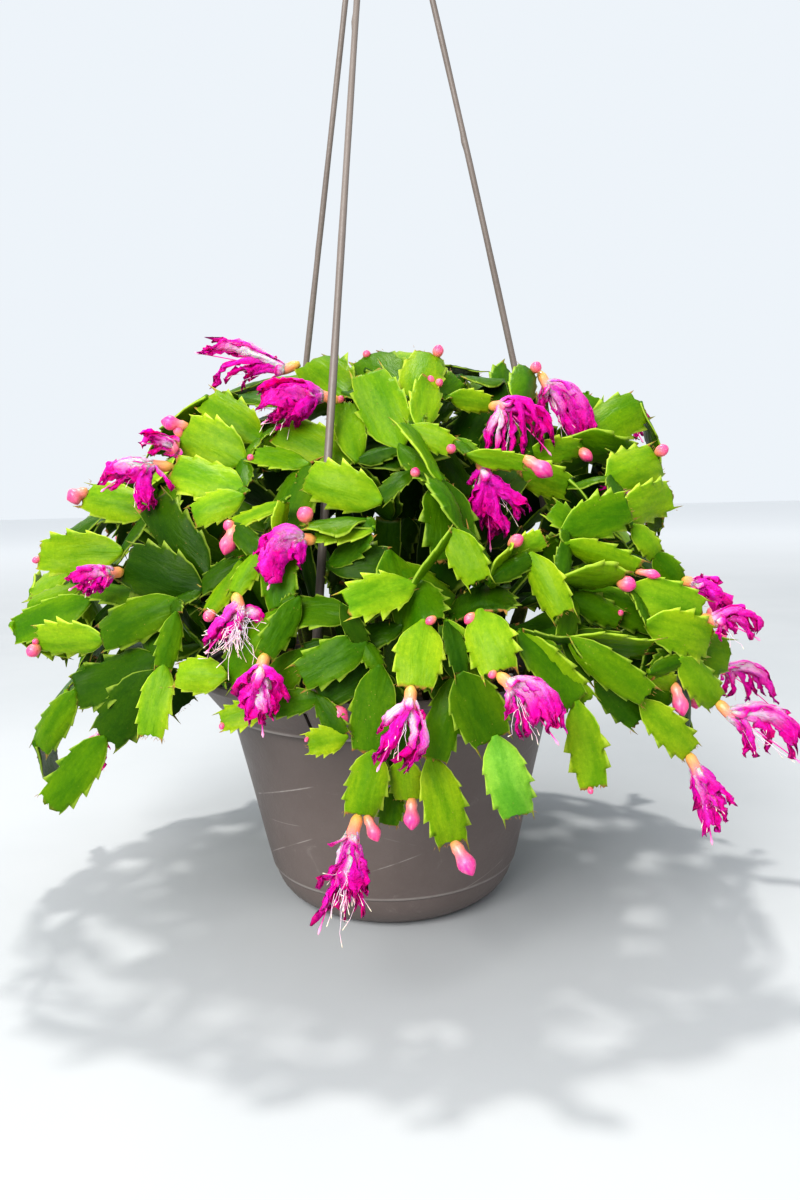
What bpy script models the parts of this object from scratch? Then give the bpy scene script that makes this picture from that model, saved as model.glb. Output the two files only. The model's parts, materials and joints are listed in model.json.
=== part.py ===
"""A Christmas cactus in a hanging basket: the basket, its moulded hanger, the soil, the rooted stems with their
buds, and the blooms. Blender units are metres, +Z up. The origin is the centre of the basket's underside and -Y
is the front."""

import math
import random

import bmesh
import bpy
import numpy as np
from mathutils import Vector
from mathutils.bvhtree import BVHTree

for old in list(bpy.data.objects):
    bpy.data.objects.remove(old, do_unlink=True)

# ---------------------------------------------------------------- driving dimensions, in millimetres
RIM_R = 101.5             # an 8 inch basket
RIM_Z = 124.0
COLLAR_R = 88.0           # the flared collar's lower edge
COLLAR_Z = 103.5
BODY_R = 83.5             # the top of the tapering body
RING_R, RING_Z = 65.2, 18.0
FOOT_R = 47.0
WALL = 1.8
FLOOR = 2.2
SOIL_Z = 106.0
DRAIN_D, DRAIN_AT, DRAINS = 9.0, 31.0, 5
STRAND_TURN = -17.8       # the azimuth of the front strand, from the front toward +X
STRAND_R = 103.6
STRAND_D_TOP, STRAND_D_FOOT = 3.0, 4.2
STRAND_BOW = (0.6, 2.4, 0.4)
HUB_AT = Vector((3.5, 8.3, 545.0))
HUB_R = 4.6
HOOK_R = 13.0
HOOK_D = 4.6
STEMS = 28
SIDES = 32
FILL = 70                 # segments grown freely,
FRONT_FILL = 60           # those that close open sight lines,
COVER = 130              # and of those that fill bare spots of the back
BACK_BLOOMS, BACK_BUDS = 6, 14

# ---------------------------------------------------------------- the plant
# The front of the plant is laid out as it is seen from the front, in an 800 x 1200 view, and each
# point gets its depth from a dome that the foliage fills. Lengths are millimetres, +Z up, the
# origin is the centre of the pot's underside, and -Y is the front.
VIEW_F = 917.6            # focal length of the front view, in its own units
VIEW_AT = Vector((6.4, -479.4, 217.4))
VIEW_PITCH = math.radians(7.5)
VIEW_ROLL = math.radians(1.41)
FW = Vector((0, math.cos(VIEW_PITCH), -math.sin(VIEW_PITCH)))
UP = Vector((0, math.sin(VIEW_PITCH), math.cos(VIEW_PITCH)))
RT = Vector((1, 0, 0))
DOME_AT = Vector((5, 0, 115))
DOME_X, DOME_FRONT, DOME_BACK, DOME_UP = 200.0, 140.0, 170.0, 172.0


def sight(px, py):
    """The unit direction of the sight line through a point of the front view."""
    u, v = px - 400, py - 600
    x = u * math.cos(VIEW_ROLL) - v * math.sin(VIEW_ROLL)
    y = u * math.sin(VIEW_ROLL) + v * math.cos(VIEW_ROLL)
    return (FW * VIEW_F + RT * x - UP * y).normalized()


def seen_at(p):
    """Where a point lies in the front view."""
    d = p - VIEW_AT
    z = d.dot(FW)
    x, y = VIEW_F * d.dot(RT) / z, -VIEW_F * d.dot(UP) / z
    return (
        x * math.cos(VIEW_ROLL) + y * math.sin(VIEW_ROLL) + 400,
        -x * math.sin(VIEW_ROLL) + y * math.cos(VIEW_ROLL) + 600,
    )


def dome(p):
    """Below 1 inside the dome that the foliage fills, above 1 outside it."""
    x, y, z = p - DOME_AT
    side = (abs(x) / DOME_X) ** 2
    deep = (abs(y) / (DOME_FRONT if y < 0 else DOME_BACK)) ** (1.5 if y < 0 else 1.8)
    tall = (abs(z) / (DOME_UP if z > 0 else 300.0)) ** 1.7
    return side + deep + tall


def on_dome(px, py, off=0.0):
    """The point of the sight line that first meets the dome, or passes nearest to it, plus an offset."""
    d = sight(px, py)
    best, at = 9.0, 400.0
    t = 250.0
    while t < 760:
        f = dome(VIEW_AT + d * t)
        if f < best:
            best, at = f, t
        if f < 1.0:
            break
        t += 2.0
    return VIEW_AT + d * (at + off)


# The leaf segments of the front: name, the segment it grows from, base, tip and width in the view,
# the depth offsets of base and tip, the roll about its own axis in degrees, and its tone
# (0 dark old green, 1 young lime, 2 bluish mint).
LEAVES = [
    ("a1", "", 152, 510, 84, 494, 35, 10, 4, 10, 0.85),
    ("a2", "", 207, 576, 150, 500, 45, 12, 12, -8, 0.12),
    ("a3", "", 135, 518, 103, 518, 13, 22, 20, 30, 0.2),
    ("a3b", "a3", 103, 518, 66, 535, 14, 20, 18, 30, 0.25),
    ("a4", "", 121, 552, 39, 556, 38, 4, 0, 6, 0.85),
    ("a5", "", 200, 591, 125, 562, 55, 6, 4, -5, 0.08),
    ("a6", "", 71, 573, 32, 592, 16, 16, 14, 35, 0.8),
    ("a7", "", 82, 588, 28, 604, 17, 12, 10, 35, 0.7),
    ("a8", "", 88, 602, 13, 632, 34, 8, 6, 10, 0.5),
    ("a9", "", 147, 600, 87, 585, 22, 8, 8, 25, 0.35),
    ("a10", "", 176, 602, 100, 638, 38, 4, 0, 10, 0.35),
    ("a11", "a10", 101, 640, 36, 638, 30, 0, -2, -20, 0.95),
    ("a12", "", 176, 615, 163, 669, 25, 0, -2, 0, 0.45),
    ("a13", "", 158, 660, 73, 693, 46, 4, 6, 8, 0.15),
    ("a14", "", 156, 674, 103, 740, 46, 0, -2, 0, 0.15),
    ("a15", "a13", 73, 694, 39, 749, 26, 6, 4, 10, 0.5),
    ("a16", "a14", 103, 740, 48, 806, 38, -2, -4, 0, 0.45),
    ("a17", "a12", 163, 670, 150, 739, 36, -4, -8, 0, 0.95),
    ("a18", "", 224, 676, 176, 674, 34, 0, -4, 20, 0.9),
    ("a19", "", 282, 611, 222, 680, 35, 2, 0, 12, 0.6),
    ("a20", "", 264, 708, 220, 722, 28, 4, 0, 20, 0.9),
    ("b1", "", 243, 460, 183, 430, 46, 10, 6, 0, 0.92),
    ("b2", "", 241, 490, 172, 470, 42, 4, 2, 5, 0.95),
    ("b3", "", 259, 440, 205, 398, 36, 14, 10, 10, 0.8),
    ("b4", "", 241, 497, 192, 517, 34, 0, -4, 0, 0.95),
    ("b5", "", 307, 465, 252, 456, 19, 12, 8, 25, 0.65),
    ("b6", "", 353, 465, 277, 429, 42, 26, 16, 0, 0.75),
    ("b7", "", 356, 461, 344, 401, 25, 24, 18, 20, 0.6),
    ("b8", "", 400, 447, 367, 371, 45, 22, 18, 10, 0.78),
    ("b9", "", 399, 388, 366, 357, 30, 20, 20, 10, 0.4),
    ("b10", "", 345, 395, 310, 362, 34, 16, 14, 10, 0.6),
    ("b11", "", 379, 501, 307, 475, 45, 2, -4, 5, 0.88),
    ("b12", "", 282, 504, 232, 525, 17, 2, -2, 30, 0.85),
    ("b13", "", 277, 535, 284, 501, 14, 2, -2, 30, 0.7),
    ("b14", "", 363, 521, 306, 522, 9, 2, -3, 75, 0.4),
    ("b15", "", 372, 529, 313, 535, 22, 2, -5, 35, 0.88),
    ("b16", "", 260, 553, 233, 594, 20, 0, -2, 30, 0.85),
    ("b17", "", 241, 562, 208, 612, 19, 2, 0, 30, 0.8),
    ("b18", "", 330, 565, 391, 560, 38, 16, 14, 0, 0.15),
    ("b19", "", 412, 585, 343, 607, 40, 2, -8, 15, 0.9),
    ("b20", "", 350, 615, 283, 614, 36, 4, 0, 12, 0.32),
    ("b21", "", 364, 644, 298, 678, 44, 2, -2, 5, 0.34),
    ("b22", "", 372, 667, 318, 697, 40, 8, 4, -8, 0.15),
    ("b23", "", 400, 628, 352, 645, 30, 10, 8, 12, 0.2),
    ("b24", "", 302, 652, 260, 706, 35, 10, 8, 0, 0.45),
    ("c1", "", 413, 400, 430, 353, 32, 10, 8, 10, 0.88),
    ("c2", "", 419, 427, 430, 380, 20, 6, 4, 30, 0.8),
    ("c3", "", 440, 397, 457, 378, 18, 16, 14, 20, 0.5),
    ("c4", "", 501, 382, 459, 378, 9, 32, 26, 70, 0.3),
    ("c5", "", 451, 397, 491, 404, 24, 22, 18, 20, 0.8),
    ("c6", "", 500, 402, 509, 372, 11, 62, 58, 60, 0.4),
    ("c7", "", 518, 405, 529, 369, 18, 16, 10, 20, 0.4),
    ("c8", "", 412, 428, 453, 448, 28, 4, 0, 15, 0.88),
    ("c9", "", 461, 529, 438, 478, 11, 4, 0, 65, 0.4),
    ("c10", "c9", 438, 477, 400, 423, 16, 0, 2, 45, 0.6),
    ("c11", "", 442, 484, 411, 473, 14, 6, 4, 40, 0.5),
    ("c12", "", 470, 455, 526, 463, 22, 14, 8, 30, 0.88),
    ("c13", "", 530, 452, 581, 448, 22, 32, 32, 30, 0.8),
    ("c14", "", 519, 469, 569, 488, 36, 30, 30, 10, 0.88),
    ("c15", "", 590, 540, 550, 508, 28, 4, 2, 20, 0.5),
    ("c16", "", 585, 434, 587, 394, 30, 48, 40, 10, 0.6),
    ("c17", "", 580, 440, 642, 404, 45, 42, 34, 5, 0.6),
    ("c18", "", 571, 439, 631, 455, 11, 30, 28, 65, 0.5),
    ("c19", "", 609, 478, 659, 458, 38, 10, 4, 8, 0.8),
    ("c20", "", 622, 511, 673, 494, 30, 4, 0, 15, 0.88),
    ("c21", "", 565, 530, 631, 505, 40, 6, 2, 10, 0.5),
    ("c22", "", 634, 527, 657, 556, 24, 8, 6, 0, 0.9),
    ("c23", "c22", 657, 556, 680, 584, 26, 6, 6, 0, 0.45),
    ("c24", "", 567, 543, 640, 569, 25, 2, -2, 30, 0.75),
    ("c25", "", 630, 589, 703, 614, 40, 0, -4, 8, 0.95),
    ("c26", "", 562, 579, 620, 582, 9, 2, -2, 70, 0.6),
    ("c27", "", 577, 586, 660, 626, 36, 6, 4, 10, 0.42),
    ("c28", "", 648, 624, 711, 642, 38, 2, 0, 12, 0.82),
    ("c29", "", 678, 650, 731, 655, 36, 0, -2, 5, 0.55),
    ("c30", "", 681, 659, 718, 703, 26, -2, -6, 5, 0.8),
    ("c31", "", 642, 702, 692, 753, 31, 4, 0, 5, 0.92),
    ("c32", "", 577, 704, 594, 789, 38, 0, -4, 5, 0.92),
    ("c33", "", 520, 633, 588, 704, 34, 2, -2, 15, 0.7),
    ("c34", "", 570, 640, 651, 698, 36, 4, 0, 12, 0.55),
    ("c35", "", 562, 640, 652, 644, 9, 2, -2, 70, 0.6),
    ("c36", "", 573, 634, 648, 652, 25, 8, 6, 15, 0.28),
    ("c37", "", 532, 556, 564, 616, 36, -2, -6, 8, 0.88),
    ("c38", "", 453, 532, 480, 583, 38, 0, -4, 8, 0.7),
    ("c39", "", 489, 580, 509, 553, 9, 2, 0, 70, 0.6),
    ("c40", "c39", 509, 553, 545, 537, 26, 0, -4, 10, 0.9),
    ("c41", "", 612, 641, 678, 664, 50, 10, 8, 0, 0.2),
    ("c42", "", 597, 678, 640, 722, 28, 8, 6, 0, 0.3),
    ("c43", "", 643, 680, 667, 708, 26, 12, 10, 0, 0.25),
    ("c44", "", 650, 672, 674, 686, 17, 8, 4, 20, 0.85),
    ("c45", "", 572, 596, 622, 620, 28, 14, 12, 0, 0.35),
    ("e31", "", 458, 440, 481, 461, 15, 22, 16, 20, 0.5),
    ("e32", "", 578, 424, 600, 404, 20, 74, 70, 0, 0.5),
    ("e33", "", 600, 452, 634, 470, 20, 44, 40, 10, 0.5),
    ("d1", "", 408, 583, 425, 625, 44, 2, -2, 10, 0.33),
    ("d2", "d1", 423, 624, 415, 689, 48, -2, -8, 0, 0.98),
    ("d3", "", 480, 588, 480, 614, 48, 8, -4, 20, 0.12),
    ("d4", "d3", 480, 612, 500, 673, 50, -4, -10, 0, 0.98),
    ("d5", "", 447, 622, 490, 684, 27, 2, 0, 25, 0.85),
    ("d6", "", 461, 676, 493, 742, 54, 2, 0, -5, 0.35),
    ("d7", "", 456, 678, 434, 762, 38, 6, 4, 5, 0.4),
    ("d8", "", 379, 668, 368, 754, 48, 6, 4, 5, 0.4),
    ("d9", "d6", 495, 738, 519, 818, 45, -2, -4, 0, 2.0),
    ("d10", "d7", 430, 763, 453, 845, 42, 2, 0, 0, 0.85),
    ("d11", "d8", 374, 755, 359, 817, 44, 2, 0, -5, 0.85),
    ("d12", "", 403, 760, 408, 801, 34, 8, 4, 10, 0.88),
    ("d13", "", 394, 788, 388, 826, 28, 12, 12, 0, 0.4),
    ("d14", "", 344, 737, 306, 744, 31, 2, -4, 0, 0.92),
    ("e1", "", 298, 600, 264, 656, 30, 5, 2, 0, 0.35),
]

# The blooms: name, the leaf it grows from, and the view points of its start, its throat, its middle
# and its tip, the width of its petals in the view, the depth offset, and how its petals lie
# (0 drooping closed, 1 flared open).
FLOWERS = [
    ("A", "b2", [(172, 466), (150, 466), (128, 474), (106, 480)], 34, 0, 0.9),
    ("B", "b10", [(303, 375), (284, 375), (245, 366), (208, 358)], 30, 12, 0.8),
    ("C", "b7", [(326, 405), (313, 399), (288, 402), (262, 408)], 42, 8, 0.7),
    ("D", "b14", [(319, 546), (305, 544), (288, 554), (274, 570)], 44, -4, 0.5),
    ("E", "c5", [(489, 406), (501, 407), (517, 422), (520, 446)], 40, 6, 0.9),
    ("F", "c7", [(532, 375), (543, 387), (560, 407), (578, 430)], 44, 10, 0.5),
    ("G", "e31", [(482, 464), (485, 475), (492, 500), (496, 530)], 38, -2, 0.8),
    ("H", "c23", [(680, 578), (691, 582), (706, 592), (724, 604)], 30, 6, 0.8),
    ("I", "c28", [(700, 618), (713, 620), (732, 622), (752, 632)], 28, 2, 0.7),
    ("J", "c29", [(709, 668), (724, 670), (748, 678), (764, 696)], 30, -2, 0.8),
    ("K", "c30", [(718, 702), (732, 714), (764, 722), (796, 744)], 34, -6, 0.9),
    ("L", "c31", [(690, 756), (697, 770), (708, 796), (724, 826)], 30, 0, 0.5),
    ("M", "d4", [(499, 673), (511, 684), (531, 700), (550, 722)], 42, -12, 0.35),
    ("N", "d2", [(411, 690), (409, 706), (405, 735), (392, 764)], 40, -12, 0.5),
    ("O", "b17", [(245, 590), (243, 603), (236, 622), (228, 642)], 44, -6, 0.9),
    ("P", "b24", [(263, 658), (260, 671), (257, 694), (257, 719)], 42, -6, 0.4),
    ("Q", "d11", [(358, 817), (352, 836), (346, 868), (343, 908)], 40, -4, 0.7),
    ("R", "a4", [(124, 573), (112, 574), (92, 576), (74, 584)], 28, -2, 0.7),
    ("S", "e33", [(638, 472), (635, 480), (628, 488), (618, 494)], 28, 40, 0.5),
    ("T", "e32", [(604, 402), (616, 406), (632, 413), (643, 424)], 30, 40, 0.9),
    ("U", "b1", [(183, 448), (176, 452), (162, 452), (148, 450)], 18, 12, 0.5),
]

# The buds: the view points of base and tip, the width in the view, and how far its tip has turned magenta.
BUDS = [
    (184, 424, 157, 418, 15, 0.7), (184, 440, 166, 436, 13, 0.6), (84, 490, 64, 499, 17, 0.2),
    (257, 466, 253, 461, 7, 0.1), (216, 529, 205, 533, 12, 0.2), (241, 527, 231, 556, 17, 0.3),
    (301, 523, 294, 508, 17, 0.2), (334, 407, 333, 399, 7, 0.1), (364, 354, 364, 346, 8, 0.1),
    (436, 358, 440, 346, 11, 0.1), (432, 385, 428, 377, 7, 0.1), (444, 382, 451, 377, 8, 0.1),
    (534, 370, 541, 360, 11, 0.2), (448, 455, 454, 447, 10, 0.2), (413, 490, 415, 480, 10, 0.2),
    (444, 538, 438, 526, 13, 0.1), (522, 534, 536, 524, 13, 0.1), (528, 459, 556, 477, 18, 0.7),
    (574, 449, 586, 461, 12, 0.3), (626, 461, 631, 458, 5, 0.1), (649, 457, 662, 450, 12, 0.2),
    (628, 568, 653, 573, 10, 0.5), (620, 583, 639, 586, 16, 0.5), (617, 615, 617, 609, 6, 0.3),
    (394, 599, 394, 609, 9, 0.1), (474, 610, 464, 620, 11, 0.1), (444, 629, 434, 635, 9, 0.1),
    (496, 672, 490, 679, 8, 0.1), (32, 646, 20, 656, 13, 0.2), (35, 641, 29, 643, 6, 0.2),
    (46, 560, 37, 562, 7, 0.2), (222, 610, 212, 619, 12, 0.2), (202, 658, 194, 664, 10, 0.2),
    (228, 722, 226, 729, 6, 0.3), (332, 697, 355, 718, 17, 0.3), (330, 727, 328, 731, 4, 0.3),
    (412, 797, 412, 829, 17, 0.6), (453, 841, 472, 875, 19, 0.7), (366, 816, 378, 842, 14, 0.3),
    (671, 681, 680, 714, 16, 0.4), (590, 790, 592, 797, 6, 0.2),
]


# The outline of the foliage in the front view, and the part of the view that the basket hides
OUTLINE_VIEW = [
    (38, 806), (104, 768), (128, 742), (168, 738), (196, 704), (228, 722), (246, 704), (560, 704), (586, 716), (640, 716), (688, 752), (700, 728), (722, 664),
    (716, 622), (700, 596), (684, 566), (664, 548), (672, 500), (664, 476), (656, 440), (640, 402), (590, 390), (520, 372), (450, 352), (400, 352),
    (330, 358), (268, 370), (214, 398), (170, 418), (120, 478), (84, 486), (74, 524), (40, 548), (40, 576), (14, 620), (26, 656), (78, 664), (36, 744),
]
BASKET_VIEW = (246, 534, 690, 912)


def in_view(p):
    """Whether a point lies within the outline of the foliage in the front view, or behind the basket."""
    px, py = seen_at(p)
    if p.y > 0 and BASKET_VIEW[0] < px < BASKET_VIEW[1] and BASKET_VIEW[2] < py < BASKET_VIEW[3]:
        return True
    inside = False
    for (x0, y0), (x1, y1) in zip(OUTLINE_VIEW, OUTLINE_VIEW[1:] + OUTLINE_VIEW[:1]):
        if (y0 > py) != (y1 > py) and px < x0 + (x1 - x0) * (py - y0) / (y1 - y0):
            inside = not inside
    return inside


def unit(v):
    return v.normalized() if v.length > 1e-9 else Vector((0, 0, 1))


def square_to(axis, want):
    """The unit vector nearest to the wanted one that is square to the axis."""
    n = want - axis * want.dot(axis)
    if n.length < 1e-3:
        n = Vector((0, 0, 1)) - axis * axis.z
    if n.length < 1e-3:
        n = Vector((1, 0, 0)) - axis * axis.x
    return n.normalized()


def turned(v, axis, degrees):
    a = math.radians(degrees)
    return v * math.cos(a) + axis.cross(v) * math.sin(a) + axis * axis.dot(v) * (1 - math.cos(a))


def blade(a, b, n, width, thick, more=0.0, inner=False):
    """The plain solid of one segment, flat below and ridged along its middle: widest past its middle, or even for an inner one."""
    axis = unit(b - a)
    side = axis.cross(n).normalized()
    length = (b - a).length
    verts = []
    rings = ((-2.4 / length, 0.74), (1.0 + more * 0.5 / length, 0.82)) if inner else ((-2.4 / length, 0.40), (0.58, 1.0), (1.0 + more * 0.5 / length, 0.58))
    for t, w in rings:
        c = a + axis * (t * length)
        hw, hh = w * width / 2 + more, w * (thick + 0.4) / 2 + more
        verts += [c + side * hw - n * hh * 0.8, c + n * hh * 1.2, c - side * hw - n * hh * 0.8]
    top = 3 * (len(rings) - 1)
    faces = [(2, 1, 0), (top, top + 1, top + 2)]
    for r in range(0, top, 3):
        for k in range(3):
            j = (k + 1) % 3
            faces += [(r + k, r + j, r + 3 + j, r + 3 + k)]
    return verts, faces


def pod(points, radii, sides=6):
    """A closed round body along a line of points, with a radius at each."""
    verts, faces = [], []
    n = None
    for i, p in enumerate(points):
        axis = unit(points[min(i + 1, len(points) - 1)] - points[max(i - 1, 0)])
        n = square_to(axis, n if n else Vector((0.3, -1, 0.2)))
        s = axis.cross(n)
        for k in range(sides):
            a = 2 * math.pi * k / sides
            verts.append(p + (n * math.cos(a) + s * math.sin(a)) * radii[i])
    for i in range(len(points) - 1):
        for k in range(sides):
            j = (k + 1) % sides
            faces.append((i * sides + k, i * sides + j, (i + 1) * sides + j, (i + 1) * sides + k))
    faces.append(tuple(range(sides))[::-1])
    faces.append(tuple((len(points) - 1) * sides + k for k in range(sides)))
    return verts, faces


def turned_shell(profile, sides=28):
    """A coarse open surface of revolution, from (radius, height) pairs."""
    verts, faces = [], []
    for r, z in profile:
        for k in range(sides):
            a = 2 * math.pi * k / sides
            verts.append(Vector((r * math.cos(a), r * math.sin(a), z)))
    for i in range(len(profile) - 1):
        for k in range(sides):
            j = (k + 1) % sides
            faces.append((i * sides + k, i * sides + j, (i + 1) * sides + j, (i + 1) * sides + k))
    return verts, faces


def strand_ends():
    """The foot and the top of each of the three strands."""
    found = []
    for k in range(3):
        a = math.radians(STRAND_TURN + 120 * k)
        foot = Vector((STRAND_R * math.sin(a), -STRAND_R * math.cos(a), RIM_Z))
        top = HUB_AT + Vector((HUB_R * math.sin(a), -HUB_R * math.cos(a), 0))
        found.append((foot, top))
    return found


def strand_line(foot, top, k, steps=12):
    """A strand's centre line: nearly straight, with the slight bow that its own weight and set give it."""
    out = Vector((foot.x, foot.y, 0)).normalized()
    bow = STRAND_BOW[k]
    return [foot.lerp(top, i / steps) + out * (bow * 4 * (i / steps) * (1 - i / steps)) for i in range(steps + 1)]


class Space:
    """The bodies placed so far, for keeping new ones clear of them."""

    def __init__(self):
        self.trees, self.low, self.high, self.tag = [], [], [], []
        self.verts, self.faces, self.built, self.one = [], [], 0, None

    def add(self, shape, tag):
        verts, faces = shape
        first = len(self.verts)
        self.verts += [tuple(v) for v in verts]
        self.faces += [tuple(first + i for i in f) for f in faces]
        self.trees.append(BVHTree.FromPolygons([tuple(v) for v in verts], faces))
        a = np.array([tuple(v) for v in verts])
        self.low.append(a.min(0))
        self.high.append(a.max(0))
        self.tag.append(tag)

    def first_hit(self, start, way):
        """How far along a sight line the first body lies, or None."""
        if self.built != len(self.trees):
            self.one = BVHTree.FromPolygons(self.verts, self.faces)
            self.built = len(self.trees)
        return self.one.ray_cast(start, way)[3]

    def clear(self, shape, skip=()):
        verts, faces = shape
        a = np.array([tuple(v) for v in verts])
        lo, hi = a.min(0), a.max(0)
        if lo[2] < 3.0:
            return False
        if not self.trees:
            return True
        near = np.all((np.array(self.low) < hi) & (np.array(self.high) > lo), axis=1)
        tree = None
        for i in np.nonzero(near)[0]:
            if self.tag[i] in skip:
                continue
            tree = tree or BVHTree.FromPolygons([tuple(v) for v in verts], faces)
            if tree.overlap(self.trees[i]):
                return False
        return True


def grow():
    """The whole plant: its segments, buds and blooms, none of which runs through another."""
    rng = random.Random(11)
    space = Space()
    pot = turned_shell([(FOOT_R, 0), (RING_R, RING_Z), (BODY_R + 0.5, COLLAR_Z), (RIM_R + 0.6, RIM_Z - 6), (RIM_R + 0.6, RIM_Z + 0.6), (RIM_R - 3.0, RIM_Z + 0.6), (BODY_R - 3.0, COLLAR_Z), (BODY_R - 3.5, SOIL_Z + 0.6), (1, SOIL_Z + 0.3)])
    space.add(pot, "pot")
    for k, (foot, top) in enumerate(strand_ends()):
        line = strand_line(foot, top, k, 6)
        space.add(pod(line, [3.0] * len(line), 6), "strand")
        out = Vector((foot.x, foot.y, 0)).normalized()
        tab = [foot + out * 0.5 + Vector((0, 0, 8)), foot + out * 0.5, foot - out * 7 + Vector((0, 0, -24))]
        space.add(pod(tab, [5.5, 6.0, 5.5], 6), "strand")

    parts = []     # segments
    tips = {}      # name -> index

    def put(name, stem, parent, a, b, n, width, thick, tone, kind, wide=None):
        parts.append(dict(name=name, stem=stem, parent=parent, a=a, b=b, n=n, w=width, t=thick, tone=tone, kind=kind))
        space.add(blade(a, b, n, width, thick, 0.0, kind == "inner"), len(parts) - 1)
        return len(parts) - 1

    def kin(i):
        """A segment and those it may touch: itself, its parent, and its siblings."""
        if i is None:
            return set()
        found = {i}
        for j, p in enumerate(parts):
            if p["parent"] == i:
                found.add(j)
        return found

    # 1. The rooted stems, spread evenly over the dome, up to about two thirds of its radius.
    for s in range(STEMS):
        share = (s + 0.5) / STEMS
        az = math.radians(137.508 * s + 20)
        out = Vector((math.sin(az), -math.cos(az), 0))
        root = out * (6 + 68 * math.sqrt(1 - share)) + Vector((0, 0, SOIL_Z + 1.9))
        lift = math.asin(0.10 + 0.86 * share)
        aim = out * math.cos(lift) + Vector((0, 0, math.sin(lift)))
        reach = 60.0
        while dome(DOME_AT + aim * reach) < 1.0:
            reach += 2.0
        end = DOME_AT + aim * (reach * 0.60)
        end.z = max(end.z, RIM_Z + 16)
        ctrl = root + out * 14 + Vector((0, 0, 62 + 22 * share))
        done = False
        for attempt in range(14):
            c = ctrl + Vector([rng.uniform(-1, 1) * 4 * attempt for _ in range(3)]) * (1 if attempt else 0)
            e = end + Vector([rng.uniform(-1, 1) * 3 * attempt for _ in range(3)])
            curve = [root.lerp(c, u).lerp(c.lerp(e, u), u) for u in [i / 40 for i in range(41)]]
            total = sum((curve[i + 1] - curve[i]).length for i in range(40))
            count = max(2, round(total / 46))
            joints, walked, step = [curve[0]], 0.0, total / count
            for i in range(40):
                walked += (curve[i + 1] - curve[i]).length
                if walked >= step * len(joints) - 1e-6 and len(joints) < count:
                    joints.append(curve[i + 1])
            joints.append(curve[-1])
            plan, ok = [], True
            roll = rng.uniform(-40, 40)
            for i in range(count):
                a, b = joints[i], joints[i + 1]
                axis = unit(b - a)
                n = turned(square_to(axis, out * 0.6 + Vector((0, 0, 1))), axis, roll * (1 - i / count))
                w = 11 + 8 * i / count
                th = 5.0 - 1.6 * i / count
                base = a + axis * 2.6 if i == 0 else a
                if not space.clear(blade(base, b, n, w, th, 0.8, True), {"pot"} if i == 0 else ()):
                    ok = False
                    break
                plan.append((base, b, n, w, th))
            if ok:
                last = None
                for i, (a, b, n, w, th) in enumerate(plan):
                    last = put("s%d_%d" % (s, i), s, last, a, b, n, w, th, 0.1, "inner")
                done = True
                break
        if not done:
            print("stem left out", s)

    def level(a, b):
        """Slides a leaf's tip along its sight line until the leaf is no longer than it can be."""
        d = unit(b - VIEW_AT)
        near = VIEW_AT + d * (a - VIEW_AT).dot(d)
        flat = (near - a).length
        most = min(56.0, max(flat * 1.01, 1.16 * flat, 33.0))
        if (b - a).length <= most:
            return b
        slide = math.sqrt(max(0.0, most * most - flat * flat))
        return near + d * (slide if (b - near).dot(d) > 0 else -slide)

    # 2. The leaves of the front, each set back or rolled a little where it would run into another.
    order = list(LEAVES)
    dropped = []
    starts = []
    for name, parent, bx, by, tx, ty, wide, ob, ot, roll, tone in order:
        if parent and parent not in tips:
            dropped.append(name)
            continue
        up = tips.get(parent)
        placed = False
        tries = [(dr, db, dt, sc) for sc in (1.0, 0.88, 0.76) for dr in (0, 14, -14, 28, -28, 45, -45) for db in (0, 7, 14, 22, -6) for dt in (0, 6, 12, 20, 28, -6, -12)]
        tries.sort(key=lambda q: abs(q[0]) / 9 + abs(q[1]) / 7 + abs(q[2]) / 7 + (1 - q[3]) * 26)
        for dr, db, dt, sc in tries:
            if up is not None:
                if db:
                    continue
                pb = parts[up]["b"]
                pax = unit(pb - parts[up]["a"])
                side = pax.cross(parts[up]["n"])
                want = VIEW_AT + sight(bx, by) * (pb - VIEW_AT).length
                a = pb + side * max(-0.2, min(0.2, (want - pb).dot(side) / parts[up]["w"])) * parts[up]["w"] - pax * 0.8
            else:
                a = on_dome(bx, by, ob + db)
            b = on_dome(tx, ty, ot + dt)
            b = level(a, b)
            if (b - a).length < 12:
                if abs(dt) + abs(db) > 0:
                    continue
                b = a + unit(b - a) * 14.0
            axis = unit(b - a)
            mid = (a + b) / 2
            look = unit(VIEW_AT - mid)
            bulge = unit(Vector(((mid.x - 5) / 1.4, mid.y * 1.2, (mid.z - 100) * 1.1)))
            n = square_to(axis, look * 0.7 + bulge * 0.3)
            n = turned(n, axis, roll + dr)
            scale = VIEW_F / (mid - VIEW_AT).dot(FW)
            face = max(0.45, abs(n.dot(look)))
            w = wide / scale / face * sc
            w = max(8.0, min(31.0, w))
            if abs(roll) >= 50:
                w = 22.0 * sc
            if space.clear(blade(a, b, n, w, 3.0, 0.5), kin(up)):
                i = put(name, None, up, a, b, n, w, 3.0, tone, "leaf")
                tips[name] = i
                if up is None:
                    starts.append(i)
                placed = True
                break
        if not placed:
            dropped.append(name)
    note = ["front leaves left out: " + " ".join(dropped)]

    # 3. The buds and blooms of the front. Each bloom is a separate body a little clear of the end that carries it.
    buds, blooms = [], []

    def free_ends():
        """The segments that nothing grows from yet."""
        used = {p["parent"] for p in parts} | {q["leaf"] for q in blooms}
        return [j for j, p in enumerate(parts) if p["kind"] in ("leaf", "fill") and j not in used]

    def end_point(j, want):
        """The point of a segment's end edge that is nearest to a point."""
        p = parts[j]
        axis = unit(p["b"] - p["a"])
        side = axis.cross(p["n"])
        k = max(-0.22, min(0.22, (want - p["b"]).dot(side) / p["w"]))
        return p["b"] + side * (k * p["w"]) - axis * 1.2, axis

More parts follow.
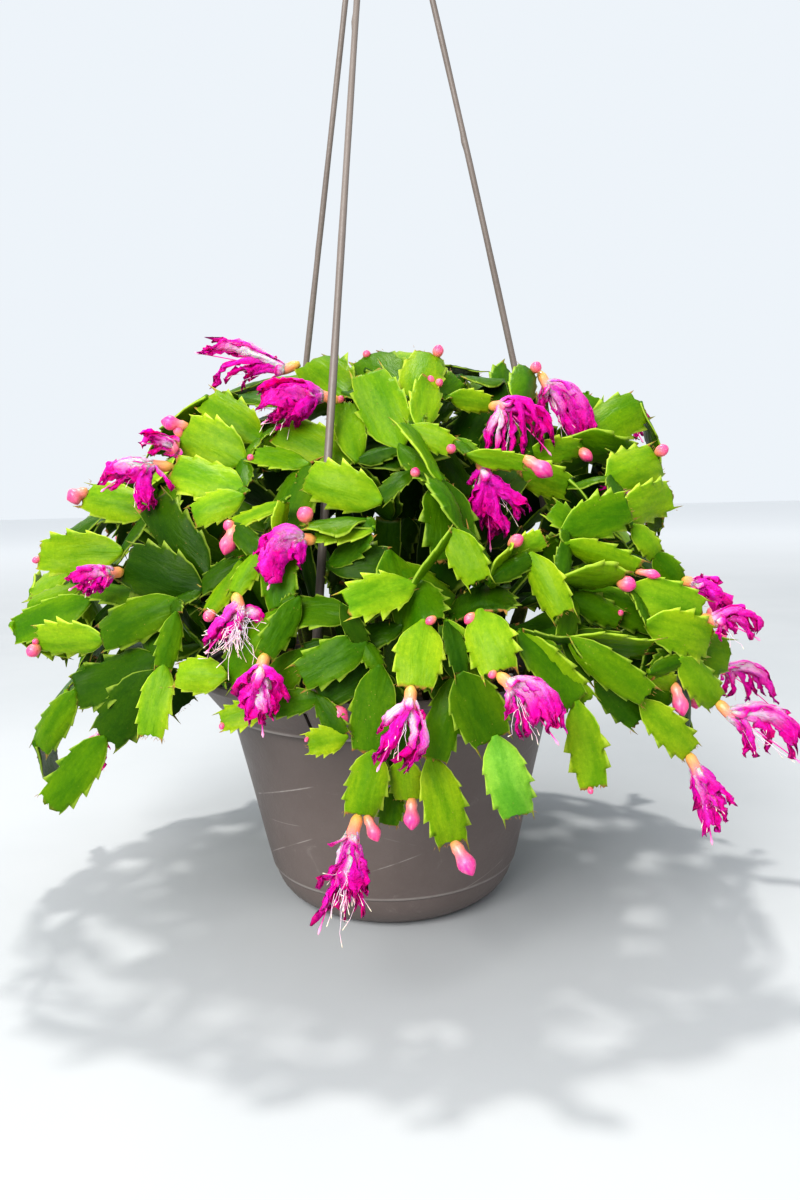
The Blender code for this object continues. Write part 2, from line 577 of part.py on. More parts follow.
    def set_bud(j, base, tip, width, pink):
        line = [base, base.lerp(tip, 0.22), base.lerp(tip, 0.55), base.lerp(tip, 0.85), tip]
        radii = [0.26 * width, 0.34 * width, 0.5 * width, 0.36 * width, 0.1 * width]
        shape = pod([line[0], line[2], line[4]], [radii[0], radii[2], radii[4]], 4)
        if not space.clear(pod([line[0], line[2], line[4]], [r + 0.4 for r in (radii[0], radii[2], radii[4])], 4), kin(j)):
            return False
        space.add(shape, j)
        buds.append(dict(leaf=j, stem=parts[j]["stem"], a=base, b=tip, w=width, pink=pink))
        return True

    def set_bloom(name, j, points, width, flare, stay=(1.0, 1.0, 1.0), seen=False, kinds=10):
        a, axis = end_point(j, points[0])
        d = unit(points[1] - points[0])
        for gap, scale in ((2.2, 1.0), (3.4, 1.0), (4.8, 1.0), (3.4, 0.85), (3.4, 0.72), (4.8, 0.85), (4.8, 0.72), (6.0, 0.6), (6.0, 0.5), (9.0, 0.5))[:kinds]:
            for push in (0, -4, -8, -13, 5, -19, 10, 16, -26, -34):
                start = a + axis * (gap * 0.5) + d * (gap * 0.5)
                shift = start - points[0]
                line = [start] + [p + shift * keep_share + (VIEW_AT - p).normalized() * (-push * k / 3) for (k, p), keep_share in zip(enumerate(points[1:], 1), stay)]
                r = width * 0.5 * scale
                radii = [2.0, 2.6, r * 0.74, r * 0.45]
                if seen and sum(1 for p in line[1:] if (space.first_hit(VIEW_AT, (p - VIEW_AT).normalized()) or 9999) > (p - VIEW_AT).length - 1) < 2:
                    continue
                if space.clear(pod(line, [q + 0.35 for q in radii], 5), ()):
                    space.add(pod(line, radii, 5), name)
                    blooms.append(dict(name=name, leaf=j, stem=parts[j]["stem"], line=line, radii=radii, w=width * scale, want=width, flare=flare))
                    return True
        return False

    def front_buds(rows):
        """Sets each bud on the end of the segment nearest to it, and returns those that found no place."""
        lost = []
        for row in rows:
            bx, by, tx, ty, wide, pink = row
            near = []
            for j, p in enumerate(parts):
                if p["kind"] not in ("leaf", "fill"):
                    continue
                ex, ey = seen_at(p["b"])
                away = math.hypot(ex - bx, ey - by)
                if away < 30:
                    near.append((away + 0.10 * ((parts[j]["b"] - VIEW_AT).length - 380), j))
            near.sort()
            for _, j in near[:12]:
                want = VIEW_AT + sight(bx, by) * (parts[j]["b"] - VIEW_AT).length
                base, axis = end_point(j, want)
                scale = VIEW_F / (base - VIEW_AT).dot(FW)
                ex, ey = seen_at(base)
                reach = (base - VIEW_AT).length
                tip = VIEW_AT + sight(ex + tx - bx, ey + ty - by) * (reach - 1.5)
                length = max(3.0, (tip - base).length)
                grew = False
                for size, swing in ((1.0, 0), (1.0, 25), (1.0, -25), (1.0, 60), (1.0, -60), (0.8, 0), (0.8, 40), (0.8, -40), (0.8, 90), (0.8, -90)):
                    if set_bud(j, base, base + turned(unit(tip - base), axis, swing) * (length * size), wide / scale * size, pink):
                        grew = True
                        break
                if grew:
                    break
            else:
                lost.append(row)
        return lost

    def front_blooms(rows, strict):
        """Hangs each bloom from its segment or the nearest other, and returns those that found no place."""
        missing = []
        for row in rows:
            name, leaf, pts, wide, off, flare = row
            hidden = off > 30
            choices = []
            for j in free_ends():
                ex, ey = seen_at(parts[j]["b"])
                away = math.hypot(ex - pts[0][0], ey - pts[0][1])
                if away < (24 if strict else 46):
                    choices.append((away - (14 if tips.get(leaf) == j else 0) + 0.08 * ((parts[j]["b"] - VIEW_AT).length - 380), j))
            choices.sort()
            done = False
            for seen in ((False,) if hidden else (True,) if strict else (True, False)):
                for _, j in choices[:3 if strict else 14]:
                    reach = (parts[j]["b"] - VIEW_AT).length + (0 if hidden else off * 0.3)
                    line = [VIEW_AT + sight(x, y) * (reach - (0 if hidden else 2.5) * k) for k, (x, y) in enumerate(pts)]
                    scale = VIEW_F / (line[1] - VIEW_AT).dot(FW)
                    if set_bloom(name, j, line, wide / scale, flare, (0.55, 0.2, 0.1), seen, 7 if strict else 10):
                        done = True
                        break
                if done:
                    break
            if not done:
                missing.append(row)
        return missing

    blooms_to_come = front_blooms(FLOWERS, True)
    buds_to_come = front_buds(BUDS)
    note.append("placed early: %d blooms, %d buds; later: %s" % (len(blooms), len(buds), " ".join(r[0] for r in blooms_to_come)))

    def family(i):
        """Every segment that grows from this one, itself included."""
        found, grew = {i}, True
        while grew:
            grew = False
            for j, p in enumerate(parts):
                if p["parent"] in found and j not in found:
                    found.add(j)
                    grew = True
        return found

    # 4. The inner segments that carry them, from the nearest joint of a rooted stem.
    def carry(leaf, choices, tries, wider):
        """Joins a leaf to a joint of a rooted stem with one to four inner segments."""
        a = parts[leaf]["a"]
        taken = {q["leaf"] for q in blooms}
        joints = [j for j, p in enumerate(parts) if p["stem"] is not None and p["b"].z > RIM_Z + 6 and j not in taken]
        joints.sort(key=lambda j: (parts[j]["b"] - a).length + 20 * sum(1 for p in parts if p["parent"] == j) + (0 if parts[j]["kind"] == "inner" else 30))
        own = {leaf} | {j for j, p in enumerate(parts) if p["parent"] == leaf}
        for j in joints[:choices]:
            start = parts[j]["b"]
            gap = (a - start).length
            least = 1 if gap < 56 else 2 if gap < 104 else 3
            skip = kin(j) | own
            for attempt in range(tries):
                count = least + (attempt % 2 if wider else 0)
                pts = [start]
                for k in range(1, count):
                    wob = Vector([rng.uniform(-1, 1) for _ in range(3)]) * (2 + (3.4 if wider else 2.4) * attempt)
                    pts.append(start.lerp(a, k / count) + Vector((0, 0, 6)) + wob)
                pts.append(a)
                plan = []
                for k in range(count):
                    p, q = pts[k], pts[k + 1]
                    if not 5 < (q - p).length < 66:
                        break
                    axis = unit(q - p)
                    n = turned(square_to(axis, p - DOME_AT), axis, rng.uniform(-1, 1) * 8 * attempt)
                    w = max(6.0 if wider else 7.0, min(20.0, (q - p).length * 0.42) * (1 - 0.04 * min(attempt, 14)))
                    th = 3.4
                    if not space.clear(blade(p, q, n, w, th, 0.5, True), skip if k == 0 or k == count - 1 else ()):
                        break
                    plan.append((p, q, n, w, th))
                if len(plan) < count:
                    continue
                up = j
                for k, (p, q, n, w, th) in enumerate(plan):
                    up = put("%s_in%d" % (parts[leaf]["name"], k), parts[up]["stem"], up, p, q, n, w, th, 0.15, "inner")
                parts[leaf]["parent"] = up
                for i in family(leaf):
                    parts[i]["stem"] = parts[up]["stem"]
                return True
        return False

    loose = [leaf for leaf in sorted(starts, key=lambda i: dome(parts[i]["a"])) if not carry(leaf, 26, 16, False)]
    loose = [leaf for leaf in loose if not carry(leaf, 90, 40, True)]
    note.append("not joined: " + " ".join(parts[i]["name"] for i in loose))

    # 5. The rest of the plant: leaves inside, and the whole back, grown outward from the free joints.
    def sprout(up, goal, low, wide):
        p = parts[up]
        a0, axis0 = p["b"], unit(p["b"] - p["a"])
        side0 = axis0.cross(p["n"])
        for attempt in range(11):
            a = a0 + side0 * (p["w"] * rng.choice((-0.16, 0.0, 0.16))) - axis0 * 0.8
            out = unit(a - DOME_AT)
            shell = dome(a)
            fall = Vector((0, 0, -1)) * (1.5 * max(0.0, shell - 0.45))
            d = unit(axis0 * 0.55 + out * 0.55 + fall + Vector([rng.uniform(-1, 1) for _ in range(3)]) * (0.45 + 0.05 * attempt))
            length = rng.uniform(36, 47) * (1 - 0.03 * attempt)
            b = a + d * length
            if not (low < dome(b) < goal(b)) or b.z < 28:
                continue
            n = turned(square_to(d, unit(b - DOME_AT) + Vector((0, 0, 0.4))), d, rng.uniform(-38, 38))
            w = wide * rng.uniform(0.85, 1.12) * (1 - 0.025 * attempt)
            if keeps_in(a, b, n, w) and space.clear(blade(a, b, n, w, 3.0, 0.5), kin(up)):
                return put("f%d" % len(parts), p["stem"], up, a, b, n, w, 3.0, rng.random(), "fill")
        return None

    def goal(b):
        """How far out in the dome a freely grown segment may end."""
        if b.y > 26:
            return 1.0
        way = b - VIEW_AT
        hit = space.first_hit(VIEW_AT, way.normalized())
        if hit is not None and hit < way.length - 5:
            return 0.96
        return 0.90 if b.y > -12 else 0.66

    def keeps_in(a, b, n, w):
        """Whether the segment stays within the outline of the front view."""
        side = unit(b - a).cross(n) * (w / 2)
        mid = a.lerp(b, 0.6)
        return all(in_view(q) for q in (b, mid + side, mid - side, b + side * 0.7, b - side * 0.7))

    held = {q["leaf"] for q in buds + blooms}
    grown = 0
    for generation in range(7):
        ends = [j for j, p in enumerate(parts) if p["stem"] is not None and dome(p["b"]) < 0.93 and p["b"].z > RIM_Z - 4 and j not in held]
        rng.shuffle(ends)
        for j in ends:
            have = sum(1 for p in parts if p["parent"] == j)
            most = 2 if generation < 5 else 3
            if have >= most or parts[j]["name"].endswith("_0"):
                continue
            for _ in range(most - have):
                if grown < FILL and sprout(j, goal, 0.16, 25.0) is not None:
                    grown += 1

    def reach_for(spot, wide):
        """Grows one segment from a near joint towards a bare spot of the dome."""
        near = []
        for j, p in enumerate(parts):
            if p["stem"] is None or p["b"].z < RIM_Z - 30 or p["name"].endswith("_0") or j in held:
                continue
            gap = (spot - p["b"]).length
            if 14 < gap < 62:
                have = sum(1 for q in parts if q["parent"] == j)
                if have < 3:
                    near.append((gap + 14 * have, j))
        near.sort()
        for _, j in near[:7]:
            p = parts[j]
            axis0 = unit(p["b"] - p["a"])
            side0 = axis0.cross(p["n"])
            for attempt in range(5):
                a = p["b"] + side0 * (p["w"] * rng.choice((-0.16, 0.0, 0.16))) - axis0 * 0.8
                d = unit(unit(spot - a) + Vector([rng.uniform(-1, 1) for _ in range(3)]) * 0.12 * attempt)
                b = a + d * max(33.0, min(47.0, (spot - a).length + 4)) * (1 - 0.03 * attempt)
                if d.dot(axis0) < -0.35 or dome(b) > goal(b) + 0.04 or b.z < 28:
                    continue
                n = turned(square_to(d, unit(b - DOME_AT) + Vector((0, 0, 0.35))), d, rng.uniform(-30, 30))
                w = wide * rng.uniform(0.88, 1.12) * (1 - 0.04 * attempt)
                if keeps_in(a, b, n, w) and space.clear(blade(a, b, n, w, 3.0, 0.5), kin(j)):
                    return put("g%d" % len(parts), p["stem"], j, a, b, n, w, 3.0, rng.random(), "fill")
        return None

    filled = 0
    for turn in range(4):
        rays = [(px, py) for px in range(40, 720, 11) for py in range(370, 700, 11)]
        rng.shuffle(rays)
        for px, py in rays:
            if filled >= FRONT_FILL:
                break
            d = sight(px, py)
            if space.first_hit(VIEW_AT, d) is not None:
                continue
            t = (rng.uniform(0, 90) - VIEW_AT.y) / d.y
            spot = VIEW_AT + d * t
            if dome(spot) > 0.86 or not in_view(spot):
                continue
            if reach_for(spot, 25.0) is not None:
                filled += 1

    spots = []
    for k in range(420):
        up = 1 - 2 * (k + 0.5) / 420
        az = 2.399963 * k
        d = Vector((math.cos(az) * math.sqrt(1 - up * up), math.sin(az) * math.sqrt(1 - up * up), up))
        r = 30.0
        while dome(DOME_AT + d * r) < 0.92:
            r += 2.0
        spot = DOME_AT + d * r
        if spot.y > -60 and spot.z > 62:
            spots.append(spot)
    covered = 0
    for turn in range(6):
        rng.shuffle(spots)
        for spot in spots:
            if covered >= COVER:
                break
            if min(min((spot - (p["a"] + p["b"]) / 2).length, (spot - p["b"]).length) for p in parts if p["kind"] != "inner") < 24 - 2.5 * turn:
                continue
            if reach_for(spot, 25.0) is not None:
                covered += 1
    note.append("segments %d, of them grown freely %d, across open sight lines %d, over bare spots %d" % (len(parts), grown, filled, covered))

    # 6. The buds and blooms that had found no place yet, and those of the back.
    buds_to_come = front_buds(buds_to_come)
    note.append("front buds left out %d" % len(buds_to_come))
    blooms_to_come = front_blooms(blooms_to_come, False)
    note.append("blooms left out: " + " ".join(r[0] for r in blooms_to_come))
    for q in buds + blooms:
        q["stem"] = parts[q["leaf"]]["stem"]
    buds = [q for q in buds if q["stem"] is not None]
    blooms = [q for q in blooms if q["stem"] is not None]
    free = [j for j in free_ends() if parts[j]["stem"] is not None]

    outer = [j for j in free if parts[j]["kind"] == "fill" and parts[j]["b"].y > 34 and dome(parts[j]["b"]) > 0.72 and not any(p["parent"] == j for p in parts)]
    rng.shuffle(outer)
    made = 0
    for j in outer:
        if made >= BACK_BLOOMS:
            break
        p = parts[j]
        axis = unit(p["b"] - p["a"])
        out = unit(p["b"] - DOME_AT)
        if any((p["b"] - q["line"][0]).length < 62 for q in blooms):
            continue
        d = unit(axis * 0.5 + out * 0.5 + Vector((0, 0, -0.55)))
        d2 = unit(d + Vector((0, 0, -0.45)))
        line = [p["b"], p["b"] + d * 7, p["b"] + d * 7 + d2 * 12, p["b"] + d * 7 + d2 * 12 + unit(d2 + Vector((0, 0, -0.4))) * 14]
        if any((space.first_hit(VIEW_AT, (q - VIEW_AT).normalized()) or 9999) > (q - VIEW_AT).length - 3 for q in line[1:]):
            continue
        if dome(line[-1]) < 1.22 and set_bloom("Z%d" % made, j, line, rng.uniform(15, 18), rng.uniform(0.4, 0.9)):
            made += 1
    extra = 0
    for j in outer:
        if extra >= BACK_BUDS:
            break
        if any(q["leaf"] == j for q in blooms) or any(q["leaf"] == j for q in buds):
            continue
        p = parts[j]
        axis = unit(p["b"] - p["a"])
        base = p["b"] + axis.cross(p["n"]) * (p["w"] * rng.uniform(-0.15, 0.15)) - axis * 1.2
        length = rng.uniform(5, 14)
        if set_bud(j, base, base + unit(axis + Vector((0, 0, -0.2))) * length, 3.4 + length * 0.28, rng.random() * 0.6):
            extra += 1
    note.append("back blooms %d, back buds %d, all blooms %d, all buds %d" % (made, extra, len(blooms), len(buds)))
    keep = [j for j, p in enumerate(parts) if p["stem"] is not None]
    return parts, keep, buds, blooms, note

# ---------------------------------------------------------------- making solids
MM = 0.001


def material(name, rgb, rough, metal=0.0):
    made = bpy.data.materials.new(name)
    made.use_nodes = True
    bsdf = made.node_tree.nodes["Principled BSDF"]
    bsdf.inputs["Base Color"].default_value = (*rgb, 1)
    bsdf.inputs["Roughness"].default_value = rough
    bsdf.inputs["Metallic"].default_value = metal
    made.diffuse_color = (*rgb, 1)
    return made


def solid(name, shape, mat):
    verts, faces = shape
    mesh = bpy.data.meshes.new(name)
    mesh.from_pydata([tuple(Vector(v) * MM) for v in verts], [], [tuple(f) for f in faces])
    mesh.update()
    obj = bpy.data.objects.new(name, mesh)
    obj.data.materials.append(mat)
    bpy.context.scene.collection.objects.link(obj)
    return obj


def joined(name, shapes, mat, operation="UNION"):
    """One body from several that overlap, or a body with others cut from it."""
    base = solid(name, shapes[0], mat)
    if len(shapes) > 1:
        group = bpy.data.collections.new(name + "_pieces")
        helpers = []
        for k, shape in enumerate(shapes[1:]):
            piece = solid("%s_piece_%d" % (name, k), shape, mat)
            bpy.context.scene.collection.objects.unlink(piece)
            group.objects.link(piece)
            helpers.append(piece)
        mod = base.modifiers.new("join", "BOOLEAN")
        mod.operation = operation
        mod.solver = "EXACT"
        mod.operand_type = "COLLECTION"
        mod.collection = group
        bpy.context.view_layer.update()
        graph = bpy.context.evaluated_depsgraph_get()
        mesh = bpy.data.meshes.new_from_object(base.evaluated_get(graph))
        base.modifiers.clear()
        old = base.data
        base.data = mesh
        mesh.name = name
        bpy.data.meshes.remove(old)
        for piece in helpers:
            bpy.data.objects.remove(piece, do_unlink=True)
        bpy.data.collections.remove(group)
    return base


def one_skin(obj):
    """Keeps the largest skin of a joined body, so that no closed pocket stays inside it."""
    bm = bmesh.new()
    bm.from_mesh(obj.data)
    todo, skins = set(bm.faces), []
    while todo:
        first = todo.pop()
        skin, edge = {first}, [first]
        while edge:
            f = edge.pop()
            for e in f.edges:
                for g in e.link_faces:
                    if g in todo:
                        todo.discard(g)
                        skin.add(g)
                        edge.append(g)
        skins.append(skin)
    skins.sort(key=lambda q: -sum(f.calc_area() for f in q))
    for skin in skins[1:]:
        size = sum(f.calc_area() for f in skin) * 1e6
        print(obj.name, "second skin of", round(size, 2), "mm2 removed")
        bmesh.ops.delete(bm, geom=list(skin), context="FACES")
    bm.to_mesh(obj.data)
    bm.free()


def lathe(profile, sides):
    """A closed body of revolution from a closed loop of (radius, height) pairs, taken counter-clockwise."""
    verts, faces = [], []
    for r, z in profile:
        for k in range(sides):
            a = 2 * math.pi * k / sides
            verts.append((r * math.cos(a), r * math.sin(a), z))
    n = len(profile)
    for i in range(n):
        m = (i + 1) % n
        for k in range(sides):
            j = (k + 1) % sides
            faces.append((i * sides + k, i * sides + j, m * sides + j, m * sides + k))
    return verts, faces


def cup(outer, inner, sides):
    """A cup: the outer profile from the floor's centre up to the rim, then the inner one down to the centre."""
    verts, faces = [(0, 0, outer[0][1])], []
    rings = outer[1:] + inner[:-1]
    for r, z in rings:
        for k in range(sides):
            a = 2 * math.pi * k / sides
            verts.append((r * math.cos(a), r * math.sin(a), z))
    last = len(verts)
    verts.append((0, 0, inner[-1][1]))
    for k in range(sides):
        j = (k + 1) % sides
        faces.append((0, 1 + j, 1 + k))
        base = 1 + (len(rings) - 1) * sides
        faces.append((last, base + k, base + j))
    for i in range(len(rings) - 1):
        p, q = 1 + i * sides, 1 + (i + 1) * sides
        for k in range(sides):
            j = (k + 1) % sides
            faces.append((p + k, p + j, q + j, q + k))
    return verts, faces


def smooth(obj, angle=35):
    obj.data.shade_smooth()
    obj.data.set_sharp_from_angle(angle=math.radians(angle))


taupe = material("taupe_plastic", (0.142, 0.109, 0.092), 0.45)
earth = material("potting_mix", (0.020, 0.013, 0.009), 0.95)
green = material("cactus_skin", (0.15, 0.38, 0.03), 0.38)
petal = material("petal_magenta", (0.78, 0.01, 0.33), 0.45)

# The basket: a flared collar with a rolled lip, a step, a tapering body, a fine step near the foot and a rounded foot.
outer = [(0, 0), (FOOT_R, 0), (53.0, 1.8), (58.6, 6.0), (62.4, 11.5), (64.0, 17.0), (RING_R, RING_Z), (BODY_R, COLLAR_Z - 0.8), (COLLAR_R, COLLAR_Z), (RIM_R - 0.8, RIM_Z - 2.6), (RIM_R, RIM_Z - 1.6), (RIM_R - 0.2, RIM_Z - 0.3), (RIM_R - 1.4, RIM_Z)]
inner = [(RIM_R - 3.2, RIM_Z - 0.8), (COLLAR_R - WALL, COLLAR_Z + 2.2), (BODY_R - WALL, COLLAR_Z + 0.8), (RING_R - WALL, RING_Z + 0.6), (61.0, 12.4), (57.0, 7.4), (52.0, 4.0), (FOOT_R - 1.0, FLOOR), (0, FLOOR)]
drains = []
for k in range(DRAINS):
    a = 2 * math.pi * (k + 0.5) / DRAINS
    at = Vector((DRAIN_AT * math.cos(a), DRAIN_AT * math.sin(a), 0))
    drains.append(pod([at + Vector((0, 0, -3)), at + Vector((0, 0, FLOOR + 3))], [DRAIN_D / 2] * 2, 8))
pot = joined("pot", [cup(outer, inner, SIDES)] + drains, taupe, "DIFFERENCE")
smooth(pot)

# The soil fills the basket to about 18 mm below its rim.
gap = 0.4
soil = solid("soil", cup(
    [(0, FLOOR + gap), (FOOT_R - 2.0, FLOOR + gap), (51.3, 4.8), (60.2, 12.8), (RING_R - WALL - gap - 0.2, RING_Z + 0.8), (BODY_R - WALL - gap - 0.9, COLLAR_Z), (BODY_R - WALL - gap - 0.9, SOIL_Z)],
    [(40.0, SOIL_Z), (0, SOIL_Z)], SIDES), earth)
smooth(soil)

# The hanger: three strands that taper upward, a flat clip foot on each, a hub and a hook.
pieces = []
for k, (foot, top) in enumerate(strand_ends()):
    line = strand_line(foot, top, k, 8)
    line.append(top.lerp(HUB_AT, 0.2) + Vector((0, 0, 4)))
    radii = [(STRAND_D_FOOT + (STRAND_D_TOP - STRAND_D_FOOT) * min(1, i / 5)) / 2 for i in range(len(line))]
    pieces.append(pod(line, radii, 6))
    out = Vector((foot.x, foot.y, 0)).normalized()
    across = Vector((-out.y, out.x, 0))
    low = COLLAR_Z - 5.0
    drop = RIM_Z + 5 - low
    lean = (COLLAR_R + 1.2) - (RIM_R + 0.4)

    def tab(y0, y1, half0, half1, r0, r1, thick):
        """A flat bar between two heights, its inner face at radius r0 at the top and r1 at the bottom."""
        verts = []
        for z, r, h in ((y0, r0, half0), (y1, r1, half1)):
            c = out * r + Vector((0, 0, z))
            verts += [c - across * h, c + across * h, c + across * h + out * thick, c - across * h + out * thick]
        return verts, [(0, 1, 2, 3), (7, 6, 5, 4), (0, 4, 5, 1), (1, 5, 6, 2), (2, 6, 7, 3), (3, 7, 4, 0)]

    slope = (RIM_R - COLLAR_R) / (RIM_Z - COLLAR_Z)
    high, low = RIM_Z - 1.0, COLLAR_Z - 4.4
    pieces.append(tab(RIM_Z + 9.0, high - 0.5, 2.2, 4.6, RIM_R + 0.6, RIM_R + 0.6, 2.6))
    pieces.append(tab(high, low, 4.6, 4.2, RIM_R + 0.6, RIM_R + 0.6 - (high - low) * slope + 0.4, 2.4))
    pieces.append(tab(COLLAR_Z - 1.4, low, 3.8, 3.8, BODY_R + 0.7, BODY_R + 0.7, 6.0))
hub_low, hub_high = HUB_AT.z - 2.0, HUB_AT.z + 9.0
pieces.append(pod([Vector((HUB_AT.x, HUB_AT.y, hub_low)), Vector((HUB_AT.x, HUB_AT.y, hub_low + 2)), Vector((HUB_AT.x, HUB_AT.y, hub_high - 2)), Vector((HUB_AT.x, HUB_AT.y, hub_high))], [5.4, 7.2, 6.6, 3.4], 12))
hook = [HUB_AT + Vector((x, 0, z)) for x, z in ((0, 6), (0, 14), (2.6, 20), (8.2, 26), (12.0, 32))]
for i in range(9):
    a = math.radians(4 + i * 205 / 8)
    hook.append(HUB_AT + Vector((HOOK_R * math.cos(a), 0, 38 + HOOK_R * math.sin(a))))
pieces.append(pod(hook, [HOOK_D / 2] * len(hook), 6))
hanger = joined("hanger", pieces, taupe)
smooth(hanger)

# The plant.
parts, keep, buds, blooms, note = grow()
for line in note:
    print(line)


for s in range(STEMS):
    shapes = [blade(parts[j]["a"], parts[j]["b"], parts[j]["n"], parts[j]["w"], parts[j]["t"], 0.0, parts[j]["kind"] == "inner") for j in keep if parts[j]["stem"] == s]
    for q in buds:
        if q["stem"] == s:
            shapes.append(pod([q["a"], q["a"].lerp(q["b"], 0.55), q["b"]], [0.26 * q["w"], 0.5 * q["w"], 0.1 * q["w"]], 4))
    if shapes:
        one_skin(joined("stem_%02d" % (s + 1), shapes, green))
for k, q in enumerate(blooms):
    made = solid("flower_%02d" % (k + 1), pod(q["line"], q["radii"], 5), petal)
    made.data.shade_smooth()
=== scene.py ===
"""The looks of a Christmas cactus in a hanging basket: toothed segments, buds, blooms, moulded basket, hanger and soil."""

import json
import math
import random

import bmesh
import bpy
import numpy as np
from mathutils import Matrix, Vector, noise
from mathutils.bvhtree import BVHTree

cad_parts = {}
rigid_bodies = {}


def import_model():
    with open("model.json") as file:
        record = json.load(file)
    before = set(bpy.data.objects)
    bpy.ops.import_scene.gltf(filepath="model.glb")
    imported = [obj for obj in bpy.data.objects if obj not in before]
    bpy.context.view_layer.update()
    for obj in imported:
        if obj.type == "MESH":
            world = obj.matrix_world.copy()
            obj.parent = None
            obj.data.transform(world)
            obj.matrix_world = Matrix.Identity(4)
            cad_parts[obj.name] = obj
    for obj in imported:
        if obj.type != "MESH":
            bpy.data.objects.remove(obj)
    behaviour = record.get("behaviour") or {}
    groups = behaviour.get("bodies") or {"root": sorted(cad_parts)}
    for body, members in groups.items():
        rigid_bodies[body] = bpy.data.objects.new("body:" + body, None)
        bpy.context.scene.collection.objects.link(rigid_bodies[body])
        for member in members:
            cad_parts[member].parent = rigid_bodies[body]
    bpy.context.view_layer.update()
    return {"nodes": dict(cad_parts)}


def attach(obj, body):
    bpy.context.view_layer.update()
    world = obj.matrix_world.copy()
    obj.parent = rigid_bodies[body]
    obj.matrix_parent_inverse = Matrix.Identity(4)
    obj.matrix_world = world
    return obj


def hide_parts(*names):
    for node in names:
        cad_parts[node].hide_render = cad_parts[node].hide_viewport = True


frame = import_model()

# ---------------------------------------------------------------- driving dimensions, in millimetres
RIM_R = 101.5             # an 8 inch basket
RIM_Z = 124.0
COLLAR_R = 88.0           # the flared collar's lower edge
COLLAR_Z = 103.5
BODY_R = 83.5             # the top of the tapering body
RING_R, RING_Z = 65.2, 18.0
FOOT_R = 47.0
WALL = 1.8
FLOOR = 2.2
SOIL_Z = 106.0
DRAIN_D, DRAIN_AT, DRAINS = 9.0, 31.0, 5
STRAND_TURN = -17.8       # the azimuth of the front strand, from the front toward +X
STRAND_R = 103.6
STRAND_D_TOP, STRAND_D_FOOT = 3.0, 4.2
STRAND_BOW = (0.6, 2.4, 0.4)
HUB_AT = Vector((3.5, 8.3, 545.0))
HUB_R = 4.6
HOOK_R = 13.0
HOOK_D = 4.6
STEMS = 28
SIDES = 32
FILL = 70                 # segments grown freely,
FRONT_FILL = 60           # those that close open sight lines,
COVER = 130              # and of those that fill bare spots of the back
BACK_BLOOMS, BACK_BUDS = 6, 14

# ---------------------------------------------------------------- the plant
# The front of the plant is laid out as it is seen from the front, in an 800 x 1200 view, and each
# point gets its depth from a dome that the foliage fills. Lengths are millimetres, +Z up, the
# origin is the centre of the pot's underside, and -Y is the front.
VIEW_F = 917.6            # focal length of the front view, in its own units
VIEW_AT = Vector((6.4, -479.4, 217.4))
VIEW_PITCH = math.radians(7.5)
VIEW_ROLL = math.radians(1.41)
FW = Vector((0, math.cos(VIEW_PITCH), -math.sin(VIEW_PITCH)))
UP = Vector((0, math.sin(VIEW_PITCH), math.cos(VIEW_PITCH)))
RT = Vector((1, 0, 0))
DOME_AT = Vector((5, 0, 115))
DOME_X, DOME_FRONT, DOME_BACK, DOME_UP = 200.0, 140.0, 170.0, 172.0


def sight(px, py):
    """The unit direction of the sight line through a point of the front view."""
    u, v = px - 400, py - 600
    x = u * math.cos(VIEW_ROLL) - v * math.sin(VIEW_ROLL)
    y = u * math.sin(VIEW_ROLL) + v * math.cos(VIEW_ROLL)
    return (FW * VIEW_F + RT * x - UP * y).normalized()


def seen_at(p):
    """Where a point lies in the front view."""
    d = p - VIEW_AT
    z = d.dot(FW)
    x, y = VIEW_F * d.dot(RT) / z, -VIEW_F * d.dot(UP) / z
    return (
        x * math.cos(VIEW_ROLL) + y * math.sin(VIEW_ROLL) + 400,
        -x * math.sin(VIEW_ROLL) + y * math.cos(VIEW_ROLL) + 600,
    )


def dome(p):
    """Below 1 inside the dome that the foliage fills, above 1 outside it."""
    x, y, z = p - DOME_AT
    side = (abs(x) / DOME_X) ** 2
    deep = (abs(y) / (DOME_FRONT if y < 0 else DOME_BACK)) ** (1.5 if y < 0 else 1.8)
    tall = (abs(z) / (DOME_UP if z > 0 else 300.0)) ** 1.7
    return side + deep + tall


def on_dome(px, py, off=0.0):
    """The point of the sight line that first meets the dome, or passes nearest to it, plus an offset."""
    d = sight(px, py)
    best, at = 9.0, 400.0
    t = 250.0
    while t < 760:
        f = dome(VIEW_AT + d * t)
        if f < best:
            best, at = f, t
        if f < 1.0:
            break
        t += 2.0
    return VIEW_AT + d * (at + off)


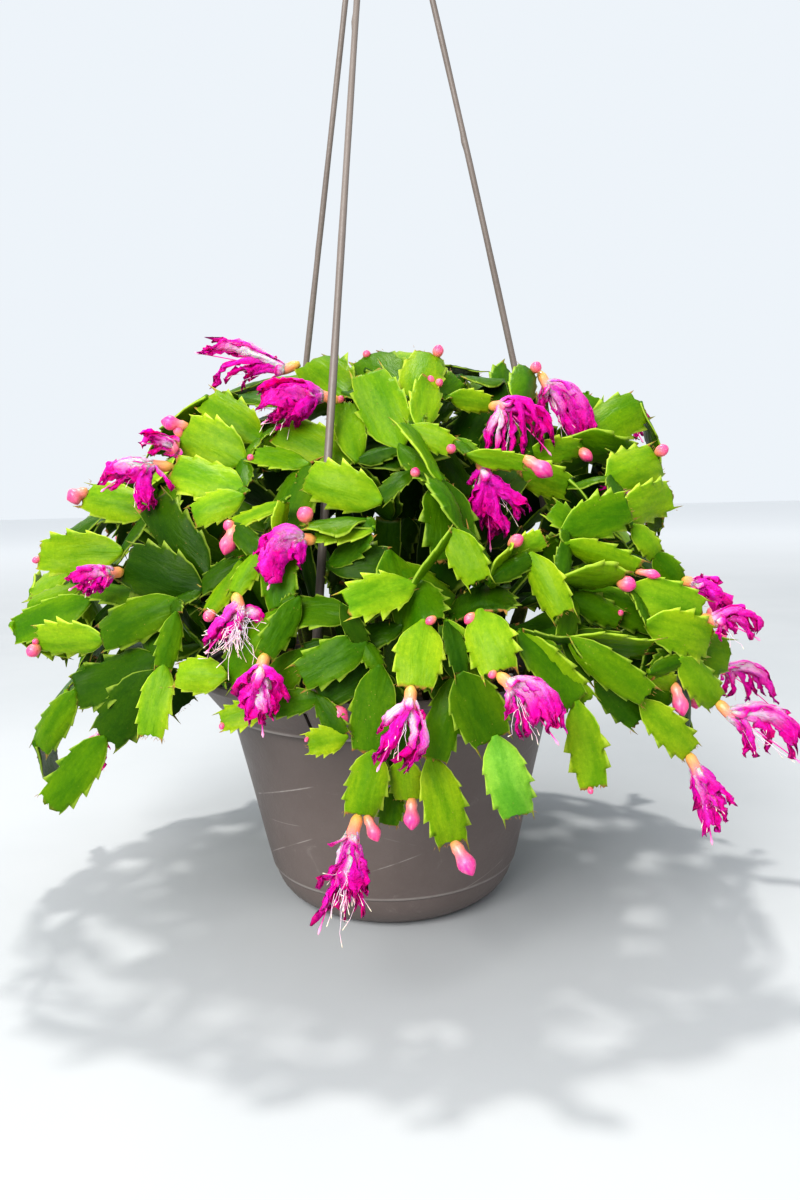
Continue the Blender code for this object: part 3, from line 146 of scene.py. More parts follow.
# The leaf segments of the front: name, the segment it grows from, base, tip and width in the view,
# the depth offsets of base and tip, the roll about its own axis in degrees, and its tone
# (0 dark old green, 1 young lime, 2 bluish mint).
LEAVES = [
    ("a1", "", 152, 510, 84, 494, 35, 10, 4, 10, 0.85),
    ("a2", "", 207, 576, 150, 500, 45, 12, 12, -8, 0.12),
    ("a3", "", 135, 518, 103, 518, 13, 22, 20, 30, 0.2),
    ("a3b", "a3", 103, 518, 66, 535, 14, 20, 18, 30, 0.25),
    ("a4", "", 121, 552, 39, 556, 38, 4, 0, 6, 0.85),
    ("a5", "", 200, 591, 125, 562, 55, 6, 4, -5, 0.08),
    ("a6", "", 71, 573, 32, 592, 16, 16, 14, 35, 0.8),
    ("a7", "", 82, 588, 28, 604, 17, 12, 10, 35, 0.7),
    ("a8", "", 88, 602, 13, 632, 34, 8, 6, 10, 0.5),
    ("a9", "", 147, 600, 87, 585, 22, 8, 8, 25, 0.35),
    ("a10", "", 176, 602, 100, 638, 38, 4, 0, 10, 0.35),
    ("a11", "a10", 101, 640, 36, 638, 30, 0, -2, -20, 0.95),
    ("a12", "", 176, 615, 163, 669, 25, 0, -2, 0, 0.45),
    ("a13", "", 158, 660, 73, 693, 46, 4, 6, 8, 0.15),
    ("a14", "", 156, 674, 103, 740, 46, 0, -2, 0, 0.15),
    ("a15", "a13", 73, 694, 39, 749, 26, 6, 4, 10, 0.5),
    ("a16", "a14", 103, 740, 48, 806, 38, -2, -4, 0, 0.45),
    ("a17", "a12", 163, 670, 150, 739, 36, -4, -8, 0, 0.95),
    ("a18", "", 224, 676, 176, 674, 34, 0, -4, 20, 0.9),
    ("a19", "", 282, 611, 222, 680, 35, 2, 0, 12, 0.6),
    ("a20", "", 264, 708, 220, 722, 28, 4, 0, 20, 0.9),
    ("b1", "", 243, 460, 183, 430, 46, 10, 6, 0, 0.92),
    ("b2", "", 241, 490, 172, 470, 42, 4, 2, 5, 0.95),
    ("b3", "", 259, 440, 205, 398, 36, 14, 10, 10, 0.8),
    ("b4", "", 241, 497, 192, 517, 34, 0, -4, 0, 0.95),
    ("b5", "", 307, 465, 252, 456, 19, 12, 8, 25, 0.65),
    ("b6", "", 353, 465, 277, 429, 42, 26, 16, 0, 0.75),
    ("b7", "", 356, 461, 344, 401, 25, 24, 18, 20, 0.6),
    ("b8", "", 400, 447, 367, 371, 45, 22, 18, 10, 0.78),
    ("b9", "", 399, 388, 366, 357, 30, 20, 20, 10, 0.4),
    ("b10", "", 345, 395, 310, 362, 34, 16, 14, 10, 0.6),
    ("b11", "", 379, 501, 307, 475, 45, 2, -4, 5, 0.88),
    ("b12", "", 282, 504, 232, 525, 17, 2, -2, 30, 0.85),
    ("b13", "", 277, 535, 284, 501, 14, 2, -2, 30, 0.7),
    ("b14", "", 363, 521, 306, 522, 9, 2, -3, 75, 0.4),
    ("b15", "", 372, 529, 313, 535, 22, 2, -5, 35, 0.88),
    ("b16", "", 260, 553, 233, 594, 20, 0, -2, 30, 0.85),
    ("b17", "", 241, 562, 208, 612, 19, 2, 0, 30, 0.8),
    ("b18", "", 330, 565, 391, 560, 38, 16, 14, 0, 0.15),
    ("b19", "", 412, 585, 343, 607, 40, 2, -8, 15, 0.9),
    ("b20", "", 350, 615, 283, 614, 36, 4, 0, 12, 0.32),
    ("b21", "", 364, 644, 298, 678, 44, 2, -2, 5, 0.34),
    ("b22", "", 372, 667, 318, 697, 40, 8, 4, -8, 0.15),
    ("b23", "", 400, 628, 352, 645, 30, 10, 8, 12, 0.2),
    ("b24", "", 302, 652, 260, 706, 35, 10, 8, 0, 0.45),
    ("c1", "", 413, 400, 430, 353, 32, 10, 8, 10, 0.88),
    ("c2", "", 419, 427, 430, 380, 20, 6, 4, 30, 0.8),
    ("c3", "", 440, 397, 457, 378, 18, 16, 14, 20, 0.5),
    ("c4", "", 501, 382, 459, 378, 9, 32, 26, 70, 0.3),
    ("c5", "", 451, 397, 491, 404, 24, 22, 18, 20, 0.8),
    ("c6", "", 500, 402, 509, 372, 11, 62, 58, 60, 0.4),
    ("c7", "", 518, 405, 529, 369, 18, 16, 10, 20, 0.4),
    ("c8", "", 412, 428, 453, 448, 28, 4, 0, 15, 0.88),
    ("c9", "", 461, 529, 438, 478, 11, 4, 0, 65, 0.4),
    ("c10", "c9", 438, 477, 400, 423, 16, 0, 2, 45, 0.6),
    ("c11", "", 442, 484, 411, 473, 14, 6, 4, 40, 0.5),
    ("c12", "", 470, 455, 526, 463, 22, 14, 8, 30, 0.88),
    ("c13", "", 530, 452, 581, 448, 22, 32, 32, 30, 0.8),
    ("c14", "", 519, 469, 569, 488, 36, 30, 30, 10, 0.88),
    ("c15", "", 590, 540, 550, 508, 28, 4, 2, 20, 0.5),
    ("c16", "", 585, 434, 587, 394, 30, 48, 40, 10, 0.6),
    ("c17", "", 580, 440, 642, 404, 45, 42, 34, 5, 0.6),
    ("c18", "", 571, 439, 631, 455, 11, 30, 28, 65, 0.5),
    ("c19", "", 609, 478, 659, 458, 38, 10, 4, 8, 0.8),
    ("c20", "", 622, 511, 673, 494, 30, 4, 0, 15, 0.88),
    ("c21", "", 565, 530, 631, 505, 40, 6, 2, 10, 0.5),
    ("c22", "", 634, 527, 657, 556, 24, 8, 6, 0, 0.9),
    ("c23", "c22", 657, 556, 680, 584, 26, 6, 6, 0, 0.45),
    ("c24", "", 567, 543, 640, 569, 25, 2, -2, 30, 0.75),
    ("c25", "", 630, 589, 703, 614, 40, 0, -4, 8, 0.95),
    ("c26", "", 562, 579, 620, 582, 9, 2, -2, 70, 0.6),
    ("c27", "", 577, 586, 660, 626, 36, 6, 4, 10, 0.42),
    ("c28", "", 648, 624, 711, 642, 38, 2, 0, 12, 0.82),
    ("c29", "", 678, 650, 731, 655, 36, 0, -2, 5, 0.55),
    ("c30", "", 681, 659, 718, 703, 26, -2, -6, 5, 0.8),
    ("c31", "", 642, 702, 692, 753, 31, 4, 0, 5, 0.92),
    ("c32", "", 577, 704, 594, 789, 38, 0, -4, 5, 0.92),
    ("c33", "", 520, 633, 588, 704, 34, 2, -2, 15, 0.7),
    ("c34", "", 570, 640, 651, 698, 36, 4, 0, 12, 0.55),
    ("c35", "", 562, 640, 652, 644, 9, 2, -2, 70, 0.6),
    ("c36", "", 573, 634, 648, 652, 25, 8, 6, 15, 0.28),
    ("c37", "", 532, 556, 564, 616, 36, -2, -6, 8, 0.88),
    ("c38", "", 453, 532, 480, 583, 38, 0, -4, 8, 0.7),
    ("c39", "", 489, 580, 509, 553, 9, 2, 0, 70, 0.6),
    ("c40", "c39", 509, 553, 545, 537, 26, 0, -4, 10, 0.9),
    ("c41", "", 612, 641, 678, 664, 50, 10, 8, 0, 0.2),
    ("c42", "", 597, 678, 640, 722, 28, 8, 6, 0, 0.3),
    ("c43", "", 643, 680, 667, 708, 26, 12, 10, 0, 0.25),
    ("c44", "", 650, 672, 674, 686, 17, 8, 4, 20, 0.85),
    ("c45", "", 572, 596, 622, 620, 28, 14, 12, 0, 0.35),
    ("e31", "", 458, 440, 481, 461, 15, 22, 16, 20, 0.5),
    ("e32", "", 578, 424, 600, 404, 20, 74, 70, 0, 0.5),
    ("e33", "", 600, 452, 634, 470, 20, 44, 40, 10, 0.5),
    ("d1", "", 408, 583, 425, 625, 44, 2, -2, 10, 0.33),
    ("d2", "d1", 423, 624, 415, 689, 48, -2, -8, 0, 0.98),
    ("d3", "", 480, 588, 480, 614, 48, 8, -4, 20, 0.12),
    ("d4", "d3", 480, 612, 500, 673, 50, -4, -10, 0, 0.98),
    ("d5", "", 447, 622, 490, 684, 27, 2, 0, 25, 0.85),
    ("d6", "", 461, 676, 493, 742, 54, 2, 0, -5, 0.35),
    ("d7", "", 456, 678, 434, 762, 38, 6, 4, 5, 0.4),
    ("d8", "", 379, 668, 368, 754, 48, 6, 4, 5, 0.4),
    ("d9", "d6", 495, 738, 519, 818, 45, -2, -4, 0, 2.0),
    ("d10", "d7", 430, 763, 453, 845, 42, 2, 0, 0, 0.85),
    ("d11", "d8", 374, 755, 359, 817, 44, 2, 0, -5, 0.85),
    ("d12", "", 403, 760, 408, 801, 34, 8, 4, 10, 0.88),
    ("d13", "", 394, 788, 388, 826, 28, 12, 12, 0, 0.4),
    ("d14", "", 344, 737, 306, 744, 31, 2, -4, 0, 0.92),
    ("e1", "", 298, 600, 264, 656, 30, 5, 2, 0, 0.35),
]

# The blooms: name, the leaf it grows from, and the view points of its start, its throat, its middle
# and its tip, the width of its petals in the view, the depth offset, and how its petals lie
# (0 drooping closed, 1 flared open).
FLOWERS = [
    ("A", "b2", [(172, 466), (150, 466), (128, 474), (106, 480)], 34, 0, 0.9),
    ("B", "b10", [(303, 375), (284, 375), (245, 366), (208, 358)], 30, 12, 0.8),
    ("C", "b7", [(326, 405), (313, 399), (288, 402), (262, 408)], 42, 8, 0.7),
    ("D", "b14", [(319, 546), (305, 544), (288, 554), (274, 570)], 44, -4, 0.5),
    ("E", "c5", [(489, 406), (501, 407), (517, 422), (520, 446)], 40, 6, 0.9),
    ("F", "c7", [(532, 375), (543, 387), (560, 407), (578, 430)], 44, 10, 0.5),
    ("G", "e31", [(482, 464), (485, 475), (492, 500), (496, 530)], 38, -2, 0.8),
    ("H", "c23", [(680, 578), (691, 582), (706, 592), (724, 604)], 30, 6, 0.8),
    ("I", "c28", [(700, 618), (713, 620), (732, 622), (752, 632)], 28, 2, 0.7),
    ("J", "c29", [(709, 668), (724, 670), (748, 678), (764, 696)], 30, -2, 0.8),
    ("K", "c30", [(718, 702), (732, 714), (764, 722), (796, 744)], 34, -6, 0.9),
    ("L", "c31", [(690, 756), (697, 770), (708, 796), (724, 826)], 30, 0, 0.5),
    ("M", "d4", [(499, 673), (511, 684), (531, 700), (550, 722)], 42, -12, 0.35),
    ("N", "d2", [(411, 690), (409, 706), (405, 735), (392, 764)], 40, -12, 0.5),
    ("O", "b17", [(245, 590), (243, 603), (236, 622), (228, 642)], 44, -6, 0.9),
    ("P", "b24", [(263, 658), (260, 671), (257, 694), (257, 719)], 42, -6, 0.4),
    ("Q", "d11", [(358, 817), (352, 836), (346, 868), (343, 908)], 40, -4, 0.7),
    ("R", "a4", [(124, 573), (112, 574), (92, 576), (74, 584)], 28, -2, 0.7),
    ("S", "e33", [(638, 472), (635, 480), (628, 488), (618, 494)], 28, 40, 0.5),
    ("T", "e32", [(604, 402), (616, 406), (632, 413), (643, 424)], 30, 40, 0.9),
    ("U", "b1", [(183, 448), (176, 452), (162, 452), (148, 450)], 18, 12, 0.5),
]

# The buds: the view points of base and tip, the width in the view, and how far its tip has turned magenta.
BUDS = [
    (184, 424, 157, 418, 15, 0.7), (184, 440, 166, 436, 13, 0.6), (84, 490, 64, 499, 17, 0.2),
    (257, 466, 253, 461, 7, 0.1), (216, 529, 205, 533, 12, 0.2), (241, 527, 231, 556, 17, 0.3),
    (301, 523, 294, 508, 17, 0.2), (334, 407, 333, 399, 7, 0.1), (364, 354, 364, 346, 8, 0.1),
    (436, 358, 440, 346, 11, 0.1), (432, 385, 428, 377, 7, 0.1), (444, 382, 451, 377, 8, 0.1),
    (534, 370, 541, 360, 11, 0.2), (448, 455, 454, 447, 10, 0.2), (413, 490, 415, 480, 10, 0.2),
    (444, 538, 438, 526, 13, 0.1), (522, 534, 536, 524, 13, 0.1), (528, 459, 556, 477, 18, 0.7),
    (574, 449, 586, 461, 12, 0.3), (626, 461, 631, 458, 5, 0.1), (649, 457, 662, 450, 12, 0.2),
    (628, 568, 653, 573, 10, 0.5), (620, 583, 639, 586, 16, 0.5), (617, 615, 617, 609, 6, 0.3),
    (394, 599, 394, 609, 9, 0.1), (474, 610, 464, 620, 11, 0.1), (444, 629, 434, 635, 9, 0.1),
    (496, 672, 490, 679, 8, 0.1), (32, 646, 20, 656, 13, 0.2), (35, 641, 29, 643, 6, 0.2),
    (46, 560, 37, 562, 7, 0.2), (222, 610, 212, 619, 12, 0.2), (202, 658, 194, 664, 10, 0.2),
    (228, 722, 226, 729, 6, 0.3), (332, 697, 355, 718, 17, 0.3), (330, 727, 328, 731, 4, 0.3),
    (412, 797, 412, 829, 17, 0.6), (453, 841, 472, 875, 19, 0.7), (366, 816, 378, 842, 14, 0.3),
    (671, 681, 680, 714, 16, 0.4), (590, 790, 592, 797, 6, 0.2),
]


# The outline of the foliage in the front view, and the part of the view that the basket hides
OUTLINE_VIEW = [
    (38, 806), (104, 768), (128, 742), (168, 738), (196, 704), (228, 722), (246, 704), (560, 704), (586, 716), (640, 716), (688, 752), (700, 728), (722, 664),
    (716, 622), (700, 596), (684, 566), (664, 548), (672, 500), (664, 476), (656, 440), (640, 402), (590, 390), (520, 372), (450, 352), (400, 352),
    (330, 358), (268, 370), (214, 398), (170, 418), (120, 478), (84, 486), (74, 524), (40, 548), (40, 576), (14, 620), (26, 656), (78, 664), (36, 744),
]
BASKET_VIEW = (246, 534, 690, 912)


def in_view(p):
    """Whether a point lies within the outline of the foliage in the front view, or behind the basket."""
    px, py = seen_at(p)
    if p.y > 0 and BASKET_VIEW[0] < px < BASKET_VIEW[1] and BASKET_VIEW[2] < py < BASKET_VIEW[3]:
        return True
    inside = False
    for (x0, y0), (x1, y1) in zip(OUTLINE_VIEW, OUTLINE_VIEW[1:] + OUTLINE_VIEW[:1]):
        if (y0 > py) != (y1 > py) and px < x0 + (x1 - x0) * (py - y0) / (y1 - y0):
            inside = not inside
    return inside


def unit(v):
    return v.normalized() if v.length > 1e-9 else Vector((0, 0, 1))


def square_to(axis, want):
    """The unit vector nearest to the wanted one that is square to the axis."""
    n = want - axis * want.dot(axis)
    if n.length < 1e-3:
        n = Vector((0, 0, 1)) - axis * axis.z
    if n.length < 1e-3:
        n = Vector((1, 0, 0)) - axis * axis.x
    return n.normalized()


def turned(v, axis, degrees):
    a = math.radians(degrees)
    return v * math.cos(a) + axis.cross(v) * math.sin(a) + axis * axis.dot(v) * (1 - math.cos(a))


def blade(a, b, n, width, thick, more=0.0, inner=False):
    """The plain solid of one segment, flat below and ridged along its middle: widest past its middle, or even for an inner one."""
    axis = unit(b - a)
    side = axis.cross(n).normalized()
    length = (b - a).length
    verts = []
    rings = ((-2.4 / length, 0.74), (1.0 + more * 0.5 / length, 0.82)) if inner else ((-2.4 / length, 0.40), (0.58, 1.0), (1.0 + more * 0.5 / length, 0.58))
    for t, w in rings:
        c = a + axis * (t * length)
        hw, hh = w * width / 2 + more, w * (thick + 0.4) / 2 + more
        verts += [c + side * hw - n * hh * 0.8, c + n * hh * 1.2, c - side * hw - n * hh * 0.8]
    top = 3 * (len(rings) - 1)
    faces = [(2, 1, 0), (top, top + 1, top + 2)]
    for r in range(0, top, 3):
        for k in range(3):
            j = (k + 1) % 3
            faces += [(r + k, r + j, r + 3 + j, r + 3 + k)]
    return verts, faces


def pod(points, radii, sides=6):
    """A closed round body along a line of points, with a radius at each."""
    verts, faces = [], []
    n = None
    for i, p in enumerate(points):
        axis = unit(points[min(i + 1, len(points) - 1)] - points[max(i - 1, 0)])
        n = square_to(axis, n if n else Vector((0.3, -1, 0.2)))
        s = axis.cross(n)
        for k in range(sides):
            a = 2 * math.pi * k / sides
            verts.append(p + (n * math.cos(a) + s * math.sin(a)) * radii[i])
    for i in range(len(points) - 1):
        for k in range(sides):
            j = (k + 1) % sides
            faces.append((i * sides + k, i * sides + j, (i + 1) * sides + j, (i + 1) * sides + k))
    faces.append(tuple(range(sides))[::-1])
    faces.append(tuple((len(points) - 1) * sides + k for k in range(sides)))
    return verts, faces


def turned_shell(profile, sides=28):
    """A coarse open surface of revolution, from (radius, height) pairs."""
    verts, faces = [], []
    for r, z in profile:
        for k in range(sides):
            a = 2 * math.pi * k / sides
            verts.append(Vector((r * math.cos(a), r * math.sin(a), z)))
    for i in range(len(profile) - 1):
        for k in range(sides):
            j = (k + 1) % sides
            faces.append((i * sides + k, i * sides + j, (i + 1) * sides + j, (i + 1) * sides + k))
    return verts, faces


def strand_ends():
    """The foot and the top of each of the three strands."""
    found = []
    for k in range(3):
        a = math.radians(STRAND_TURN + 120 * k)
        foot = Vector((STRAND_R * math.sin(a), -STRAND_R * math.cos(a), RIM_Z))
        top = HUB_AT + Vector((HUB_R * math.sin(a), -HUB_R * math.cos(a), 0))
        found.append((foot, top))
    return found


def strand_line(foot, top, k, steps=12):
    """A strand's centre line: nearly straight, with the slight bow that its own weight and set give it."""
    out = Vector((foot.x, foot.y, 0)).normalized()
    bow = STRAND_BOW[k]
    return [foot.lerp(top, i / steps) + out * (bow * 4 * (i / steps) * (1 - i / steps)) for i in range(steps + 1)]


class Space:
    """The bodies placed so far, for keeping new ones clear of them."""

    def __init__(self):
        self.trees, self.low, self.high, self.tag = [], [], [], []
        self.verts, self.faces, self.built, self.one = [], [], 0, None

    def add(self, shape, tag):
        verts, faces = shape
        first = len(self.verts)
        self.verts += [tuple(v) for v in verts]
        self.faces += [tuple(first + i for i in f) for f in faces]
        self.trees.append(BVHTree.FromPolygons([tuple(v) for v in verts], faces))
        a = np.array([tuple(v) for v in verts])
        self.low.append(a.min(0))
        self.high.append(a.max(0))
        self.tag.append(tag)

    def first_hit(self, start, way):
        """How far along a sight line the first body lies, or None."""
        if self.built != len(self.trees):
            self.one = BVHTree.FromPolygons(self.verts, self.faces)
            self.built = len(self.trees)
        return self.one.ray_cast(start, way)[3]

    def clear(self, shape, skip=()):
        verts, faces = shape
        a = np.array([tuple(v) for v in verts])
        lo, hi = a.min(0), a.max(0)
        if lo[2] < 3.0:
            return False
        if not self.trees:
            return True
        near = np.all((np.array(self.low) < hi) & (np.array(self.high) > lo), axis=1)
        tree = None
        for i in np.nonzero(near)[0]:
            if self.tag[i] in skip:
                continue
            tree = tree or BVHTree.FromPolygons([tuple(v) for v in verts], faces)
            if tree.overlap(self.trees[i]):
                return False
        return True


def grow():
    """The whole plant: its segments, buds and blooms, none of which runs through another."""
    rng = random.Random(11)
    space = Space()
    pot = turned_shell([(FOOT_R, 0), (RING_R, RING_Z), (BODY_R + 0.5, COLLAR_Z), (RIM_R + 0.6, RIM_Z - 6), (RIM_R + 0.6, RIM_Z + 0.6), (RIM_R - 3.0, RIM_Z + 0.6), (BODY_R - 3.0, COLLAR_Z), (BODY_R - 3.5, SOIL_Z + 0.6), (1, SOIL_Z + 0.3)])
    space.add(pot, "pot")
    for k, (foot, top) in enumerate(strand_ends()):
        line = strand_line(foot, top, k, 6)
        space.add(pod(line, [3.0] * len(line), 6), "strand")
        out = Vector((foot.x, foot.y, 0)).normalized()
        tab = [foot + out * 0.5 + Vector((0, 0, 8)), foot + out * 0.5, foot - out * 7 + Vector((0, 0, -24))]
        space.add(pod(tab, [5.5, 6.0, 5.5], 6), "strand")

    parts = []     # segments
    tips = {}      # name -> index

    def put(name, stem, parent, a, b, n, width, thick, tone, kind, wide=None):
        parts.append(dict(name=name, stem=stem, parent=parent, a=a, b=b, n=n, w=width, t=thick, tone=tone, kind=kind))
        space.add(blade(a, b, n, width, thick, 0.0, kind == "inner"), len(parts) - 1)
        return len(parts) - 1

    def kin(i):
        """A segment and those it may touch: itself, its parent, and its siblings."""
        if i is None:
            return set()
        found = {i}
        for j, p in enumerate(parts):
            if p["parent"] == i:
                found.add(j)
        return found

    # 1. The rooted stems, spread evenly over the dome, up to about two thirds of its radius.
    for s in range(STEMS):
        share = (s + 0.5) / STEMS
        az = math.radians(137.508 * s + 20)
        out = Vector((math.sin(az), -math.cos(az), 0))
        root = out * (6 + 68 * math.sqrt(1 - share)) + Vector((0, 0, SOIL_Z + 1.9))
        lift = math.asin(0.10 + 0.86 * share)
        aim = out * math.cos(lift) + Vector((0, 0, math.sin(lift)))
        reach = 60.0
        while dome(DOME_AT + aim * reach) < 1.0:
            reach += 2.0
        end = DOME_AT + aim * (reach * 0.60)
        end.z = max(end.z, RIM_Z + 16)
        ctrl = root + out * 14 + Vector((0, 0, 62 + 22 * share))
        done = False
        for attempt in range(14):
            c = ctrl + Vector([rng.uniform(-1, 1) * 4 * attempt for _ in range(3)]) * (1 if attempt else 0)
            e = end + Vector([rng.uniform(-1, 1) * 3 * attempt for _ in range(3)])
            curve = [root.lerp(c, u).lerp(c.lerp(e, u), u) for u in [i / 40 for i in range(41)]]
            total = sum((curve[i + 1] - curve[i]).length for i in range(40))
            count = max(2, round(total / 46))
            joints, walked, step = [curve[0]], 0.0, total / count
            for i in range(40):
                walked += (curve[i + 1] - curve[i]).length
                if walked >= step * len(joints) - 1e-6 and len(joints) < count:
                    joints.append(curve[i + 1])
            joints.append(curve[-1])
            plan, ok = [], True
            roll = rng.uniform(-40, 40)
            for i in range(count):
                a, b = joints[i], joints[i + 1]
                axis = unit(b - a)
                n = turned(square_to(axis, out * 0.6 + Vector((0, 0, 1))), axis, roll * (1 - i / count))
                w = 11 + 8 * i / count
                th = 5.0 - 1.6 * i / count
                base = a + axis * 2.6 if i == 0 else a
                if not space.clear(blade(base, b, n, w, th, 0.8, True), {"pot"} if i == 0 else ()):
                    ok = False
                    break
                plan.append((base, b, n, w, th))
            if ok:
                last = None
                for i, (a, b, n, w, th) in enumerate(plan):
                    last = put("s%d_%d" % (s, i), s, last, a, b, n, w, th, 0.1, "inner")
                done = True
                break
        if not done:
            print("stem left out", s)

    def level(a, b):
        """Slides a leaf's tip along its sight line until the leaf is no longer than it can be."""
        d = unit(b - VIEW_AT)
        near = VIEW_AT + d * (a - VIEW_AT).dot(d)
        flat = (near - a).length
        most = min(56.0, max(flat * 1.01, 1.16 * flat, 33.0))
        if (b - a).length <= most:
            return b
        slide = math.sqrt(max(0.0, most * most - flat * flat))
        return near + d * (slide if (b - near).dot(d) > 0 else -slide)

    # 2. The leaves of the front, each set back or rolled a little where it would run into another.
    order = list(LEAVES)
    dropped = []
    starts = []
    for name, parent, bx, by, tx, ty, wide, ob, ot, roll, tone in order:
        if parent and parent not in tips:
            dropped.append(name)
            continue
        up = tips.get(parent)
        placed = False
        tries = [(dr, db, dt, sc) for sc in (1.0, 0.88, 0.76) for dr in (0, 14, -14, 28, -28, 45, -45) for db in (0, 7, 14, 22, -6) for dt in (0, 6, 12, 20, 28, -6, -12)]
        tries.sort(key=lambda q: abs(q[0]) / 9 + abs(q[1]) / 7 + abs(q[2]) / 7 + (1 - q[3]) * 26)
        for dr, db, dt, sc in tries:
            if up is not None:
                if db:
                    continue
                pb = parts[up]["b"]
                pax = unit(pb - parts[up]["a"])
                side = pax.cross(parts[up]["n"])
                want = VIEW_AT + sight(bx, by) * (pb - VIEW_AT).length
                a = pb + side * max(-0.2, min(0.2, (want - pb).dot(side) / parts[up]["w"])) * parts[up]["w"] - pax * 0.8
            else:
                a = on_dome(bx, by, ob + db)
            b = on_dome(tx, ty, ot + dt)
            b = level(a, b)
            if (b - a).length < 12:
                if abs(dt) + abs(db) > 0:
                    continue
                b = a + unit(b - a) * 14.0
            axis = unit(b - a)
            mid = (a + b) / 2
            look = unit(VIEW_AT - mid)
            bulge = unit(Vector(((mid.x - 5) / 1.4, mid.y * 1.2, (mid.z - 100) * 1.1)))
            n = square_to(axis, look * 0.7 + bulge * 0.3)
            n = turned(n, axis, roll + dr)
            scale = VIEW_F / (mid - VIEW_AT).dot(FW)
            face = max(0.45, abs(n.dot(look)))
            w = wide / scale / face * sc
            w = max(8.0, min(31.0, w))
            if abs(roll) >= 50:
                w = 22.0 * sc
            if space.clear(blade(a, b, n, w, 3.0, 0.5), kin(up)):
                i = put(name, None, up, a, b, n, w, 3.0, tone, "leaf")
                tips[name] = i
                if up is None:
                    starts.append(i)
                placed = True
                break
        if not placed:
            dropped.append(name)
    note = ["front leaves left out: " + " ".join(dropped)]

    # 3. The buds and blooms of the front. Each bloom is a separate body a little clear of the end that carries it.
    buds, blooms = [], []

    def free_ends():
        """The segments that nothing grows from yet."""
        used = {p["parent"] for p in parts} | {q["leaf"] for q in blooms}
        return [j for j, p in enumerate(parts) if p["kind"] in ("leaf", "fill") and j not in used]

    def end_point(j, want):
        """The point of a segment's end edge that is nearest to a point."""
        p = parts[j]
        axis = unit(p["b"] - p["a"])
        side = axis.cross(p["n"])
        k = max(-0.22, min(0.22, (want - p["b"]).dot(side) / p["w"]))
        return p["b"] + side * (k * p["w"]) - axis * 1.2, axis

    def set_bud(j, base, tip, width, pink):
        line = [base, base.lerp(tip, 0.22), base.lerp(tip, 0.55), base.lerp(tip, 0.85), tip]
        radii = [0.26 * width, 0.34 * width, 0.5 * width, 0.36 * width, 0.1 * width]
        shape = pod([line[0], line[2], line[4]], [radii[0], radii[2], radii[4]], 4)
        if not space.clear(pod([line[0], line[2], line[4]], [r + 0.4 for r in (radii[0], radii[2], radii[4])], 4), kin(j)):
            return False
        space.add(shape, j)
        buds.append(dict(leaf=j, stem=parts[j]["stem"], a=base, b=tip, w=width, pink=pink))
        return True

    def set_bloom(name, j, points, width, flare, stay=(1.0, 1.0, 1.0), seen=False, kinds=10):
        a, axis = end_point(j, points[0])
        d = unit(points[1] - points[0])
        for gap, scale in ((2.2, 1.0), (3.4, 1.0), (4.8, 1.0), (3.4, 0.85), (3.4, 0.72), (4.8, 0.85), (4.8, 0.72), (6.0, 0.6), (6.0, 0.5), (9.0, 0.5))[:kinds]:
            for push in (0, -4, -8, -13, 5, -19, 10, 16, -26, -34):
                start = a + axis * (gap * 0.5) + d * (gap * 0.5)
                shift = start - points[0]
                line = [start] + [p + shift * keep_share + (VIEW_AT - p).normalized() * (-push * k / 3) for (k, p), keep_share in zip(enumerate(points[1:], 1), stay)]
                r = width * 0.5 * scale
                radii = [2.0, 2.6, r * 0.74, r * 0.45]
                if seen and sum(1 for p in line[1:] if (space.first_hit(VIEW_AT, (p - VIEW_AT).normalized()) or 9999) > (p - VIEW_AT).length - 1) < 2:
                    continue
                if space.clear(pod(line, [q + 0.35 for q in radii], 5), ()):
                    space.add(pod(line, radii, 5), name)
                    blooms.append(dict(name=name, leaf=j, stem=parts[j]["stem"], line=line, radii=radii, w=width * scale, want=width, flare=flare))
                    return True
        return False

    def front_buds(rows):
        """Sets each bud on the end of the segment nearest to it, and returns those that found no place."""
        lost = []
        for row in rows:
            bx, by, tx, ty, wide, pink = row
            near = []
            for j, p in enumerate(parts):
                if p["kind"] not in ("leaf", "fill"):
                    continue
                ex, ey = seen_at(p["b"])
                away = math.hypot(ex - bx, ey - by)
                if away < 30:
                    near.append((away + 0.10 * ((parts[j]["b"] - VIEW_AT).length - 380), j))
            near.sort()
            for _, j in near[:12]:
                want = VIEW_AT + sight(bx, by) * (parts[j]["b"] - VIEW_AT).length
                base, axis = end_point(j, want)
                scale = VIEW_F / (base - VIEW_AT).dot(FW)
                ex, ey = seen_at(base)
                reach = (base - VIEW_AT).length
                tip = VIEW_AT + sight(ex + tx - bx, ey + ty - by) * (reach - 1.5)
                length = max(3.0, (tip - base).length)
                grew = False
                for size, swing in ((1.0, 0), (1.0, 25), (1.0, -25), (1.0, 60), (1.0, -60), (0.8, 0), (0.8, 40), (0.8, -40), (0.8, 90), (0.8, -90)):
                    if set_bud(j, base, base + turned(unit(tip - base), axis, swing) * (length * size), wide / scale * size, pink):
                        grew = True
                        break
                if grew:
                    break
            else:
                lost.append(row)
        return lost

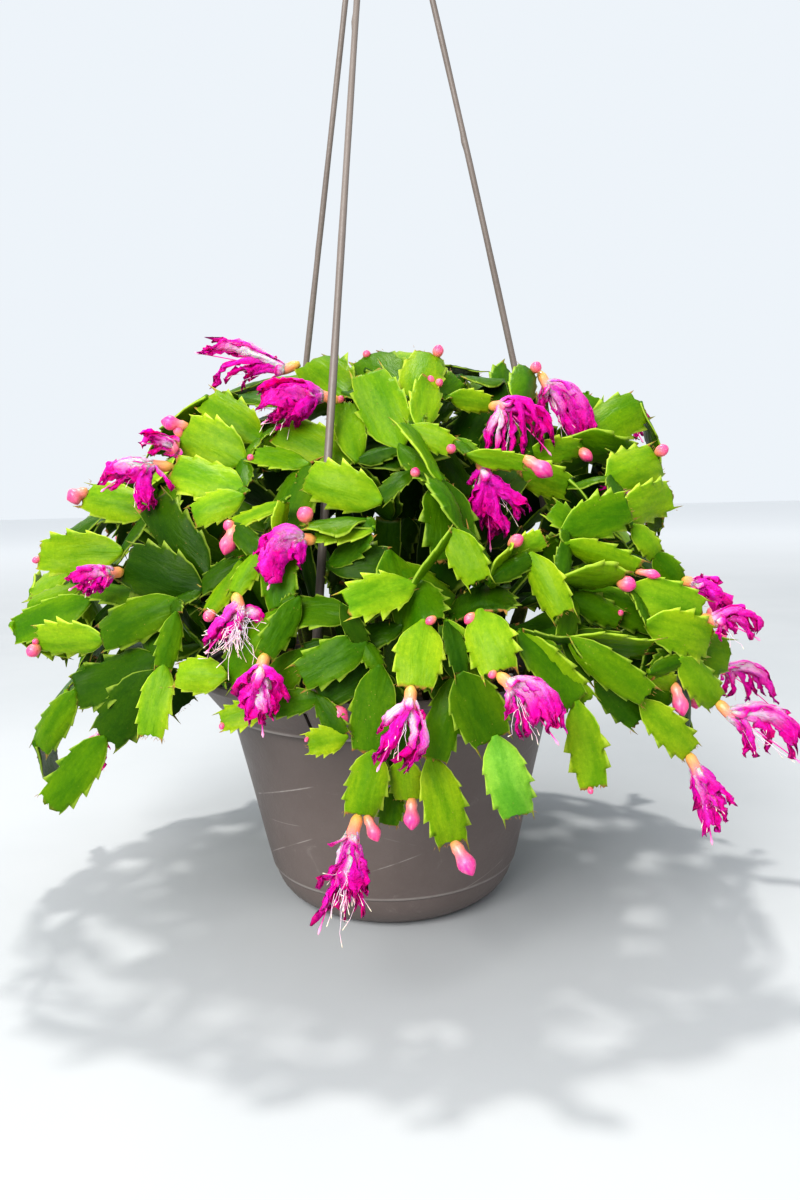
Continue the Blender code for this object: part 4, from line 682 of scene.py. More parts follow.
    def front_blooms(rows, strict):
        """Hangs each bloom from its segment or the nearest other, and returns those that found no place."""
        missing = []
        for row in rows:
            name, leaf, pts, wide, off, flare = row
            hidden = off > 30
            choices = []
            for j in free_ends():
                ex, ey = seen_at(parts[j]["b"])
                away = math.hypot(ex - pts[0][0], ey - pts[0][1])
                if away < (24 if strict else 46):
                    choices.append((away - (14 if tips.get(leaf) == j else 0) + 0.08 * ((parts[j]["b"] - VIEW_AT).length - 380), j))
            choices.sort()
            done = False
            for seen in ((False,) if hidden else (True,) if strict else (True, False)):
                for _, j in choices[:3 if strict else 14]:
                    reach = (parts[j]["b"] - VIEW_AT).length + (0 if hidden else off * 0.3)
                    line = [VIEW_AT + sight(x, y) * (reach - (0 if hidden else 2.5) * k) for k, (x, y) in enumerate(pts)]
                    scale = VIEW_F / (line[1] - VIEW_AT).dot(FW)
                    if set_bloom(name, j, line, wide / scale, flare, (0.55, 0.2, 0.1), seen, 7 if strict else 10):
                        done = True
                        break
                if done:
                    break
            if not done:
                missing.append(row)
        return missing

    blooms_to_come = front_blooms(FLOWERS, True)
    buds_to_come = front_buds(BUDS)
    note.append("placed early: %d blooms, %d buds; later: %s" % (len(blooms), len(buds), " ".join(r[0] for r in blooms_to_come)))

    def family(i):
        """Every segment that grows from this one, itself included."""
        found, grew = {i}, True
        while grew:
            grew = False
            for j, p in enumerate(parts):
                if p["parent"] in found and j not in found:
                    found.add(j)
                    grew = True
        return found

    # 4. The inner segments that carry them, from the nearest joint of a rooted stem.
    def carry(leaf, choices, tries, wider):
        """Joins a leaf to a joint of a rooted stem with one to four inner segments."""
        a = parts[leaf]["a"]
        taken = {q["leaf"] for q in blooms}
        joints = [j for j, p in enumerate(parts) if p["stem"] is not None and p["b"].z > RIM_Z + 6 and j not in taken]
        joints.sort(key=lambda j: (parts[j]["b"] - a).length + 20 * sum(1 for p in parts if p["parent"] == j) + (0 if parts[j]["kind"] == "inner" else 30))
        own = {leaf} | {j for j, p in enumerate(parts) if p["parent"] == leaf}
        for j in joints[:choices]:
            start = parts[j]["b"]
            gap = (a - start).length
            least = 1 if gap < 56 else 2 if gap < 104 else 3
            skip = kin(j) | own
            for attempt in range(tries):
                count = least + (attempt % 2 if wider else 0)
                pts = [start]
                for k in range(1, count):
                    wob = Vector([rng.uniform(-1, 1) for _ in range(3)]) * (2 + (3.4 if wider else 2.4) * attempt)
                    pts.append(start.lerp(a, k / count) + Vector((0, 0, 6)) + wob)
                pts.append(a)
                plan = []
                for k in range(count):
                    p, q = pts[k], pts[k + 1]
                    if not 5 < (q - p).length < 66:
                        break
                    axis = unit(q - p)
                    n = turned(square_to(axis, p - DOME_AT), axis, rng.uniform(-1, 1) * 8 * attempt)
                    w = max(6.0 if wider else 7.0, min(20.0, (q - p).length * 0.42) * (1 - 0.04 * min(attempt, 14)))
                    th = 3.4
                    if not space.clear(blade(p, q, n, w, th, 0.5, True), skip if k == 0 or k == count - 1 else ()):
                        break
                    plan.append((p, q, n, w, th))
                if len(plan) < count:
                    continue
                up = j
                for k, (p, q, n, w, th) in enumerate(plan):
                    up = put("%s_in%d" % (parts[leaf]["name"], k), parts[up]["stem"], up, p, q, n, w, th, 0.15, "inner")
                parts[leaf]["parent"] = up
                for i in family(leaf):
                    parts[i]["stem"] = parts[up]["stem"]
                return True
        return False

    loose = [leaf for leaf in sorted(starts, key=lambda i: dome(parts[i]["a"])) if not carry(leaf, 26, 16, False)]
    loose = [leaf for leaf in loose if not carry(leaf, 90, 40, True)]
    note.append("not joined: " + " ".join(parts[i]["name"] for i in loose))

    # 5. The rest of the plant: leaves inside, and the whole back, grown outward from the free joints.
    def sprout(up, goal, low, wide):
        p = parts[up]
        a0, axis0 = p["b"], unit(p["b"] - p["a"])
        side0 = axis0.cross(p["n"])
        for attempt in range(11):
            a = a0 + side0 * (p["w"] * rng.choice((-0.16, 0.0, 0.16))) - axis0 * 0.8
            out = unit(a - DOME_AT)
            shell = dome(a)
            fall = Vector((0, 0, -1)) * (1.5 * max(0.0, shell - 0.45))
            d = unit(axis0 * 0.55 + out * 0.55 + fall + Vector([rng.uniform(-1, 1) for _ in range(3)]) * (0.45 + 0.05 * attempt))
            length = rng.uniform(36, 47) * (1 - 0.03 * attempt)
            b = a + d * length
            if not (low < dome(b) < goal(b)) or b.z < 28:
                continue
            n = turned(square_to(d, unit(b - DOME_AT) + Vector((0, 0, 0.4))), d, rng.uniform(-38, 38))
            w = wide * rng.uniform(0.85, 1.12) * (1 - 0.025 * attempt)
            if keeps_in(a, b, n, w) and space.clear(blade(a, b, n, w, 3.0, 0.5), kin(up)):
                return put("f%d" % len(parts), p["stem"], up, a, b, n, w, 3.0, rng.random(), "fill")
        return None

    def goal(b):
        """How far out in the dome a freely grown segment may end."""
        if b.y > 26:
            return 1.0
        way = b - VIEW_AT
        hit = space.first_hit(VIEW_AT, way.normalized())
        if hit is not None and hit < way.length - 5:
            return 0.96
        return 0.90 if b.y > -12 else 0.66

    def keeps_in(a, b, n, w):
        """Whether the segment stays within the outline of the front view."""
        side = unit(b - a).cross(n) * (w / 2)
        mid = a.lerp(b, 0.6)
        return all(in_view(q) for q in (b, mid + side, mid - side, b + side * 0.7, b - side * 0.7))

    held = {q["leaf"] for q in buds + blooms}
    grown = 0
    for generation in range(7):
        ends = [j for j, p in enumerate(parts) if p["stem"] is not None and dome(p["b"]) < 0.93 and p["b"].z > RIM_Z - 4 and j not in held]
        rng.shuffle(ends)
        for j in ends:
            have = sum(1 for p in parts if p["parent"] == j)
            most = 2 if generation < 5 else 3
            if have >= most or parts[j]["name"].endswith("_0"):
                continue
            for _ in range(most - have):
                if grown < FILL and sprout(j, goal, 0.16, 25.0) is not None:
                    grown += 1

    def reach_for(spot, wide):
        """Grows one segment from a near joint towards a bare spot of the dome."""
        near = []
        for j, p in enumerate(parts):
            if p["stem"] is None or p["b"].z < RIM_Z - 30 or p["name"].endswith("_0") or j in held:
                continue
            gap = (spot - p["b"]).length
            if 14 < gap < 62:
                have = sum(1 for q in parts if q["parent"] == j)
                if have < 3:
                    near.append((gap + 14 * have, j))
        near.sort()
        for _, j in near[:7]:
            p = parts[j]
            axis0 = unit(p["b"] - p["a"])
            side0 = axis0.cross(p["n"])
            for attempt in range(5):
                a = p["b"] + side0 * (p["w"] * rng.choice((-0.16, 0.0, 0.16))) - axis0 * 0.8
                d = unit(unit(spot - a) + Vector([rng.uniform(-1, 1) for _ in range(3)]) * 0.12 * attempt)
                b = a + d * max(33.0, min(47.0, (spot - a).length + 4)) * (1 - 0.03 * attempt)
                if d.dot(axis0) < -0.35 or dome(b) > goal(b) + 0.04 or b.z < 28:
                    continue
                n = turned(square_to(d, unit(b - DOME_AT) + Vector((0, 0, 0.35))), d, rng.uniform(-30, 30))
                w = wide * rng.uniform(0.88, 1.12) * (1 - 0.04 * attempt)
                if keeps_in(a, b, n, w) and space.clear(blade(a, b, n, w, 3.0, 0.5), kin(j)):
                    return put("g%d" % len(parts), p["stem"], j, a, b, n, w, 3.0, rng.random(), "fill")
        return None

    filled = 0
    for turn in range(4):
        rays = [(px, py) for px in range(40, 720, 11) for py in range(370, 700, 11)]
        rng.shuffle(rays)
        for px, py in rays:
            if filled >= FRONT_FILL:
                break
            d = sight(px, py)
            if space.first_hit(VIEW_AT, d) is not None:
                continue
            t = (rng.uniform(0, 90) - VIEW_AT.y) / d.y
            spot = VIEW_AT + d * t
            if dome(spot) > 0.86 or not in_view(spot):
                continue
            if reach_for(spot, 25.0) is not None:
                filled += 1

    spots = []
    for k in range(420):
        up = 1 - 2 * (k + 0.5) / 420
        az = 2.399963 * k
        d = Vector((math.cos(az) * math.sqrt(1 - up * up), math.sin(az) * math.sqrt(1 - up * up), up))
        r = 30.0
        while dome(DOME_AT + d * r) < 0.92:
            r += 2.0
        spot = DOME_AT + d * r
        if spot.y > -60 and spot.z > 62:
            spots.append(spot)
    covered = 0
    for turn in range(6):
        rng.shuffle(spots)
        for spot in spots:
            if covered >= COVER:
                break
            if min(min((spot - (p["a"] + p["b"]) / 2).length, (spot - p["b"]).length) for p in parts if p["kind"] != "inner") < 24 - 2.5 * turn:
                continue
            if reach_for(spot, 25.0) is not None:
                covered += 1
    note.append("segments %d, of them grown freely %d, across open sight lines %d, over bare spots %d" % (len(parts), grown, filled, covered))

    # 6. The buds and blooms that had found no place yet, and those of the back.
    buds_to_come = front_buds(buds_to_come)
    note.append("front buds left out %d" % len(buds_to_come))
    blooms_to_come = front_blooms(blooms_to_come, False)
    note.append("blooms left out: " + " ".join(r[0] for r in blooms_to_come))
    for q in buds + blooms:
        q["stem"] = parts[q["leaf"]]["stem"]
    buds = [q for q in buds if q["stem"] is not None]
    blooms = [q for q in blooms if q["stem"] is not None]
    free = [j for j in free_ends() if parts[j]["stem"] is not None]

    outer = [j for j in free if parts[j]["kind"] == "fill" and parts[j]["b"].y > 34 and dome(parts[j]["b"]) > 0.72 and not any(p["parent"] == j for p in parts)]
    rng.shuffle(outer)
    made = 0
    for j in outer:
        if made >= BACK_BLOOMS:
            break
        p = parts[j]
        axis = unit(p["b"] - p["a"])
        out = unit(p["b"] - DOME_AT)
        if any((p["b"] - q["line"][0]).length < 62 for q in blooms):
            continue
        d = unit(axis * 0.5 + out * 0.5 + Vector((0, 0, -0.55)))
        d2 = unit(d + Vector((0, 0, -0.45)))
        line = [p["b"], p["b"] + d * 7, p["b"] + d * 7 + d2 * 12, p["b"] + d * 7 + d2 * 12 + unit(d2 + Vector((0, 0, -0.4))) * 14]
        if any((space.first_hit(VIEW_AT, (q - VIEW_AT).normalized()) or 9999) > (q - VIEW_AT).length - 3 for q in line[1:]):
            continue
        if dome(line[-1]) < 1.22 and set_bloom("Z%d" % made, j, line, rng.uniform(15, 18), rng.uniform(0.4, 0.9)):
            made += 1
    extra = 0
    for j in outer:
        if extra >= BACK_BUDS:
            break
        if any(q["leaf"] == j for q in blooms) or any(q["leaf"] == j for q in buds):
            continue
        p = parts[j]
        axis = unit(p["b"] - p["a"])
        base = p["b"] + axis.cross(p["n"]) * (p["w"] * rng.uniform(-0.15, 0.15)) - axis * 1.2
        length = rng.uniform(5, 14)
        if set_bud(j, base, base + unit(axis + Vector((0, 0, -0.2))) * length, 3.4 + length * 0.28, rng.random() * 0.6):
            extra += 1
    note.append("back blooms %d, back buds %d, all blooms %d, all buds %d" % (made, extra, len(blooms), len(buds)))
    keep = [j for j, p in enumerate(parts) if p["stem"] is not None]
    return parts, keep, buds, blooms, note

# ================================================================ the camera
MM = 0.001
camera = bpy.data.cameras.new("camera")
eye = bpy.data.objects.new("camera", camera)
bpy.context.scene.collection.objects.link(eye)
bpy.context.scene.camera = eye
camera.sensor_fit = "VERTICAL"
camera.sensor_height = 36.0
camera.sensor_width = 24.0
camera.lens = 36.0 * VIEW_F / 1200
camera.clip_start, camera.clip_end = 0.02, 20
back = -FW
right = RT * math.cos(VIEW_ROLL) - UP * math.sin(VIEW_ROLL)
above = RT * math.sin(VIEW_ROLL) + UP * math.cos(VIEW_ROLL)
from mathutils import Matrix
turn = Matrix((right, above, back)).transposed().to_4x4()
eye.matrix_world = Matrix.Translation(VIEW_AT * MM) @ turn

# ================================================================ materials


class Nodes:
    """A small helper that adds nodes to a new material."""

    def __init__(self, name):
        self.mat = bpy.data.materials.new(name)
        self.mat.use_nodes = True
        self.tree = self.mat.node_tree
        self.bsdf = self.tree.nodes["Principled BSDF"]

    def add(self, kind, **sets):
        node = self.tree.nodes.new(kind)
        for key, value in sets.items():
            if hasattr(node, key):
                setattr(node, key, value)
            else:
                node.inputs[key].default_value = value
        return node

    def link(self, a, b):
        self.tree.links.new(a, b)

    def feed(self, socket, value):
        if isinstance(value, bpy.types.NodeSocket):
            self.link(value, socket)
        else:
            socket.default_value = value

    def math(self, op, a, b=None, c=None, clamp=False):
        node = self.tree.nodes.new("ShaderNodeMath")
        node.operation = op
        node.use_clamp = clamp
        for k, value in enumerate((a, b, c)):
            if value is not None:
                self.feed(node.inputs[k], value)
        return node.outputs[0]

    def smooth(self, value, low, high):
        node = self.tree.nodes.new("ShaderNodeMapRange")
        node.interpolation_type = "SMOOTHSTEP"
        self.feed(node.inputs["Value"], value)
        node.inputs["From Min"].default_value = low
        node.inputs["From Max"].default_value = high
        return node.outputs["Result"]

    def mix(self, factor, a, b, blend="MIX"):
        node = self.tree.nodes.new("ShaderNodeMix")
        node.data_type = "RGBA"
        node.blend_type = blend
        self.feed(node.inputs["Factor"], factor)
        for key, value in (("A", a), ("B", b)):
            socket = [q for q in node.inputs if q.name == key and q.type == "RGBA"][0]
            if isinstance(value, bpy.types.NodeSocket):
                self.link(value, socket)
            else:
                socket.default_value = (*value, 1)
        return [q for q in node.outputs if q.type == "RGBA"][0]

    def ramp(self, factor, stops):
        node = self.tree.nodes.new("ShaderNodeValToRGB")
        self.feed(node.inputs["Fac"], factor)
        ramp = node.color_ramp
        while len(ramp.elements) < len(stops):
            ramp.elements.new(0.5)
        for e, (at, rgb) in zip(ramp.elements, stops):
            e.position = at
            e.color = (*rgb, 1)
        return node.outputs["Color"]

    def noise(self, scale, detail=3.0, rough=0.55, vector=None, distort=0.0):
        node = self.tree.nodes.new("ShaderNodeTexNoise")
        node.inputs["Scale"].default_value = scale
        node.inputs["Detail"].default_value = detail
        node.inputs["Roughness"].default_value = rough
        node.inputs["Distortion"].default_value = distort
        if vector is not None:
            self.link(vector, node.inputs["Vector"])
        return node.outputs["Fac"]

    def own(self, stretch):
        """The surface's own millimetres: across, along, and a number that differs from shape to shape."""
        node = self.tree.nodes.new("ShaderNodeAttribute")
        node.attribute_name = "own"
        scaled = self.tree.nodes.new("ShaderNodeVectorMath")
        scaled.operation = "MULTIPLY"
        scaled.inputs[1].default_value = stretch
        self.link(node.outputs["Vector"], scaled.inputs[0])
        return scaled.outputs["Vector"]

    def place(self):
        return self.tree.nodes.new("ShaderNodeTexCoord").outputs["Object"]

    def bump(self, height, distance, strength=1.0, after=None):
        node = self.tree.nodes.new("ShaderNodeBump")
        node.inputs["Strength"].default_value = strength
        node.inputs["Distance"].default_value = distance
        self.link(height, node.inputs["Height"])
        if after is not None:
            self.link(after, node.inputs["Normal"])
        return node.outputs["Normal"]

    def attr(self, name):
        node = self.tree.nodes.new("ShaderNodeAttribute")
        node.attribute_name = name
        split = self.tree.nodes.new("ShaderNodeSeparateColor")
        self.link(node.outputs["Color"], split.inputs["Color"])
        return split.outputs["Red"], split.outputs["Green"], split.outputs["Blue"], node.outputs["Alpha"]

    def set(self, **values):
        for key, value in values.items():
            name = key.replace("_", " ")
            socket = self.bsdf.inputs[name]
            if isinstance(value, bpy.types.NodeSocket):
                self.link(value, socket)
            else:
                socket.default_value = value


def cactus_skin():
    """Waxy green skin: each segment has its own tone, a deeper middle, yellower sides, pale thin edges that are partly
    their own paler colour and partly a painted highlight, and tips with wear.
    """
    m = Nodes("cactus_skin_looks")
    tone, along, across, chance = m.attr("tint")
    mint, cork, tip_wear_and_band_breakup, hair = m.attr("mark")
    own = m.own((1.0, 0.28, 1.0))
    flat = m.own((1.0, 1.0, 1.0))
    base = m.ramp(tone, [(0.0, (0.015, 0.048, 0.001)), (0.2, (0.034, 0.094, 0.001)), (0.45, (0.074, 0.180, 0.001)), (0.75, (0.162, 0.290, 0.004)), (1.0, (0.208, 0.350, 0.012))])
    base = m.mix(mint, base, (0.192, 0.405, 0.045))
    shift = m.math("MULTIPLY_ADD", chance, 0.6, 0.0)
    base = m.mix(shift, base, m.mix(1.0, base, (1.22, 0.96, 0.7), "MULTIPLY"))
    middle = m.math("SUBTRACT", 1.0, m.smooth(across, 0.05, 0.72))
    base = m.mix(m.math("MULTIPLY", middle, 0.55), base, m.mix(1.0, base, (0.66, 0.84, 0.8), "MULTIPLY"))
    cloud = m.noise(0.10, 4.0, 0.6, own)
    base = m.mix(m.smooth(cloud, 0.40, 0.62), base, m.mix(1.0, base, (0.56, 0.74, 0.5), "MULTIPLY"))
    mottle = m.noise(0.62, 5.0, 0.78, flat)
    base = m.mix(m.math("MULTIPLY", m.smooth(mottle, 0.50, 0.66), 0.60), base, m.mix(1.0, base, (1.42, 1.22, 1.3), "MULTIPLY"))
    base = m.mix(m.math("MULTIPLY", m.math("SUBTRACT", 1.0, m.smooth(mottle, 0.34, 0.47)), 0.55), base, m.mix(1.0, base, (0.66, 0.80, 0.6), "MULTIPLY"))
    streak = m.noise(0.85, 3.0, 0.6, own)
    base = m.mix(m.math("MULTIPLY", m.smooth(streak, 0.54, 0.74), 0.30), base, m.mix(1.0, base, (1.35, 1.20, 1.2), "MULTIPLY"))
    foot = m.math("SUBTRACT", 1.0, m.smooth(along, 0.0, 0.30))
    base = m.mix(m.math("MULTIPLY", foot, 0.55), base, m.mix(1.0, base, (0.62, 0.80, 0.6), "MULTIPLY"))
    rib = m.math("SUBTRACT", 1.0, m.smooth(across, 0.01, 0.085))
    base = m.mix(m.math("MULTIPLY", rib, 0.75), base, m.mix(1.0, base, (0.55, 0.74, 0.5), "MULTIPLY"))
    side = m.smooth(across, 0.45, 0.95)
    base = m.mix(m.math("MULTIPLY", side, 0.30), base, m.mix(1.0, base, (1.35, 1.16, 0.8), "MULTIPLY"))
    # The pale thin edge line: partly the edge's own paler colour, partly a painted highlight.
    rim = m.smooth(across, 0.90, 0.985)
    pale = m.mix(0.55, m.mix(1.0, base, (1.9, 1.6, 1.8), "MULTIPLY"), (0.52, 0.66, 0.10))
    base = m.mix(m.math("MULTIPLY", rim, m.math("MULTIPLY_ADD", tone, 0.35, 0.60)), base, pale)
    rust = m.noise(0.55, 4.0, 0.75, flat)
    tip = m.math("MULTIPLY", m.smooth(along, 0.945, 0.985), m.math("MULTIPLY", tip_wear_and_band_breakup, m.smooth(rust, 0.38, 0.54)))
    base = m.mix(m.math("MULTIPLY", tip, 0.9), base, (0.36, 0.150, 0.055))
    spot = m.math("MULTIPLY", m.smooth(m.noise(0.9, 2.0, 0.5, flat), 0.71, 0.76), tip_wear_and_band_breakup)
    base = m.mix(m.math("MULTIPLY", spot, 0.6), base, (0.32, 0.22, 0.06))
    bark = m.math("MULTIPLY", cork, m.smooth(rust, 0.25, 0.6))
    base = m.mix(bark, base, (0.150, 0.105, 0.055))
    base = m.mix(m.math("SUBTRACT", 1.0, hair), base, (0.40, 0.20, 0.075))
    rough = m.math("MULTIPLY_ADD", cloud, 0.30, 0.22)
    rough = m.math("MULTIPLY_ADD", cork, 0.30, rough)
    swell = m.noise(0.16, 3.0, 0.55, own, 0.4)
    ridge = m.noise(0.75, 2.0, 0.5, own)
    pores = m.noise(3.0, 3.0, 0.6, flat)
    height = m.math("MULTIPLY_ADD", ridge, 0.16, swell)
    height = m.math("MULTIPLY_ADD", pores, 0.07, height)
    height = m.math("MULTIPLY_ADD", m.math("MULTIPLY", cork, rust), 0.8, height)
    m.set(Base_Color=base, Roughness=rough, Normal=m.bump(height, 0.0016, 0.6))
    m.bsdf.inputs["Subsurface Weight"].default_value = 0.15
    m.bsdf.inputs["Subsurface Radius"].default_value = (0.8, 1.0, 0.12)
    m.bsdf.inputs["Subsurface Scale"].default_value = 0.0018
    m.bsdf.inputs["Specular IOR Level"].default_value = 0.075
    return m.mat


def bud_skin():
    """Young buds are coral all over; older ones turn magenta from the tip."""
    m = Nodes("bud_skin_looks")
    pink, along, across, chance = m.attr("tint")
    flat = m.own((1.0, 0.5, 1.0))
    young = m.ramp(along, [(0.0, (0.50, 0.26, 0.05)), (0.14, (0.78, 0.25, 0.13)), (0.5, (0.84, 0.17, 0.19)), (1.0, (0.78, 0.035, 0.21))])
    ripe = m.ramp(along, [(0.0, (0.74, 0.34, 0.10)), (0.22, (0.88, 0.28, 0.20)), (0.42, (0.88, 0.15, 0.28)), (0.62, (0.84, 0.030, 0.33)), (0.80, (0.74, 0.003, 0.34)), (1.0, (0.50, 0.001, 0.21))])
    base = m.mix(pink, young, ripe)
    blotch = m.noise(0.5, 3.0, 0.6, flat)
    base = m.mix(m.smooth(blotch, 0.42, 0.7), base, m.mix(0.28, base, (1.0, 0.50, 0.50)))
    m.set(Base_Color=base, Normal=m.bump(m.noise(0.9, 3.0, 0.6, flat), 0.0006, 0.4))
    m.bsdf.inputs["Roughness"].default_value = 0.34
    m.bsdf.inputs["Subsurface Weight"].default_value = 0.25
    m.bsdf.inputs["Subsurface Radius"].default_value = (1.0, 0.4, 0.4)
    m.bsdf.inputs["Subsurface Scale"].default_value = 0.0016
    m.bsdf.inputs["Coat Weight"].default_value = 0.15
    m.bsdf.inputs["Coat Roughness"].default_value = 0.2
    return m.mat


def petal_skin():
    """Limp magenta petals: a pale base, a pale band down their middle that is partly painted highlight, painted
    highlights along the tops of their folds and in random patches, painted shade in their fold valleys, deeper veins,
    dry dark ends.
    """
    m = Nodes("petal_looks")
    kind, along, across, chance = m.attr("tint")
    ridge, white, dried, _ = m.attr("mark")
    fine = m.own((1.0, 0.16, 1.0))
    flat = m.own((1.0, 1.0, 1.0))
    inner = m.ramp(along, [(0.0, (1.0, 0.50, 0.62)), (0.10, (1.0, 0.13, 0.50)), (0.22, (1.0, 0.012, 0.42)), (0.60, (1.0, 0.001, 0.34)), (0.90, (1.0, 0.001, 0.28)), (1.0, (0.72, 0.001, 0.18))])
    outer = m.ramp(along, [(0.0, (1.0, 0.44, 0.28)), (0.22, (1.0, 0.30, 0.36)), (0.52, (1.0, 0.10, 0.42)), (0.85, (1.0, 0.010, 0.36)), (1.0, (0.74, 0.002, 0.24))])
    base = m.mix(kind, inner, outer)
    sweep = m.math("SUBTRACT", 1.0, m.smooth(m.math("MULTIPLY_ADD", m.smooth(white, 0.6, 1.0), -0.18, along), 0.20, 0.72))
    # A pale band down each petal's middle from its base, scaled by the clump's paleness: partly the petal's own pale
    # base, partly a painted highlight.
    pale_band_and_painted_highlight = m.math("MULTIPLY", m.math("SUBTRACT", 1.0, m.smooth(across, 0.25, 0.95)), sweep)
    pale_band_and_painted_highlight = m.math("MULTIPLY", pale_band_and_painted_highlight, m.smooth(white, 0.25, 0.95))
    # Painted highlight along the crests of the folds, by fold height.
    top = m.math("MULTIPLY", m.smooth(ridge, 0.72, 1.0), m.math("MULTIPLY_ADD", sweep, 0.35, 0.15))
    base = m.mix(m.math("MULTIPLY", top, m.math("MULTIPLY_ADD", white, 0.8, 0.15)), base, (1.0, 0.15, 0.66))
    # Painted shade in the fold valleys, by fold height.
    painted_fold_shade = m.math("SUBTRACT", 1.0, m.smooth(ridge, 0.05, 0.46))
    base = m.mix(m.math("MULTIPLY", painted_fold_shade, 0.62), base, m.mix(0.7, base, (0.60, 0.0, 0.16)))
    streak = m.noise(2.0, 3.0, 0.6, fine)
    base = m.mix(m.math("MULTIPLY", m.smooth(streak, 0.52, 0.70), 0.60), base, m.mix(0.65, base, (0.72, 0.0, 0.22)))
    # Painted highlight: brighter magenta in random patches.
    painted_sheen = m.noise(0.6, 3.0, 0.6, fine)
    base = m.mix(m.math("MULTIPLY", m.smooth(painted_sheen, 0.50, 0.68), 0.60), base, m.mix(0.7, base, (1.0, 0.055, 0.64)))
    grain = m.smooth(streak, 0.46, 0.70)
    # Lays on the pale band: partly the petal's own pale base, partly painted highlight.
    base = m.mix(m.math("MULTIPLY", pale_band_and_painted_highlight, m.math("MULTIPLY_ADD", grain, -0.50, 0.95)), base, (1.0, 0.72, 0.79))
    hem = m.math("MULTIPLY", m.smooth(across, 0.80, 1.0), m.smooth(along, 0.25, 0.7))
    base = m.mix(m.math("MULTIPLY", hem, 0.45), base, m.mix(1.0, base, (0.72, 0.3, 0.55), "MULTIPLY"))
    dry = m.math("MULTIPLY", dried, m.smooth(m.math("MULTIPLY_ADD", m.noise(0.4, 3.0, 0.6, flat), 0.5, along), 0.98, 1.25))
    base = m.mix(m.math("MULTIPLY", dry, 0.75), base, (0.20, 0.004, 0.07))
    wrinkle = m.noise(0.55, 4.0, 0.7, flat, 0.8)
    height = m.math("MULTIPLY_ADD", m.noise(1.6, 3.0, 0.65, fine), 0.45, wrinkle)
    m.set(Base_Color=base, Normal=m.bump(height, 0.0020, 0.8))
    m.bsdf.inputs["Roughness"].default_value = 0.42
    m.bsdf.inputs["Subsurface Weight"].default_value = 0.6
    m.bsdf.inputs["Subsurface Radius"].default_value = (1.0, 0.10, 0.4)
    m.bsdf.inputs["Subsurface Scale"].default_value = 0.0034
    m.bsdf.inputs["Specular IOR Level"].default_value = 0.10
    return m.mat


def tube_skin():
    """The yellow to orange tube of a bloom."""
    m = Nodes("bloom_tube_looks")
    kind, along, across, chance = m.attr("tint")
    flat = m.own((1.0, 0.3, 1.0))
    base = m.ramp(along, [(0.0, (0.46, 0.38, 0.06)), (0.20, (0.76, 0.39, 0.09)), (0.52, (0.84, 0.30, 0.14)), (0.78, (0.86, 0.22, 0.20)), (1.0, (0.88, 0.17, 0.30))])
    base = m.mix(m.smooth(m.noise(0.7, 3.0, 0.6, flat), 0.45, 0.7), base, m.mix(0.3, base, (0.95, 0.56, 0.28)))
    m.set(Base_Color=base, Normal=m.bump(m.noise(1.2, 2.0, 0.5, flat), 0.0006, 0.4))
    m.bsdf.inputs["Roughness"].default_value = 0.34
    m.bsdf.inputs["Subsurface Weight"].default_value = 0.25
    m.bsdf.inputs["Subsurface Radius"].default_value = (1.0, 0.6, 0.3)
    m.bsdf.inputs["Subsurface Scale"].default_value = 0.0015
    return m.mat


def thread_skin():
    """Stamens white to pink with cream ends, the style magenta."""
    m = Nodes("stamen_looks")
    kind, along, across, chance = m.attr("tint")
    pale = m.ramp(along, [(0.0, (0.92, 0.80, 0.86)), (0.7, (0.95, 0.74, 0.86)), (0.9, (0.92, 0.55, 0.68)), (1.0, (0.94, 0.86, 0.62))])
    deep = m.ramp(along, [(0.0, (0.80, 0.16, 0.46)), (0.85, (0.78, 0.01, 0.36)), (1.0, (0.90, 0.45, 0.62))])
    m.set(Base_Color=m.mix(kind, pale, deep))
    m.bsdf.inputs["Roughness"].default_value = 0.5
    m.bsdf.inputs["Subsurface Weight"].default_value = 0.15
    m.bsdf.inputs["Subsurface Scale"].default_value = 0.001
    return m.mat


def plastic(name, light, dark, line):
    m = Nodes(name)
    at = m.place()
    cloud = m.noise(14.0, 4.0, 0.6, at)
    base = m.mix(m.smooth(cloud, 0.3, 0.75), dark, light)
    scuff = m.noise(60.0, 6.0, 0.75, at, 1.2)
    base = m.mix(m.math("MULTIPLY", m.smooth(scuff, 0.60, 0.74), 0.35), base, line)
    dust = m.noise(1500.0, 2.0, 0.6, at)
    base = m.mix(m.math("MULTIPLY", m.smooth(dust, 0.66, 0.78), 0.25), base, line)
    rough = m.math("MULTIPLY_ADD", scuff, 0.22, 0.34)
    height = m.math("MULTIPLY_ADD", m.noise(3200.0, 2.0, 0.5, at), 0.16, m.noise(420.0, 3.0, 0.5, at))
    m.set(Base_Color=base, Roughness=rough, Normal=m.bump(height, 0.0005, 0.35))
    m.bsdf.inputs["Specular IOR Level"].default_value = 0.5
    m.colour = base
    return m


def soil_skin():
    m = Nodes("potting_mix_looks")
    kind, along, across, chance = m.attr("tint")
    at = m.place()
    base = m.ramp(m.noise(160.0, 6.0, 0.7, at), [(0.25, (0.008, 0.005, 0.003)), (0.5, (0.030, 0.018, 0.010)), (0.75, (0.085, 0.050, 0.026))])
    base = m.mix(m.smooth(kind, 0.3, 0.6), base, m.ramp(chance, [(0.0, (0.10, 0.05, 0.02)), (0.6, (0.22, 0.12, 0.05)), (0.9, (0.62, 0.58, 0.50)), (1.0, (0.75, 0.73, 0.68))]))
    m.set(Base_Color=base, Normal=m.bump(m.noise(900.0, 5.0, 0.75, at), 0.0016, 0.9))
    m.bsdf.inputs["Roughness"].default_value = 0.93
    return m.mat


